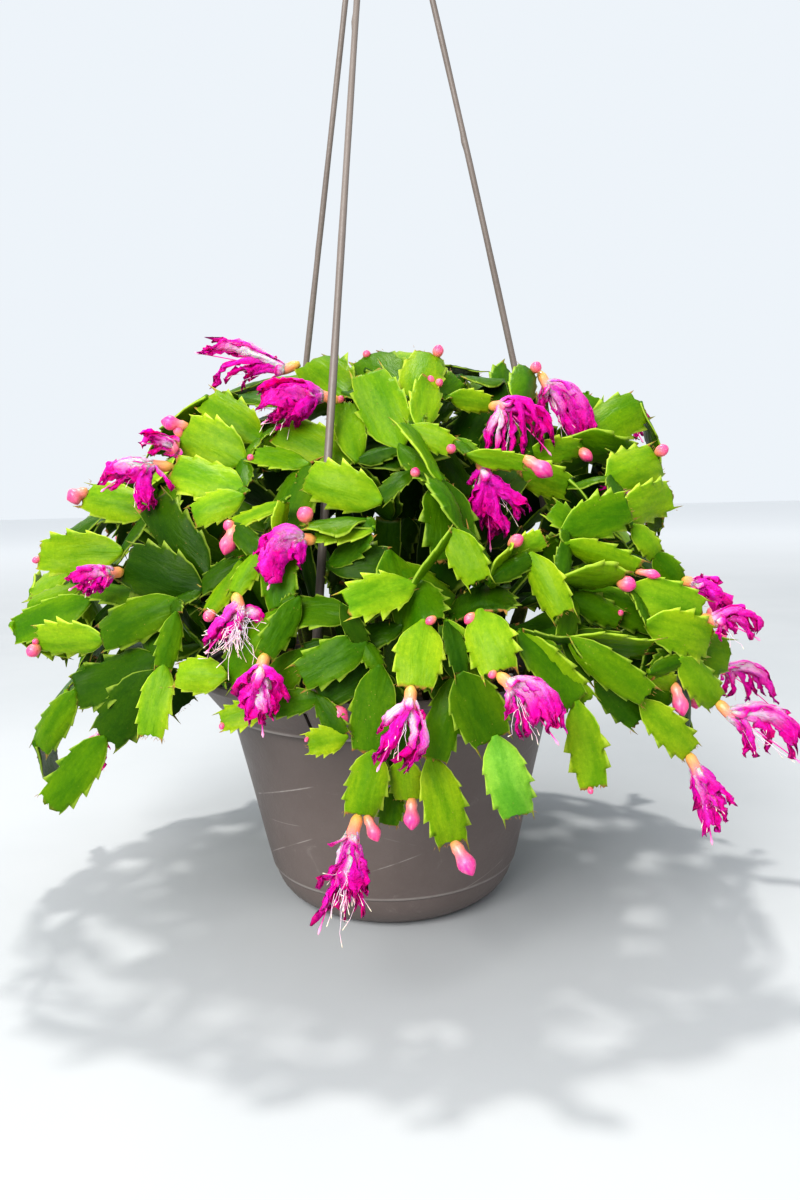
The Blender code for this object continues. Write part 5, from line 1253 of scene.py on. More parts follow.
LEAF, BUD, PETAL, TUBE, THREAD = cactus_skin(), bud_skin(), petal_skin(), tube_skin(), thread_skin()
POT_LOOK = plastic("basket_plastic_looks", (0.143, 0.114, 0.105), (0.114, 0.089, 0.080), (0.27, 0.235, 0.215))
HANGER_LOOK = plastic("hanger_plastic_looks", (0.196, 0.160, 0.140), (0.140, 0.112, 0.096), (0.32, 0.28, 0.25)).mat
SOIL_LOOK = soil_skin()

# ================================================================ meshes


class Bag:
    """Vertices, faces and the per-point values of one piece, gathered from many shapes."""

    def __init__(self, mats):
        self.mats = mats
        self.v, self.f, self.m, self.tint, self.mark, self.own = [], [], [], [], [], []

    def grid(self, pts, tints, marks, mat, close_v=False, own=None):
        """A sheet of points[rows][cols]."""
        base = len(self.v)
        rows, cols = len(pts), len(pts[0])
        for r in range(rows):
            for c in range(cols):
                self.v.append(pts[r][c])
                self.tint.append(tints[r][c])
                self.mark.append(marks[r][c] if isinstance(marks, list) else marks)
                self.own.append(own[r][c] if own else (0.0, 0.0, 0.0))
        for r in range(rows - 1):
            for c in range(cols - (0 if close_v else 1)):
                a = base + r * cols + c
                b = base + r * cols + (c + 1) % cols
                d = base + (r + 1) * cols + c
                e = base + (r + 1) * cols + (c + 1) % cols
                self.f.append((a, b, e, d))
                self.m.append(mat)
        return base

    def ends(self, base, rows, cols, mat):
        """Closes both ends of a flat loop whose second half runs back under its first."""
        half = cols // 2
        for r in (0, rows - 1):
            for c in range(half - 1):
                q = (base + r * cols + c, base + r * cols + c + 1, base + r * cols + cols - 2 - c, base + r * cols + cols - 1 - c)
                self.f.append(q[::-1] if r == 0 else q)
                self.m.append(mat)

    def object(self, name, body="root", smooth=True):
        mesh = bpy.data.meshes.new(name)
        mesh.from_pydata([(p[0] * MM, p[1] * MM, p[2] * MM) for p in self.v], [], self.f)
        mesh.polygons.foreach_set("material_index", self.m)
        for mat in self.mats:
            mesh.materials.append(mat)
        for key, values in (("tint", self.tint), ("mark", self.mark)):
            layer = mesh.attributes.new(key, "FLOAT_COLOR", "POINT")
            layer.data.foreach_set("color", np.array(values, np.float32).reshape(-1))
        layer = mesh.attributes.new("own", "FLOAT_VECTOR", "POINT")
        layer.data.foreach_set("vector", np.array(self.own, np.float32).reshape(-1))
        mesh.update()
        if smooth:
            mesh.shade_smooth()
        made = bpy.data.objects.new(name, mesh)
        bpy.context.scene.collection.objects.link(made)
        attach(made, body)
        return made


COLS = (-1.0, -0.88, -0.70, -0.46, -0.22, -0.07, 0.07, 0.22, 0.46, 0.70, 0.88, 1.0)
FEW = (-1.0, -0.72, -0.30, 0.0, 0.30, 0.72, 1.0)
OUTLINE = ((0.0, 0.15), (0.03, 0.25), (0.09, 0.50), (0.18, 0.76), (0.30, 0.93), (0.44, 1.0), (0.60, 0.99), (0.76, 0.92), (0.89, 0.81), (1.0, 0.66))


def outline(t):
    """Half the width of a segment along its length, as a share of its widest."""
    for (t0, w0), (t1, w1) in zip(OUTLINE, OUTLINE[1:]):
        if t <= t1:
            return w0 + (w1 - w0) * (t - t0) / (t1 - t0)
    return OUTLINE[-1][1]


def toothed(rng, depth, count, horn):
    """One side of a segment as rows of (place along the middle, place along the edge, half width)."""
    rows = [(t, t, outline(t)) for t in (0.0, 0.025, 0.065, 0.12, 0.185)]
    marks = [0.36, 0.59, 0.81] if count == 3 else [0.28, 0.50, 0.76]
    last = 0.20
    for k, mid in enumerate((0.36, 0.59, 0.81)):
        at = marks[k] + rng.uniform(-0.022, 0.022)
        d = depth * rng.uniform(0.75, 1.25) * (0.55 if k == 0 else 1.0)
        if count == 2 and k == 0:
            d = 0.0
        before = 0.185 if k == 0 else (0.36, 0.59)[k - 1] + 0.008
        for q, rise in ((0.34, -0.20), (0.72, 0.30)):
            edge = last + (at - last) * q
            rows.append((before + (mid - 0.006 - before) * q, edge, outline(edge) * (1 + rise * d)))
        rows.append((mid - 0.006, at + 0.10 * d, outline(at) * (1 + 0.85 * d)))
        rows.append((mid + 0.008, at + 0.03 * d, outline(at) * (1 - 0.55 * d)))
        last = at + 0.012
    for mid, q, rise in ((0.87, 0.40, -0.15), (0.93, 0.80, 0.10)):
        edge = last + (1.0 - last) * q
        rows.append((mid, edge, outline(edge) * (1 + rise * depth)))
    rows.append((0.968, 1.0 + horn, outline(1.0) * (1.0 + 0.10 * rng.random())))
    return rows


def segment(bag, p, rng, mat=0):
    """One flat segment: a thin cushion with a soft midrib, toothed edges, two horns, a slight cup and a slight bend."""
    a, b, n = p["a"], p["b"], p["n"]
    axis = unit(b - a)
    length = (b - a).length
    side = axis.cross(n).normalized()
    inner = p["kind"] == "inner" and (dome((a + b) / 2) < 0.42 or ((a.z + b.z) / 2 < RIM_Z + 12 and math.hypot(b.x, b.y) < 82))
    link = p["kind"] == "inner" and not inner
    wide, thick = p["w"] * (1.0 if inner else 1.12 if link else 0.95), (p["t"] if inner else 2.5)
    mint = 1.0 if p["tone"] > 1.5 else 0.0
    tone = 0.75 if mint else p["tone"]
    if link:
        tone = rng.uniform(0.12, 0.42)
    # Freely grown segments are darker the deeper they sit in the dome: partly older dark green, partly painted shade of
    # the plant's interior.
    if p["kind"] == "fill":
        tone *= min(1.0, max(0.15, (dome(b) - 0.50) / 0.40))
    old = inner or rng.random() < 0.4
    depth = rng.uniform(0.13, 0.30) * (0.45 if inner else 1.0)
    count = 3 if rng.random() < 0.6 else 2
    blunt = rng.random() < 0.18 or inner
    horns = [0.0 if blunt else rng.uniform(0.045, 0.150) for _ in (0, 1)]
    left, right_edge = toothed(rng, depth, count, horns[0]), toothed(rng, depth, count, horns[1])
    if inner:
        left = [(m, e, w * 0.62 + 0.38 * min(1.0, 0.55 + 0.45 * e)) for m, e, w in left]
        right_edge = [(m, e, w * 0.62 + 0.38 * min(1.0, 0.55 + 0.45 * e)) for m, e, w in right_edge]
    cup = rng.uniform(-0.08, 0.20) * (0.2 if inner else 1.0)
    bend = rng.uniform(-0.02, 0.075) * (0.3 if inner else 1.0)
    twist = rng.uniform(-0.34, 0.34) * (0.2 if inner else 1.0)
    wave = rng.uniform(0.012, 0.050) * (0.4 if inner else 1.0)
    phase, phase2 = rng.uniform(0, 6.28), rng.uniform(0, 6.28)
    jag = [rng.uniform(-0.026, 0.030) for _ in COLS]
    cols = FEW if inner else COLS
    cork = max(0.0, min(1.0, (RIM_Z + 22 - (a.z + b.z) / 2) / 40)) if inner else 0.0
    tip_wear_and_band_breakup = 1.0 if rng.random() < 0.72 else 0.2
    chance = rng.random()
    crown = rng.uniform(0.8, 1.25)
    loop, loop_t, loop_o = [], [], []
    rows = len(left)
    for r in range(rows):
        mid = 0.5 * (left[r][0] + right_edge[r][0])
        full = outline(min(1.0, mid))
        if inner:
            full = full * 0.62 + 0.38 * min(1.0, 0.55 + 0.45 * mid)
        line_t, line_b, tint_row, own_row = [], [], [], []
        for c, x in enumerate(cols):
            _, edge, w_edge = left[r] if x < 0 else right_edge[r]
            k = abs(x)
            out = max(0.0, (k - 0.62) / 0.38)
            t = mid + (edge - mid) * out ** 1.6
            if r == rows - 1 and k < 0.95:
                t = mid + jag[c] - 0.012 * (1 - k) + (0.022 * (1 - k * k) if blunt else 0.0)
            lateral = x * (full if k < 0.95 else w_edge) * wide / 2
            body = math.sqrt(max(0.0, 1 - k ** 2.4))
            h = thick / 2 * (body * 0.82 + 0.10) * (1 - 0.35 * max(0.0, t - 0.75) / 0.25)
            neck = max(0.0, 1 - t / 0.11)
            h = h * (1 - neck) + (1.35 * math.sqrt(max(0.0, 1 - k * k)) + 0.12) * neck
            xw = x * full
            rib = 0.42 * math.exp(-((xw) / 0.085) ** 2) * min(1.0, t * 6) * (1 - 0.6 * t)
            veins = 0.26 * math.sin(2 * math.pi * (t - 0.42 * k) / 0.225 + phase2) * math.sin(math.pi * min(1.0, k)) * min(1.0, t * 5)
            if k > 0.99:
                h, rib, veins = 0.20, 0.0, 0.0
            bow = -cup * wide * xw * xw + bend * length * 4 * t * (1 - t)
            bow += wave * wide * (math.sin(t * 8 + phase) * x * abs(x) + 0.6 * math.sin(t * 5 + phase2))
            if inner:
                bow *= 0.5
            ang = twist * t * (1 - t) * 4
            s2 = side * math.cos(ang) + n * math.sin(ang)
            n2 = n * math.cos(ang) - side * math.sin(ang)
            c0 = a + axis * (t * length - 1.5 * max(0.0, 1 - t) ** 8) + s2 * lateral + n2 * (bow * min(1.0, t * 4) * (1.0 if t < 1 else 1.0))
            line_t.append(c0 + n2 * (h * crown + rib + veins))
            line_b.append(c0 - n2 * (h * 0.9 + 0.6 * rib - 0.5 * veins))
            tint_row.append((tone, min(1.0, max(0.0, t)), k, chance))
            own_row.append((lateral, t * length, 40.0 * chance))
        loop.append(line_t + line_b[::-1])
        loop_t.append(tint_row + tint_row[::-1])
        loop_o.append(own_row + own_row[::-1])
    base = bag.grid(loop, loop_t, (mint, cork, tip_wear_and_band_breakup, 1.0), mat, close_v=True, own=loop_o)
    bag.ends(base, rows, 2 * len(cols), mat)
    if not inner and not link and p["free"]:
        # short stiff hairs along the cut-off tip
        for _ in range(rng.randint(4, 11) if tip_wear_and_band_breakup > 0.5 else 3):
            x = rng.uniform(-0.42, 0.42)
            foot = b + side * (x * wide) - axis * 0.9 + n * (bend * 0 + rng.uniform(-0.3, 0.3))
            d = unit(axis + side * (rng.uniform(-0.7, 0.7) + x) + n * rng.uniform(-0.7, 0.7))
            reach = rng.uniform(0.9, 2.0)
            hair = [foot, foot + d * reach * 0.55, foot + d * reach + side * rng.uniform(-0.3, 0.3)]
            spin(bag, hair, [0.11, 0.08, 0.02], 4, lambda t, ang: (tone, 1.0, 0.5, chance), mat, mark=(0.0, 0.0, 1.0, 0.0))


def spin(bag, line, radii, sides, tint_of, mat, mark=(0, 0, 0, 1), ripple=None):
    """A closed round body along a line, with a point at each end."""
    n = None
    pts, tints = [], []
    total = sum((line[i + 1] - line[i]).length for i in range(len(line) - 1))
    walked = 0.0
    for i, c in enumerate(line):
        axis = unit(line[min(i + 1, len(line) - 1)] - line[max(i - 1, 0)])
        n = square_to(axis, n if n else Vector((0.31, -0.9, 0.22)))
        s = axis.cross(n)
        if i:
            walked += (line[i] - line[i - 1]).length
        row, row_t = [], []
        for k in range(sides):
            ang = 2 * math.pi * k / sides
            r = radii[i] * (1 + (ripple(ang, walked / total) if ripple else 0.0))
            row.append(c + (n * math.cos(ang) + s * math.sin(ang)) * r)
            row_t.append(tint_of(walked / total, ang))
        pts.append(row)
        tints.append(row_t)
    own = [[(radii[i] * 2 * math.pi * k / sides, (line[i] - line[0]).length, 0.0) for k in range(sides)] for i in range(len(line))]
    base = bag.grid(pts, tints, mark, mat, close_v=True, own=own)
    bag.f.append(tuple(base + k for k in range(sides))[::-1])
    bag.m.append(mat)
    bag.f.append(tuple(base + (len(line) - 1) * sides + k for k in range(sides)))
    bag.m.append(mat)


def curve_through(points, steps):
    """A smooth line through a few points."""
    full = [points[0] * 2 - points[1]] + list(points) + [points[-1] * 2 - points[-2]]
    out = []
    for i in range(len(points) - 1):
        p0, p1, p2, p3 = full[i : i + 4]
        for k in range(steps):
            t = k / steps
            out.append(0.5 * ((2 * p1) + (p2 - p0) * t + (2 * p0 - 5 * p1 + 4 * p2 - p3) * t * t + (3 * p1 - p0 - 3 * p2 + p3) * t ** 3))
    out.append(points[-1].copy())
    return out


def bud(bag, q, rng, mat=1):
    a, b, w = q["a"], q["b"], q["w"]
    line = [a.lerp(b, t) for t in (0.0, 0.06, 0.13, 0.22, 0.33, 0.45, 0.57, 0.69, 0.80, 0.89, 0.95, 0.985, 1.0)]
    if (b - a).length > 9:
        shape = (0.24, 0.27, 0.31, 0.35, 0.32, 0.38, 0.47, 0.50, 0.42, 0.28, 0.17, 0.09, 0.02)
    else:
        shape = (0.20, 0.26, 0.33, 0.40, 0.46, 0.49, 0.50, 0.47, 0.40, 0.30, 0.21, 0.12, 0.03)
    bow = square_to(unit(b - a), Vector((0, 0, 1))) * (b - a).length * rng.uniform(-0.03, 0.05)
    line = [p + bow * 4 * (i / 12) * (1 - i / 12) for i, p in enumerate(line)]
    turn_by = rng.uniform(0, 6.28)
    spin(bag, line, [s * w for s in shape], 14, lambda t, ang: (q["pink"], t, 0.5, rng.random()), mat,
         ripple=lambda ang, t: 0.05 * abs(math.sin(1.5 * ang + turn_by + 2.4 * t)) * min(1.0, 6 * t) - 0.02)


class Axis:
    """A bloom's centre line with a frame that turns smoothly along it and runs on past its end."""

    def __init__(self, points):
        self.p = curve_through(points, 8)
        self.s = [0.0]
        for i in range(len(self.p) - 1):
            self.s.append(self.s[-1] + (self.p[i + 1] - self.p[i]).length)
        self.n = []
        n = None
        for i in range(len(self.p)):
            axis = unit(self.p[min(i + 1, len(self.p) - 1)] - self.p[max(i - 1, 0)])
            n = square_to(axis, n if n else Vector((0.31, -0.9, 0.22)))
            self.n.append((axis, n.copy(), axis.cross(n)))
        self.length = self.s[-1]

    def at(self, s, r, ang):
        if s <= 0:
            i, t = 0, s / (self.s[1] - self.s[0])
        elif s >= self.length:
            i = len(self.p) - 2
            t = 1 + (s - self.length) / (self.s[-1] - self.s[-2])
        else:
            i = max(k for k in range(len(self.s) - 1) if self.s[k] <= s)
            t = (s - self.s[i]) / (self.s[i + 1] - self.s[i])
        p = self.p[i] + (self.p[i + 1] - self.p[i]) * t
        u = min(1.0, max(0.0, t))
        axis = self.n[i][0].lerp(self.n[i + 1][0], u)
        n = self.n[i][1].lerp(self.n[i + 1][1], u)
        b = self.n[i][2].lerp(self.n[i + 1][2], u)
        return p + n * (math.cos(ang) * r) + b * (math.sin(ang) * r), axis, n * math.cos(ang) + b * math.sin(ang), -n * math.sin(ang) + b * math.cos(ang)


def sheet(bag, pts, half, tints, own, mat, marks):
    """A thin closed body around a sheet of points."""
    rows, cols = len(pts), len(pts[0])
    loop, loop_t, loop_o, loop_m = [], [], [], []
    for r in range(rows):
        up_row, low_row = [], []
        for c in range(cols):
            du = pts[min(r + 1, rows - 1)][c] - pts[max(r - 1, 0)][c]
            dv = pts[r][min(c + 1, cols - 1)] - pts[r][max(c - 1, 0)]
            n = du.cross(dv)
            n = n / n.length if n.length > 1e-9 else Vector((0, 0, 1))
            h = half * (0.45 if c in (0, cols - 1) else 1.0)
            up_row.append(pts[r][c] + n * h)
            low_row.append(pts[r][c] - n * h)
        loop.append(up_row + low_row[::-1])
        loop_t.append(tints[r] + tints[r][::-1])
        loop_o.append(own[r] + own[r][::-1])
        loop_m.append(marks[r] + marks[r][::-1])
    base = bag.grid(loop, loop_t, loop_m, mat, close_v=True, own=loop_o)
    bag.ends(base, rows, 2 * cols, mat)


def leafy(bag, axis, s0, r0, ang, length, wide, turns, rng, crumple, mat, white, cup=0.2, droop=0.0, tip=0.6):
    """A short petal at the mouth of the tube: it leaves at an angle, turns back along its length and crumples a little."""
    rows, cols = 10, 9
    s, r = s0, r0
    step = length / (rows - 1)
    pts, tints, marks, own = [], [], [], []
    lean, curl = rng.uniform(-0.5, 0.5), rng.uniform(-0.9, 0.9)
    chance = rng.random()
    seed = Vector((rng.uniform(0, 90), rng.uniform(0, 90), rng.uniform(0, 90)))
    for i in range(rows):
        u = i / (rows - 1)
        q = u * (len(turns) - 1)
        k = min(int(q), len(turns) - 2)
        theta = math.radians(turns[k] + (turns[k + 1] - turns[k]) * (q - k))
        if i:
            s += step * math.cos(theta)
            r += step * math.sin(theta)
        p, ax, out, tang = axis.at(s, max(r, 0.25), ang)
        nor = out * math.cos(theta) - ax * math.sin(theta)
        p = p + Vector((0, 0, -droop * length * u ** 2))
        w = wide * (0.42 + 0.58 * math.sin(math.pi * min(1.0, 0.10 + 0.78 * u))) * (1 - 0.90 * max(0.0, (u - tip) / (1 - tip)) ** 1.6)
        roll = lean * u + curl * u * u
        tang2 = tang * math.cos(roll) + nor * math.sin(roll)
        nor2 = nor * math.cos(roll) - tang * math.sin(roll)
        row, row_t, row_m, row_o = [], [], [], []
        for c in range(cols):
            v = -1 + 2 * c / (cols - 1)
            x = v * w / 2
            wave = math.sin(5.5 * v + 3 * u + seed.x)
            fold = -cup * w * v * v + 0.09 * w * wave * u
            at = p + tang2 * x + nor2 * fold
            amount = crumple * (0.15 + 0.85 * u)
            shake = noise.noise_vector(at * 0.2 + seed) * (1.6 * amount) + noise.noise_vector(at * 0.5 + seed * 1.7) * (1.2 * amount)
            row.append(at + shake)
            row_t.append((1.0, u, abs(v), chance))
            row_m.append((0.5 + 0.5 * wave, white, chance, 1.0))
            row_o.append((x, u * length, 30.0 * chance))
        pts.append(row)
        tints.append(row_t)
        marks.append(row_m)
        own.append(row_o)
    sheet(bag, pts, 0.16, tints, own, mat, marks)


def limp(bag, axis, ang, wide, fat, rng, crumple, mat, white, start=0.0, reach=1.0, swirl=0.0, tip=0.70, kind=0.0):
    """A long limp petal: it wraps round the line of its clump, with folds along it, a torn hem and a crumpled end."""
    rows, cols = 20, 9
    pts, tints, marks, own = [], [], [], []
    chance, dried = rng.random(), rng.random() ** 2
    seed = Vector((rng.uniform(0, 90), rng.uniform(0, 90), rng.uniform(0, 90)))
    folds, phase, blunt = rng.uniform(1.2, 2.3), rng.uniform(0, 6.28), rng.uniform(1.0, 2.2)
    side = rng.uniform(-0.3, 0.3)
    full = axis.length
    for i in range(rows):
        u = i / (rows - 1)
        r = 2.5 + (fat - 2.5) * min(1.0, u * 1.7) ** 0.8 + 0.14 * fat * math.sin(math.pi * u)
        half = wide / 2 * (0.46 + 0.54 * math.sin(math.pi * min(0.62, 0.08 + 0.72 * u) / 1.24)) * (1 - 0.93 * max(0.0, (u - tip) / (1 - tip)) ** blunt)
        row, row_t, row_m, row_o = [], [], [], []
        for c in range(cols):
            v = -1 + 2 * c / (cols - 1)
            wave = math.sin(math.pi * folds * v + phase + 1.8 * u)
            hem = 0.42 * math.sin(9 * u + phase + (2 if v > 0 else 0)) * abs(v) ** 3
            torn = 1 + 0.10 * math.sin(13 * u + phase * 3) * v * v + 0.60 * noise.noise(Vector((u * 7.5, 4.0 if v > 0 else -4.0, seed.x))) * abs(v) ** 2.5
            theta = ang + swirl * u + (v * half * torn + side * half * u) / max(r, 2.2)
            bump = (0.50 + 0.5 * u) * wave * (0.35 + 0.65 * u) + hem * (0.4 + 1.4 * u)
            along = start + (reach * full - start) * (u + 0.16 * u ** 4 * noise.noise(Vector((v * 2.8, seed.y, 1.7)))) - full * 0.04 * v * v * u
            at = axis.at(along, max(0.3, r + bump), theta)[0]
            amount = crumple * (0.14 + 0.86 * u ** 1.2)
            shake = noise.noise_vector(at * 0.17 + seed) * (2.0 * amount) + noise.noise_vector(at * 0.38 + seed * 1.7) * (2.2 * amount)
            shake += noise.noise_vector(at * 0.80 + seed * 0.6) * (1.2 * amount * (0.35 + 0.65 * abs(v)))
            outward = (at - axis.at(along, 0, theta)[0]).normalized()
            row.append(at + shake)
            row_t.append((kind, u, abs(v), chance))
            row_m.append((min(1.0, max(0.0, 0.5 + 0.36 * wave + 0.20 * shake.dot(outward))), white, dried, 1.0))
            row_o.append((v * half, u * full, 30.0 * chance))
        pts.append(row)
        tints.append(row_t)
        marks.append(row_m)
        own.append(row_o)
    sheet(bag, pts, 0.15, tints, own, mat, marks)


# How each front bloom looks: how many threads hang from it, how wild they are, and its clumps of petals. A clump is
# a view point where it ends, one that it bends towards on its way, its radius, its number of petals and how pale it is,
# which also sets the strength of its painted highlights.
BLOOM_LOOKS = {
    "A": (6, 1.0, (((106, 484), (128, 462), 3.6, 3, 0.9), ((122, 481), (138, 470), 3.0, 2, 0.7), ((150, 508), (140, 480), 3.0, 3, 0.3), ((173, 490), (160, 476), 1.8, 1, 0.6))),
    "B": (3, 1.0, (((205, 354), (250, 345), 3.0, 3, 1.0), ((223, 394), (226, 358), 2.4, 2, 0.4), ((248, 391), (250, 366), 2.0, 2, 0.3))),
    "C": (22, 1.6, (((260, 420), (282, 390), 5.4, 4, 0.1), ((257, 400), (286, 384), 4.6, 3, 0.35), ((284, 426), (302, 398), 4.4, 3, 0.0), ((268, 428), (290, 408), 3.4, 2, 0.0))),
    "D": (4, 0.7, (((274, 584), (278, 534), 4.6, 4, 0.6), ((268, 564), (284, 528), 3.8, 3, 0.5), ((294, 574), (304, 548), 3.6, 3, 0.2))),
    "E": (3, 1.0, (((486, 448), (488, 420), 2.0, 2, 1.0), ((497, 453), (499, 424), 1.8, 2, 0.9), ((514, 453), (522, 384), 2.8, 2, 0.15), ((530, 434), (534, 390), 2.4, 2, 0.1), ((546, 447), (548, 404), 2.8, 2, 0.05))),
    "F": (8, 1.2, (((583, 437), (572, 380), 4.2, 4, 0.5), ((568, 434), (556, 390), 3.4, 3, 0.6), ((535, 412), (537, 395), 1.9, 2, 1.0), ((559, 428), (550, 408), 1.9, 1, 1.0))),
    "G": (4, 0.8, (((501, 473), (499, 463), 2.2, 1, 0.1), ((475, 487), (476, 474), 1.8, 1, 0.1), ((468, 522), (482, 496), 2.8, 2, 0.05), ((491, 541), (488, 504), 3.0, 3, 0.1), ((504, 537), (494, 500), 2.4, 2, 0.0), ((526, 512), (500, 486), 2.8, 3, 0.05))),
    "H": (4, 0.8, (((724, 612), (706, 578), 3.2, 4, 0.3), ((701, 600), (697, 586), 2.2, 2, 0.4), ((717, 583), (705, 574), 1.6, 1, 0.9), ((696, 570), (694, 576), 1.4, 1, 0.8))),
    "I": (4, 1.2, (((755, 633), (738, 602), 2.8, 3, 0.4), ((732, 635), (730, 612), 2.2, 2, 0.1), ((716, 639), (714, 625), 1.8, 1, 0.6))),
    "J": (3, 0.8, (((770, 702), (764, 656), 2.8, 3, 0.7), ((752, 703), (750, 662), 2.4, 2, 0.5), ((726, 696), (736, 671), 1.8, 2, 0.6))),
    "K": (9, 1.6, (((797, 754), (788, 698), 3.0, 3, 0.9), ((768, 751), (766, 708), 2.2, 2, 0.7), ((751, 759), (747, 719), 1.9, 2, 0.6), ((792, 726), (770, 700), 2.6, 2, 1.0))),
    "L": (7, 1.4, (((711, 833), (706, 800), 2.7, 3, 0.7), ((731, 813), (718, 785), 2.4, 2, 0.4), ((700, 808), (697, 790), 1.8, 2, 0.3), ((719, 822), (712, 796), 2.4, 2, 1.0))),
    "M": (7, 1.3, (((554, 732), (552, 674), 3.0, 4, 0.7), ((540, 728), (534, 684), 2.6, 3, 0.6), ((521, 734), (521, 703), 1.6, 2, 0.9), ((509, 714), (508, 700), 1.6, 1, 1.0))),
    "N": (8, 1.3, (((398, 766), (434, 744), 2.6, 3, 0.9), ((379, 760), (400, 726), 1.6, 2, 0.3), ((377, 732), (392, 714), 1.6, 1, 1.0), ((428, 716), (422, 706), 1.8, 1, 0.9))),
    "O": (84, 2.6, (((212, 640), (232, 608), 2.2, 2, 0.2), ((238, 634), (241, 618), 2.0, 2, 0.9), ((266, 621), (260, 600), 1.9, 1, 1.0), ((224, 634), (236, 610), 2.2, 2, 0.5))),
    "P": (2, 0.6, (((235, 704), (246, 678), 3.0, 2, 0.3), ((246, 722), (250, 688), 2.6, 2, 0.4), ((262, 726), (261, 690), 2.8, 3, 1.0), ((281, 707), (276, 678), 3.0, 2, 0.2))),
    "Q": (40, 1.7, (((316, 879), (345, 864), 1.8, 1, 0.2), ((321, 920), (340, 890), 2.1, 2, 0.2), ((344, 912), (340, 868), 2.8, 3, 1.0), ((361, 914), (352, 876), 2.3, 2, 0.15), ((364, 888), (358, 862), 2.0, 2, 0.7), ((371, 866), (364, 848), 1.6, 1, 0.9))),
    "R": (4, 0.9, (((74, 584), (96, 568), 2.8, 3, 0.6), ((88, 594), (98, 578), 2.2, 2, 0.3), ((104, 590), (106, 580), 1.8, 2, 0.4))),
    "S": (3, 0.9, (((616, 497), (628, 482), 2.6, 3, 0.5), ((606, 490), (622, 480), 2.0, 2, 0.4))),
    "T": (3, 0.9, (((646, 420), (632, 405), 2.6, 3, 0.6), ((640, 434), (628, 412), 2.2, 2, 0.4))),
    "U": (0, 0.8, (((152, 452), (163, 440), 2.8, 2, 0.8), ((148, 442), (160, 436), 2.2, 2, 0.7))),
}
MOUTHS = {row[0]: row[2][1] for row in FLOWERS}


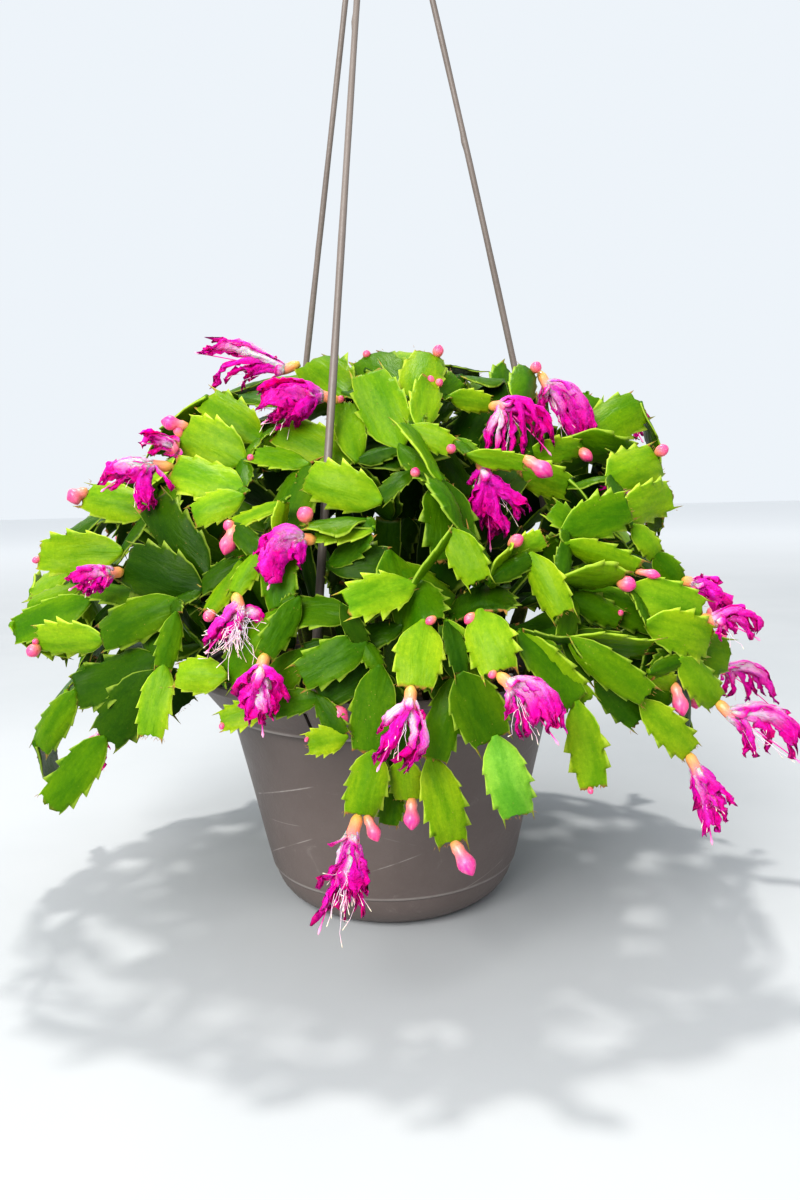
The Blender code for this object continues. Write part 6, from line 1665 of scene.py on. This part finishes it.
def bloom(q, name, rng):
    """A half-wilted bloom: tube, a few short petals turned back at its mouth, clumps of limp long ones, stamens and style."""
    bag = Bag([TUBE, PETAL, THREAD])
    axis = Axis(q["line"])
    full = axis.length
    size = max(q["w"], 0.86 * q["want"])
    first, mouth, end = q["line"][0], q["line"][1], q["line"][-1]
    way = (mouth - first).normalized()
    neck = (mouth - first).length
    tube = max(4.8, min(neck * 0.8 + 1.0, full * 0.30))
    if q["name"] in BLOOM_LOOKS:
        threads, wildness, rows = BLOOM_LOOKS[q["name"]]
        scale = (mouth - VIEW_AT).dot(FW) / VIEW_F
        at0 = MOUTHS[q["name"]]
        off = Vector(seen_at(mouth)[:2]) - Vector(at0)
        deep = (end.y - mouth.y)
        clumps = []
        for (ex, ey), (bx, by), fat, count, pale in rows:
            far = min(1.2, math.hypot(ex - at0[0], ey - at0[1]) * scale / max(8.0, (end - mouth).length))
            back = deep * far * 0.6 + rng.uniform(-2.0, 2.0)
            ends = []
            for x, y, share in ((ex, ey, 1.0), (bx, by, 0.4)):
                d = sight(x + off.x, y + off.y)
                ends.append(VIEW_AT + d * ((mouth.y + back * share - VIEW_AT.y) / d.y))
            stop, bend = ends
            clumps.append((stop, bend, fat, count, pale))
    else:
        threads, wildness, clumps = rng.randint(3, 9), 1.1, []
        across = way.cross(Vector((0, 0, 1)))
        across = across.normalized() if across.length > 0.2 else Vector((1, 0, 0))
        for k in range(rng.choice((3, 3, 4))):
            stop = end + across * rng.uniform(-10, 10) + Vector((0, 0, rng.uniform(-7, 3))) - (end - mouth) * rng.uniform(0.0, 0.35)
            clumps.append((stop, mouth.lerp(stop, 0.5) + Vector((0, 0, rng.uniform(1, 6))), rng.uniform(1.9, 3.4), rng.choice((2, 2, 3)), rng.uniform(0.1, 0.9)))
    steps = 12
    line = [axis.at(-2.2 + (tube + 4.0) * i / steps, 0, 0)[0] for i in range(steps + 1)]
    radii = [1.3 + 0.75 * min(1.0, i / 3) + 0.9 * (i / steps) ** 1.5 + 0.22 * math.sin(math.pi * min(1.0, i / 6)) for i in range(steps + 1)]
    spin(bag, line, radii, 16, lambda t, ang: (0, t, 0.5, 0.5), 0, ripple=lambda ang, t: 0.07 * math.cos(5 * ang) * t)
    rest = full - tube
    # a few short petals at the mouth of the tube, no two alike
    spun = rng.uniform(0, 6.28)
    few = rng.choice((3, 4, 4))
    top = axis.at(tube, 0, 0)[0]
    for k in range(few):
        ang = spun + 2 * math.pi * k / few + rng.uniform(-0.45, 0.45)
        length = min(size * 0.5, 3.5 + rest * 0.28) * rng.uniform(0.6, 1.1)
        back = rng.random() ** 1.8
        leafy(bag, axis, tube * rng.uniform(0.75, 1.1), 2.7, ang, length, rng.uniform(3.8, 5.6), (8, 14 + 50 * back, 14 + 110 * back), rng, 0.8, 1, 0.75, cup=0.14, droop=rng.uniform(0.0, 0.3), tip=rng.uniform(0.45, 0.7))
    # the clumps of long petals, each round a bowed line of its own
    for n, (stop, bend, fat, count, pale) in enumerate(clumps):
        bow = [top - way * 1.2]
        for i in range(1, 7):
            t = i / 6
            bow.append(top * (1 - t) ** 2 + bend * (2 * t * (1 - t)) + stop * t * t)
        path = Axis(bow)
        spun += 0.9 + rng.random()
        turn_by = rng.uniform(-1.1, 1.1)
        for k in range(count):
            ang = spun + 2 * math.pi * k / count + rng.uniform(-0.35, 0.35)
            limp(bag, path, ang, max(5.4, min(12.0, 2.5 * fat + 1.2)) * rng.uniform(0.88, 1.15), fat, rng, 0.9, 1, min(1.0, pale * rng.uniform(0.75, 1.1)),
                 reach=rng.uniform(0.80, 1.04) if k else 1.0, swirl=turn_by + rng.uniform(-0.4, 0.4), tip=rng.uniform(0.52, 0.80), kind=0.25 if n == 0 and k == 0 else 0.0)
    # stamens and style
    goals = [c[0] for c in clumps]
    lead = sum(goals, Vector()) / len(goals)
    for k in range(threads):
        goal = lead.lerp(rng.choice(goals), rng.uniform(0.0, 0.75))
        beyond = rng.uniform(0.72, 1.10 + 0.002 * threads)
        spread = Vector([rng.gauss(0, 1) for _ in range(3)]) * (1.5 * wildness)
        sag = rng.uniform(0.0, 4.0)
        stop = top + (goal - top) * beyond + spread
        bend = mouth.lerp(goal, 0.5) + way * 3.0
        stray = wildness * (0.8 if rng.random() < 0.6 else 2.2)
        pts = []
        for t in (0, 0.25, 0.45, 0.62, 0.78, 0.90, 1.0):
            at = top * (1 - t) ** 2 + bend * (2 * t * (1 - t)) + stop * t * t
            pts.append(at - Vector((0, 0, sag * t ** 3)) + noise.noise_vector(Vector((k * 1.7, t * 3.5, 3.1))) * (stray * 1.6 * t))
        pts.append(pts[-1] + (pts[-1] - pts[-2]).normalized() * 0.7)
        spin(bag, pts, [0.10, 0.10, 0.10, 0.10, 0.09, 0.09, 0.20, 0.14], 4, lambda t, a_: (0, t, 0, 0.5), 2)
    longest = max(goals, key=lambda g: (g - top).length)
    pts = []
    for t in (0, 0.25, 0.5, 0.72, 0.90, 0.95, 1.0):
        pts.append(top + (longest - top) * (1.08 * t) + way * (4.0 * t * (1 - t)) - Vector((0, 0, 2.6 * t ** 2)))
    spin(bag, pts, [0.30, 0.30, 0.28, 0.28, 0.30, 0.62, 0.26], 8, lambda t, a_: (1.0, t, 0, 0.5), 2)
    return bag.object(name)


# ================================================================ the plant
parts, keep, buds, blooms, note = grow()
for line in note:
    print(line)
carrying = {p["parent"] for p in parts}
for k, p in enumerate(parts):
    p["free"] = k not in carrying
nodes = set(frame["nodes"])
for s in range(STEMS):
    node = "stem_%02d" % (s + 1)
    if node not in nodes:
        continue
    rng = random.Random(400 + s)
    bag = Bag([LEAF, BUD])
    for j in keep:
        if parts[j]["stem"] == s:
            segment(bag, parts[j], random.Random(9000 + j))
    for q in buds:
        if q["stem"] == s:
            bud(bag, q, rng)
    made = bag.object(node + "_grown")
    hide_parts(node)
for k, q in enumerate(blooms):
    node = "flower_%02d" % (k + 1)
    if node not in nodes:
        continue
    made = bloom(q, node + "_open", random.Random(77 + k))
    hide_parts(node)

# ================================================================ the basket, the hanger and the soil


def lathe(profile, sides, name, mats, close=True, face_mat=None):
    """A turned body with a closed profile, for the fine surface of a moulded piece."""
    mesh = bpy.data.meshes.new(name)
    verts, faces = [], []
    for r, z in profile:
        for k in range(sides):
            a = 2 * math.pi * k / sides
            verts.append((r * math.cos(a) * MM, r * math.sin(a) * MM, z * MM))
    rows = len(profile)
    for i in range(rows - 1):
        for k in range(sides):
            j = (k + 1) % sides
            faces.append((i * sides + k, i * sides + j, (i + 1) * sides + j, (i + 1) * sides + k))
    first = len(verts)
    verts += [(0, 0, profile[0][1] * MM), (0, 0, profile[-1][1] * MM)]
    for k in range(sides):
        j = (k + 1) % sides
        faces.append((first, j, k))
        faces.append((first + 1, (rows - 1) * sides + k, (rows - 1) * sides + j))
    mesh.from_pydata(verts, [], faces)
    for mat in mats:
        mesh.materials.append(mat)
    mesh.update()
    mesh.shade_smooth()
    mesh.set_sharp_from_angle(angle=math.radians(38))
    made = bpy.data.objects.new(name, mesh)
    bpy.context.scene.collection.objects.link(made)
    return made


def softened(profile, radius, steps=3):
    """A profile with each corner rounded a little."""
    out = [profile[0]]
    for i in range(1, len(profile) - 1):
        p, q, r = (Vector(profile[i - 1]), Vector(profile[i]), Vector(profile[i + 1]))
        d = min(radius, (p - q).length * 0.4, (r - q).length * 0.4)
        a, b = q + (p - q).normalized() * d, q + (r - q).normalized() * d
        for k in range(steps + 1):
            t = k / steps
            out.append(tuple(a.lerp(q, t).lerp(q.lerp(b, t), t)))
    out.append(profile[-1])
    return out


def cut(obj, tools):
    """Cuts closed tools from an object and removes them."""
    for tool in tools:
        mod = obj.modifiers.new("cut", "BOOLEAN")
        mod.operation = "DIFFERENCE"
        mod.solver = "EXACT"
        mod.object = tool
    bpy.context.view_layer.update()
    mesh = bpy.data.meshes.new_from_object(obj.evaluated_get(bpy.context.evaluated_depsgraph_get()))
    obj.modifiers.clear()
    obj.data = mesh
    for tool in tools:
        bpy.data.objects.remove(tool, do_unlink=True)


def slab(name, corners):
    """A closed six-sided body from its eight corners, lower four first, in millimetres."""
    mesh = bpy.data.meshes.new(name)
    mesh.from_pydata([tuple(Vector(c) * MM) for c in corners], [], [(0, 3, 2, 1), (4, 5, 6, 7), (0, 1, 5, 4), (1, 2, 6, 5), (2, 3, 7, 6), (3, 0, 4, 7)])
    bm = bmesh.new()
    bm.from_mesh(mesh)
    bmesh.ops.recalc_face_normals(bm, faces=bm.faces)
    bm.to_mesh(mesh)
    bm.free()
    mesh.update()
    made = bpy.data.objects.new(name, mesh)
    bpy.context.scene.collection.objects.link(made)
    return made


def basket_profile():
    """The outer wall from the foot to the rim, then the inner wall back down: a rolled lip, a collar with a bead and a step, a
    tapering body with two faint swells, the fine step line above the foot, and the rounded foot."""
    low = [(1, 1.2), (30.0, 1.2), (43.0, 1.2), (44.2, 0.0), (FOOT_R, 0), (50.6, 0.7), (53.4, 1.9), (56.4, 4.0), (59.0, 6.3), (61.2, 9.2), (62.6, 11.9), (63.6, 14.6), (64.4, 17.0), (64.6, RING_Z - 0.15), (65.0, RING_Z + 0.2), (65.45, RING_Z + 0.7), (65.7, RING_Z + 1.6)]
    wall = []
    for k in range(1, 14):
        t = k / 14
        wall.append((65.7 + (BODY_R - 65.7) * t + 0.10 * math.sin(9 * t), RING_Z + 1.6 + (COLLAR_Z - 2.0 - RING_Z - 1.6) * t))
    top = [(BODY_R, COLLAR_Z - 1.9), (BODY_R + 0.25, COLLAR_Z - 1.0), (COLLAR_R - 1.2, COLLAR_Z - 0.75), (COLLAR_R - 0.2, COLLAR_Z - 0.5), (COLLAR_R + 0.35, COLLAR_Z + 0.5), (COLLAR_R + 0.45, COLLAR_Z + 1.3), (COLLAR_R + 0.75, COLLAR_Z + 2.0)]
    slope = (RIM_R - 1.2 - COLLAR_R) / (RIM_Z - 4.2 - COLLAR_Z)
    for k in range(1, 6):
        z = COLLAR_Z + 2.0 + (RIM_Z - 6.2 - COLLAR_Z) * k / 6
        top.append((COLLAR_R + 0.2 + (z - COLLAR_Z) * slope, z))
    top += [(RIM_R - 1.1, RIM_Z - 4.0), (RIM_R - 0.2, RIM_Z - 3.6), (RIM_R, RIM_Z - 2.6), (RIM_R, RIM_Z - 1.2), (RIM_R - 0.35, RIM_Z - 0.3), (RIM_R - 1.2, RIM_Z)]
    inner = [(RIM_R - 2.4, RIM_Z - 0.2), (RIM_R - 3.2, RIM_Z - 1.0), (RIM_R - 3.6, RIM_Z - 3.5), (COLLAR_R - WALL, COLLAR_Z + 2.2), (BODY_R - WALL, COLLAR_Z + 0.8), (RING_R - WALL, RING_Z + 0.6), (61.0, 12.4), (57.0, 7.4), (52.0, 4.0), (FOOT_R - 1.0, FLOOR + 0.6), (1, FLOOR + 0.6)]
    return low + wall + top + inner


def on_wall(px, py):
    """Where a point of the front view lies on the basket's wall: the angle round it and the height."""
    d = sight(px, py)
    t = 300.0
    while t < 600:
        p = VIEW_AT + d * t
        wall = RING_R + (BODY_R - RING_R) * (p.z - RING_Z) / (COLLAR_Z - RING_Z)
        if math.hypot(p.x, p.y) < wall:
            break
        t += 0.25
    return math.atan2(p.x, -p.y), p.z * MM


def score(m, lines, base, tone):
    """Fine pale scored lines on the wall, each straight round the basket between two points and broken up along its length."""
    split = m.tree.nodes.new("ShaderNodeSeparateXYZ")
    m.link(m.place(), split.inputs[0])
    x, y, z = split.outputs
    turn_at = m.math("ARCTAN2", x, m.math("MULTIPLY", y, -1.0))
    patchy = m.smooth(m.noise(55.0, 3.0, 0.6, m.place()), 0.36, 0.56)
    for (u0, z0), (u1, z1), wide, strong in lines:
        mean = 0.078
        du, dz = (u1 - u0) * mean, z1 - z0
        length = math.hypot(du, dz)
        du, dz = du / length, dz / length
        pu = m.math("MULTIPLY", m.math("SUBTRACT", turn_at, u0), mean)
        pz = m.math("SUBTRACT", z, z0)
        along = m.math("MULTIPLY_ADD", pu, du, m.math("MULTIPLY", pz, dz))
        aside = m.math("ABSOLUTE", m.math("MULTIPLY_ADD", pu, dz, m.math("MULTIPLY", pz, -du)))
        inside = m.math("MULTIPLY", m.smooth(along, -0.002, 0.004), m.math("SUBTRACT", 1.0, m.smooth(along, length - 0.004, length + 0.002)))
        line = m.math("MULTIPLY", m.math("SUBTRACT", 1.0, m.smooth(aside, wide * 0.4, wide)), inside)
        base = m.mix(m.math("MULTIPLY", m.math("MULTIPLY", line, patchy), strong), base, tone)
    return base


def ringed(m, base, tone):
    """Paler lines as painted highlights on the edge of the fine step above the foot and on the collar's lower edge, a
    paler line under the rim's lip, and a band of painted shade on the wall just under the collar.
    """
    split = m.tree.nodes.new("ShaderNodeSeparateXYZ")
    m.link(m.place(), split.inputs[0])
    z = split.outputs[2]
    # Noise that breaks up the painted highlight lines and the painted shade band.
    tip_wear_and_band_breakup = m.smooth(m.noise(36.0, 3.0, 0.6, m.place()), 0.30, 0.60)
    # The bands: a painted highlight on the step's edge, a paler line under the lip, a painted highlight on the collar's
    # lower edge, and painted shade under the collar's overhang.
    for low, high, strong, shade in ((RING_Z + 0.3, RING_Z + 1.9, 0.60, tone), (RIM_Z - 4.4, RIM_Z - 3.2, 0.4, tone), (COLLAR_Z - 0.7, COLLAR_Z + 0.9, 0.65, tone), (COLLAR_Z - 5.0, COLLAR_Z - 0.9, 0.60, (0.070, 0.056, 0.049))):
        low, high = low * MM, high * MM
        band = m.math("SUBTRACT", m.smooth(z, low, low + (0.0034 if shade != tone else 0.0006)), m.smooth(z, high - 0.0005, high + 0.0003))
        base = m.mix(m.math("MULTIPLY", m.math("MULTIPLY", band, m.math("MULTIPLY_ADD", tip_wear_and_band_breakup, 0.7, 0.3)), strong), base, shade)
    return base


scratches = [(on_wall(*a), on_wall(*b), wide, strong) for a, b, wide, strong in (
    ((257, 793), (312, 787), 0.00042, 0.9), ((270, 846), (312, 839), 0.00034, 0.7), ((500, 770), (532, 744), 0.00032, 0.6), ((372, 871), (432, 849), 0.00034, 0.7),
    ((450, 896), (502, 859), 0.00030, 0.6), ((262, 812), (300, 826), 0.00028, 0.45), ((384, 838), (420, 846), 0.00026, 0.4), ((330, 880), (352, 866), 0.00026, 0.4))]
scratches += [((1.2 + 0.7 * k, 0.040 + 0.011 * (k % 4)), (1.2 + 0.7 * k + 0.30, 0.046 + 0.009 * ((k * 3) % 5)), 0.00032, 0.6) for k in range(6)]
# The pot's colour with the painted highlight lines and painted shade band of ringed(), then the scratches.
POT_LOOK.link(score(POT_LOOK, scratches, ringed(POT_LOOK, POT_LOOK.colour, (0.33, 0.30, 0.28)), (0.32, 0.285, 0.265)), POT_LOOK.bsdf.inputs["Base Color"])
basket = lathe(basket_profile(), 224, "basket", [POT_LOOK.mat])
tools = []
for k in range(DRAINS):
    a = 2 * math.pi * (k + 0.5) / DRAINS
    bag = Bag([POT_LOOK.mat])
    at = Vector((DRAIN_AT * math.cos(a), DRAIN_AT * math.sin(a), 0))
    spin(bag, [at + Vector((0, 0, -3)), at + Vector((0, 0, FLOOR + 3))], [DRAIN_D / 2] * 2, 32, lambda t, ang: (0, 0, 0, 0), 0)
    tools.append(bag.object("drain_tool_%d" % k))
for k, (foot, top) in enumerate(strand_ends()):
    # the slot beside each clip, from the collar's lower edge to just under the lip
    out = Vector((foot.x, foot.y, 0)).normalized()
    across = Vector((-out.y, out.x, 0))
    corners = []
    for z in (COLLAR_Z - 0.2, RIM_Z - 6.0):
        for h, r in ((-6.9, BODY_R - 3.0), (-5.3, BODY_R - 3.0), (-5.3, RIM_R + 6), (-6.9, RIM_R + 6)):
            corners.append(out * r + across * h + Vector((0, 0, z)))
    tools.append(slab("slot_tool_%d" % k, corners))
cut(basket, tools)
basket.data.shade_smooth()
basket.data.set_sharp_from_angle(angle=math.radians(34))
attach(basket, "root")
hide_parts("pot")

# The hanger: strands with a flat side and small mould nubs, flat clip feet with a rib and a heel, a hub and a hook
bag = Bag([HANGER_LOOK])
NUBS = ((0.20, 0.47, 0.71), (0.33, 0.62, 0.84), (0.15, 0.52, 0.78))
for k, (foot, top) in enumerate(strand_ends()):
    line = strand_line(foot, top, k, 96)
    line.append(top.lerp(HUB_AT, 0.2) + Vector((0, 0, 4)))
    total = (top - foot).length
    radii = [(STRAND_D_FOOT + (STRAND_D_TOP - STRAND_D_FOOT) * min(1, i / 60)) / 2 * (1 + 0.03 * math.sin(i * 0.45 + k)) for i in range(len(line))]

    def knob(ang, t, k=k):
        grow = 0.0
        for at in NUBS[k]:
            grow += 0.42 * math.exp(-((t - at) * 440 / 1.9) ** 2) * max(0.0, math.cos(ang - 1.2 - at * 5)) ** 3
        return grow - 0.10 * max(0.0, math.cos(ang + 0.6)) ** 2

    spin(bag, line, radii, 14, lambda t, ang: (0.5, t, 0.5, 0.5), 0, ripple=knob)
hub_low, hub_high = HUB_AT.z - 2.0, HUB_AT.z + 9.0
rise = [(0.0, 3.9), (0.04, 5.0), (0.12, 6.3), (0.22, 7.0), (0.34, 7.2), (0.40, 6.7), (0.46, 6.6), (0.52, 7.0), (0.74, 6.7), (0.86, 5.6), (0.95, 4.2), (1.0, 3.2)]
spin(bag, [Vector((HUB_AT.x, HUB_AT.y, hub_low + (hub_high - hub_low) * t)) for t, r in rise], [r for t, r in rise], 32, lambda t, ang: (0.5, t, 0.5, 0.5), 0)
stem_line = [HUB_AT + Vector((x, 0, z)) for x, z in ((0, 6), (0, 10), (0.2, 14), (2.6, 20), (8.2, 26), (11.6, 31))]
for i in range(9):
    a = math.radians(4 + i * 205 / 8)
    stem_line.append(HUB_AT + Vector((HOOK_R * math.cos(a), 0, 38 + HOOK_R * math.sin(a))))
hook_line = curve_through(stem_line, 5)
hook_r = [HOOK_D / 2 * (1.0 if i < len(hook_line) - 4 else (1.12, 1.16, 1.0, 0.55)[i - len(hook_line) + 4]) for i in range(len(hook_line))]
spin(bag, hook_line, hook_r, 16, lambda t, ang: (0.5, t, 0.5, 0.5), 0, ripple=lambda ang, t: 0.05 * math.cos(2 * ang))
hanger = bag.object("hanger_moulded")
clips = []
for k, (foot, top) in enumerate(strand_ends()):
    out = Vector((foot.x, foot.y, 0)).normalized()
    across = Vector((-out.y, out.x, 0))
    slope = (RIM_R - COLLAR_R) / (RIM_Z - COLLAR_Z)
    high, low = RIM_Z - 1.0, COLLAR_Z - 4.4

    def bar(z0, z1, half0, half1, r0, r1, thick):
        corners = []
        for z, r, h in ((z1, r1, half1), (z0, r0, half0)):
            c = out * r + Vector((0, 0, z))
            corners += [c - across * h, c + across * h, c + across * h + out * thick, c - across * h + out * thick]
        return slab("clip_piece", corners)

    clips.append(bar(RIM_Z + 9.0, high - 0.5, 2.2, 3.5, RIM_R + 0.6, RIM_R + 0.6, 2.6))
    clips.append(bar(high, low, 3.5, 3.4, RIM_R + 0.6, RIM_R + 0.6 - (high - low) * slope + 0.4, 2.4))
    clips.append(bar(COLLAR_Z - 1.4, low, 3.2, 3.2, BODY_R + 0.7, BODY_R + 0.7, 6.0))
    clips.append(bar(RIM_Z + 5.0, low + 3.0, 0.9, 0.9, RIM_R + 3.0, RIM_R + 2.2 - (high - low - 3.0) * slope + 1.2, 0.9))
for clip in clips:
    mod = clip.modifiers.new("round", "BEVEL")
    mod.width, mod.segments, mod.limit_method = 0.6 * MM, 3, "ANGLE"
    bpy.context.view_layer.update()
    mesh = bpy.data.meshes.new_from_object(clip.evaluated_get(bpy.context.evaluated_depsgraph_get()))
    clip.modifiers.clear()
    clip.data = mesh
    mesh.materials.clear()
    mesh.materials.append(HANGER_LOOK)
    mesh.shade_smooth()
    mesh.set_sharp_from_angle(angle=math.radians(40))
with bpy.context.temp_override(active_object=hanger, object=hanger, selected_objects=[hanger] + clips, selected_editable_objects=[hanger] + clips):
    bpy.ops.object.join()
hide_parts("hanger")

# The potting mix: a lumpy surface of crumbs, bark chips and white perlite
bag = Bag([SOIL_LOOK])
rng = random.Random(5)
rings = []
for r, z in ((1, FLOOR + 1.0), (FOOT_R - 2.0, FLOOR + 1.0), (51.3, 4.9), (60.2, 12.8), (RING_R - WALL - 0.8, RING_Z + 0.8), (BODY_R - WALL - 1.5, COLLAR_Z - 1)):
    rings.append((r, z, 0.0))
for k in range(0, 41):
    t = k / 40
    rings.append(((BODY_R - WALL - 1.5) * (1 - t) + 0.8 * t, SOIL_Z - 0.9 * (1 - t) ** 6, 1.0))
pts = []
for r, z, lumpy in rings:
    row = []
    for k in range(120):
        a = 2 * math.pi * k / 120
        v = Vector((r * math.cos(a), r * math.sin(a), z))
        if lumpy:
            v.z += 1.1 * noise.noise(v * 0.11) + 0.9 * noise.noise(v * 0.31 + Vector((7, 1, 3))) - 0.5
        row.append(v)
    pts.append(row)
zero = [[(0.0, 0.0, 0.0, rng.random()) for _ in row] for row in pts]
first = bag.grid(pts, zero, (0, 0, 0, 1), 0, close_v=True)
bag.f.append(tuple(first + k for k in range(120))[::-1])
bag.m.append(0)
bag.f.append(tuple(first + (len(pts) - 1) * 120 + k for k in range(120)))
bag.m.append(0)
for k in range(420):
    a, r = rng.uniform(0, 6.283), (BODY_R - 5.5) * math.sqrt(rng.random())
    white = rng.random() < 0.2
    at = Vector((r * math.cos(a), r * math.sin(a), SOIL_Z + rng.uniform(-0.4, 0.6)))
    size = rng.uniform(0.8, 1.7) if white else rng.uniform(0.9, 3.4)
    d = unit(Vector((rng.uniform(-1, 1), rng.uniform(-1, 1), rng.uniform(-0.25, 0.25))))
    long = size * (1.0 if white else rng.uniform(1.0, 2.2))
    line = [at - d * long, at - d * long * 0.6, at + Vector((0, 0, 0.2)), at + d * long * 0.6, at + d * long]
    base_r = size * (0.9 if white else 0.5)
    chance = rng.uniform(0.86, 1.0) if white else rng.uniform(0.0, 0.6)
    ph = rng.uniform(0, 6)
    spin(bag, line, [base_r * 0.35, base_r * 0.85, base_r, base_r * 0.8, base_r * 0.3], 6, lambda t, ang: (1.0, t, 0.5, chance), 0, ripple=lambda ang, t: 0.22 * math.sin(2 * ang + ph) + 0.1 * math.sin(5 * ang + 3 * t))
mix = bag.object("potting_mix_loose")
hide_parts("soil")

# ================================================================ the floor and the light
stage_mesh = bpy.data.meshes.new("floor")
stage_mesh.from_pydata([(-6, -6, 0), (6, -6, 0), (6, 6, 0), (-6, 6, 0)], [], [(0, 1, 2, 3)])
floor = bpy.data.objects.new("floor", stage_mesh)
bpy.context.scene.collection.objects.link(floor)
f = Nodes("floor_looks")
near = f.mix(f.smooth(f.noise(3.0, 4.0, 0.6, f.place()), 0.3, 0.7), (0.425, 0.438, 0.450), (0.458, 0.468, 0.478))
spread = f.tree.nodes.new("ShaderNodeVectorMath")
spread.operation = "LENGTH"
f.link(f.place(), spread.inputs[0])
f.set(Base_Color=f.mix(f.smooth(spread.outputs["Value"], 0.8, 3.2), near, (0.86, 0.865, 0.87)))
f.bsdf.inputs["Roughness"].default_value = 0.75
stage_mesh.materials.append(f.mat)

bpy.context.scene.view_settings.view_transform = "Standard"
bpy.context.scene.view_settings.look = "Medium High Contrast"
world = bpy.data.worlds.new("studio")
bpy.context.scene.world = world
world.use_nodes = True
world.node_tree.nodes["Background"].inputs["Color"].default_value = (0.90, 0.95, 1.0, 1)
world.node_tree.nodes["Background"].inputs["Strength"].default_value = 0.80


def lamp(name, at, to, size, power, color):
    data = bpy.data.lights.new(name, "AREA")
    data.shape = "DISK"
    data.size = size
    data.energy = power
    data.color = color
    obj = bpy.data.objects.new(name, data)
    bpy.context.scene.collection.objects.link(obj)
    obj.location = at
    obj.rotation_euler = (Vector(to) - Vector(at)).to_track_quat("-Z", "Y").to_euler()
    return obj


lamp("key", (-0.16, 0.52, 2.35), (0, 0, 0.1), 0.18, 30, (1.0, 0.985, 0.94))
lamp("front_fill", (-0.7, -1.5, 1.2), (0, 0, 0.15), 1.2, 44, (1.0, 0.995, 0.97))
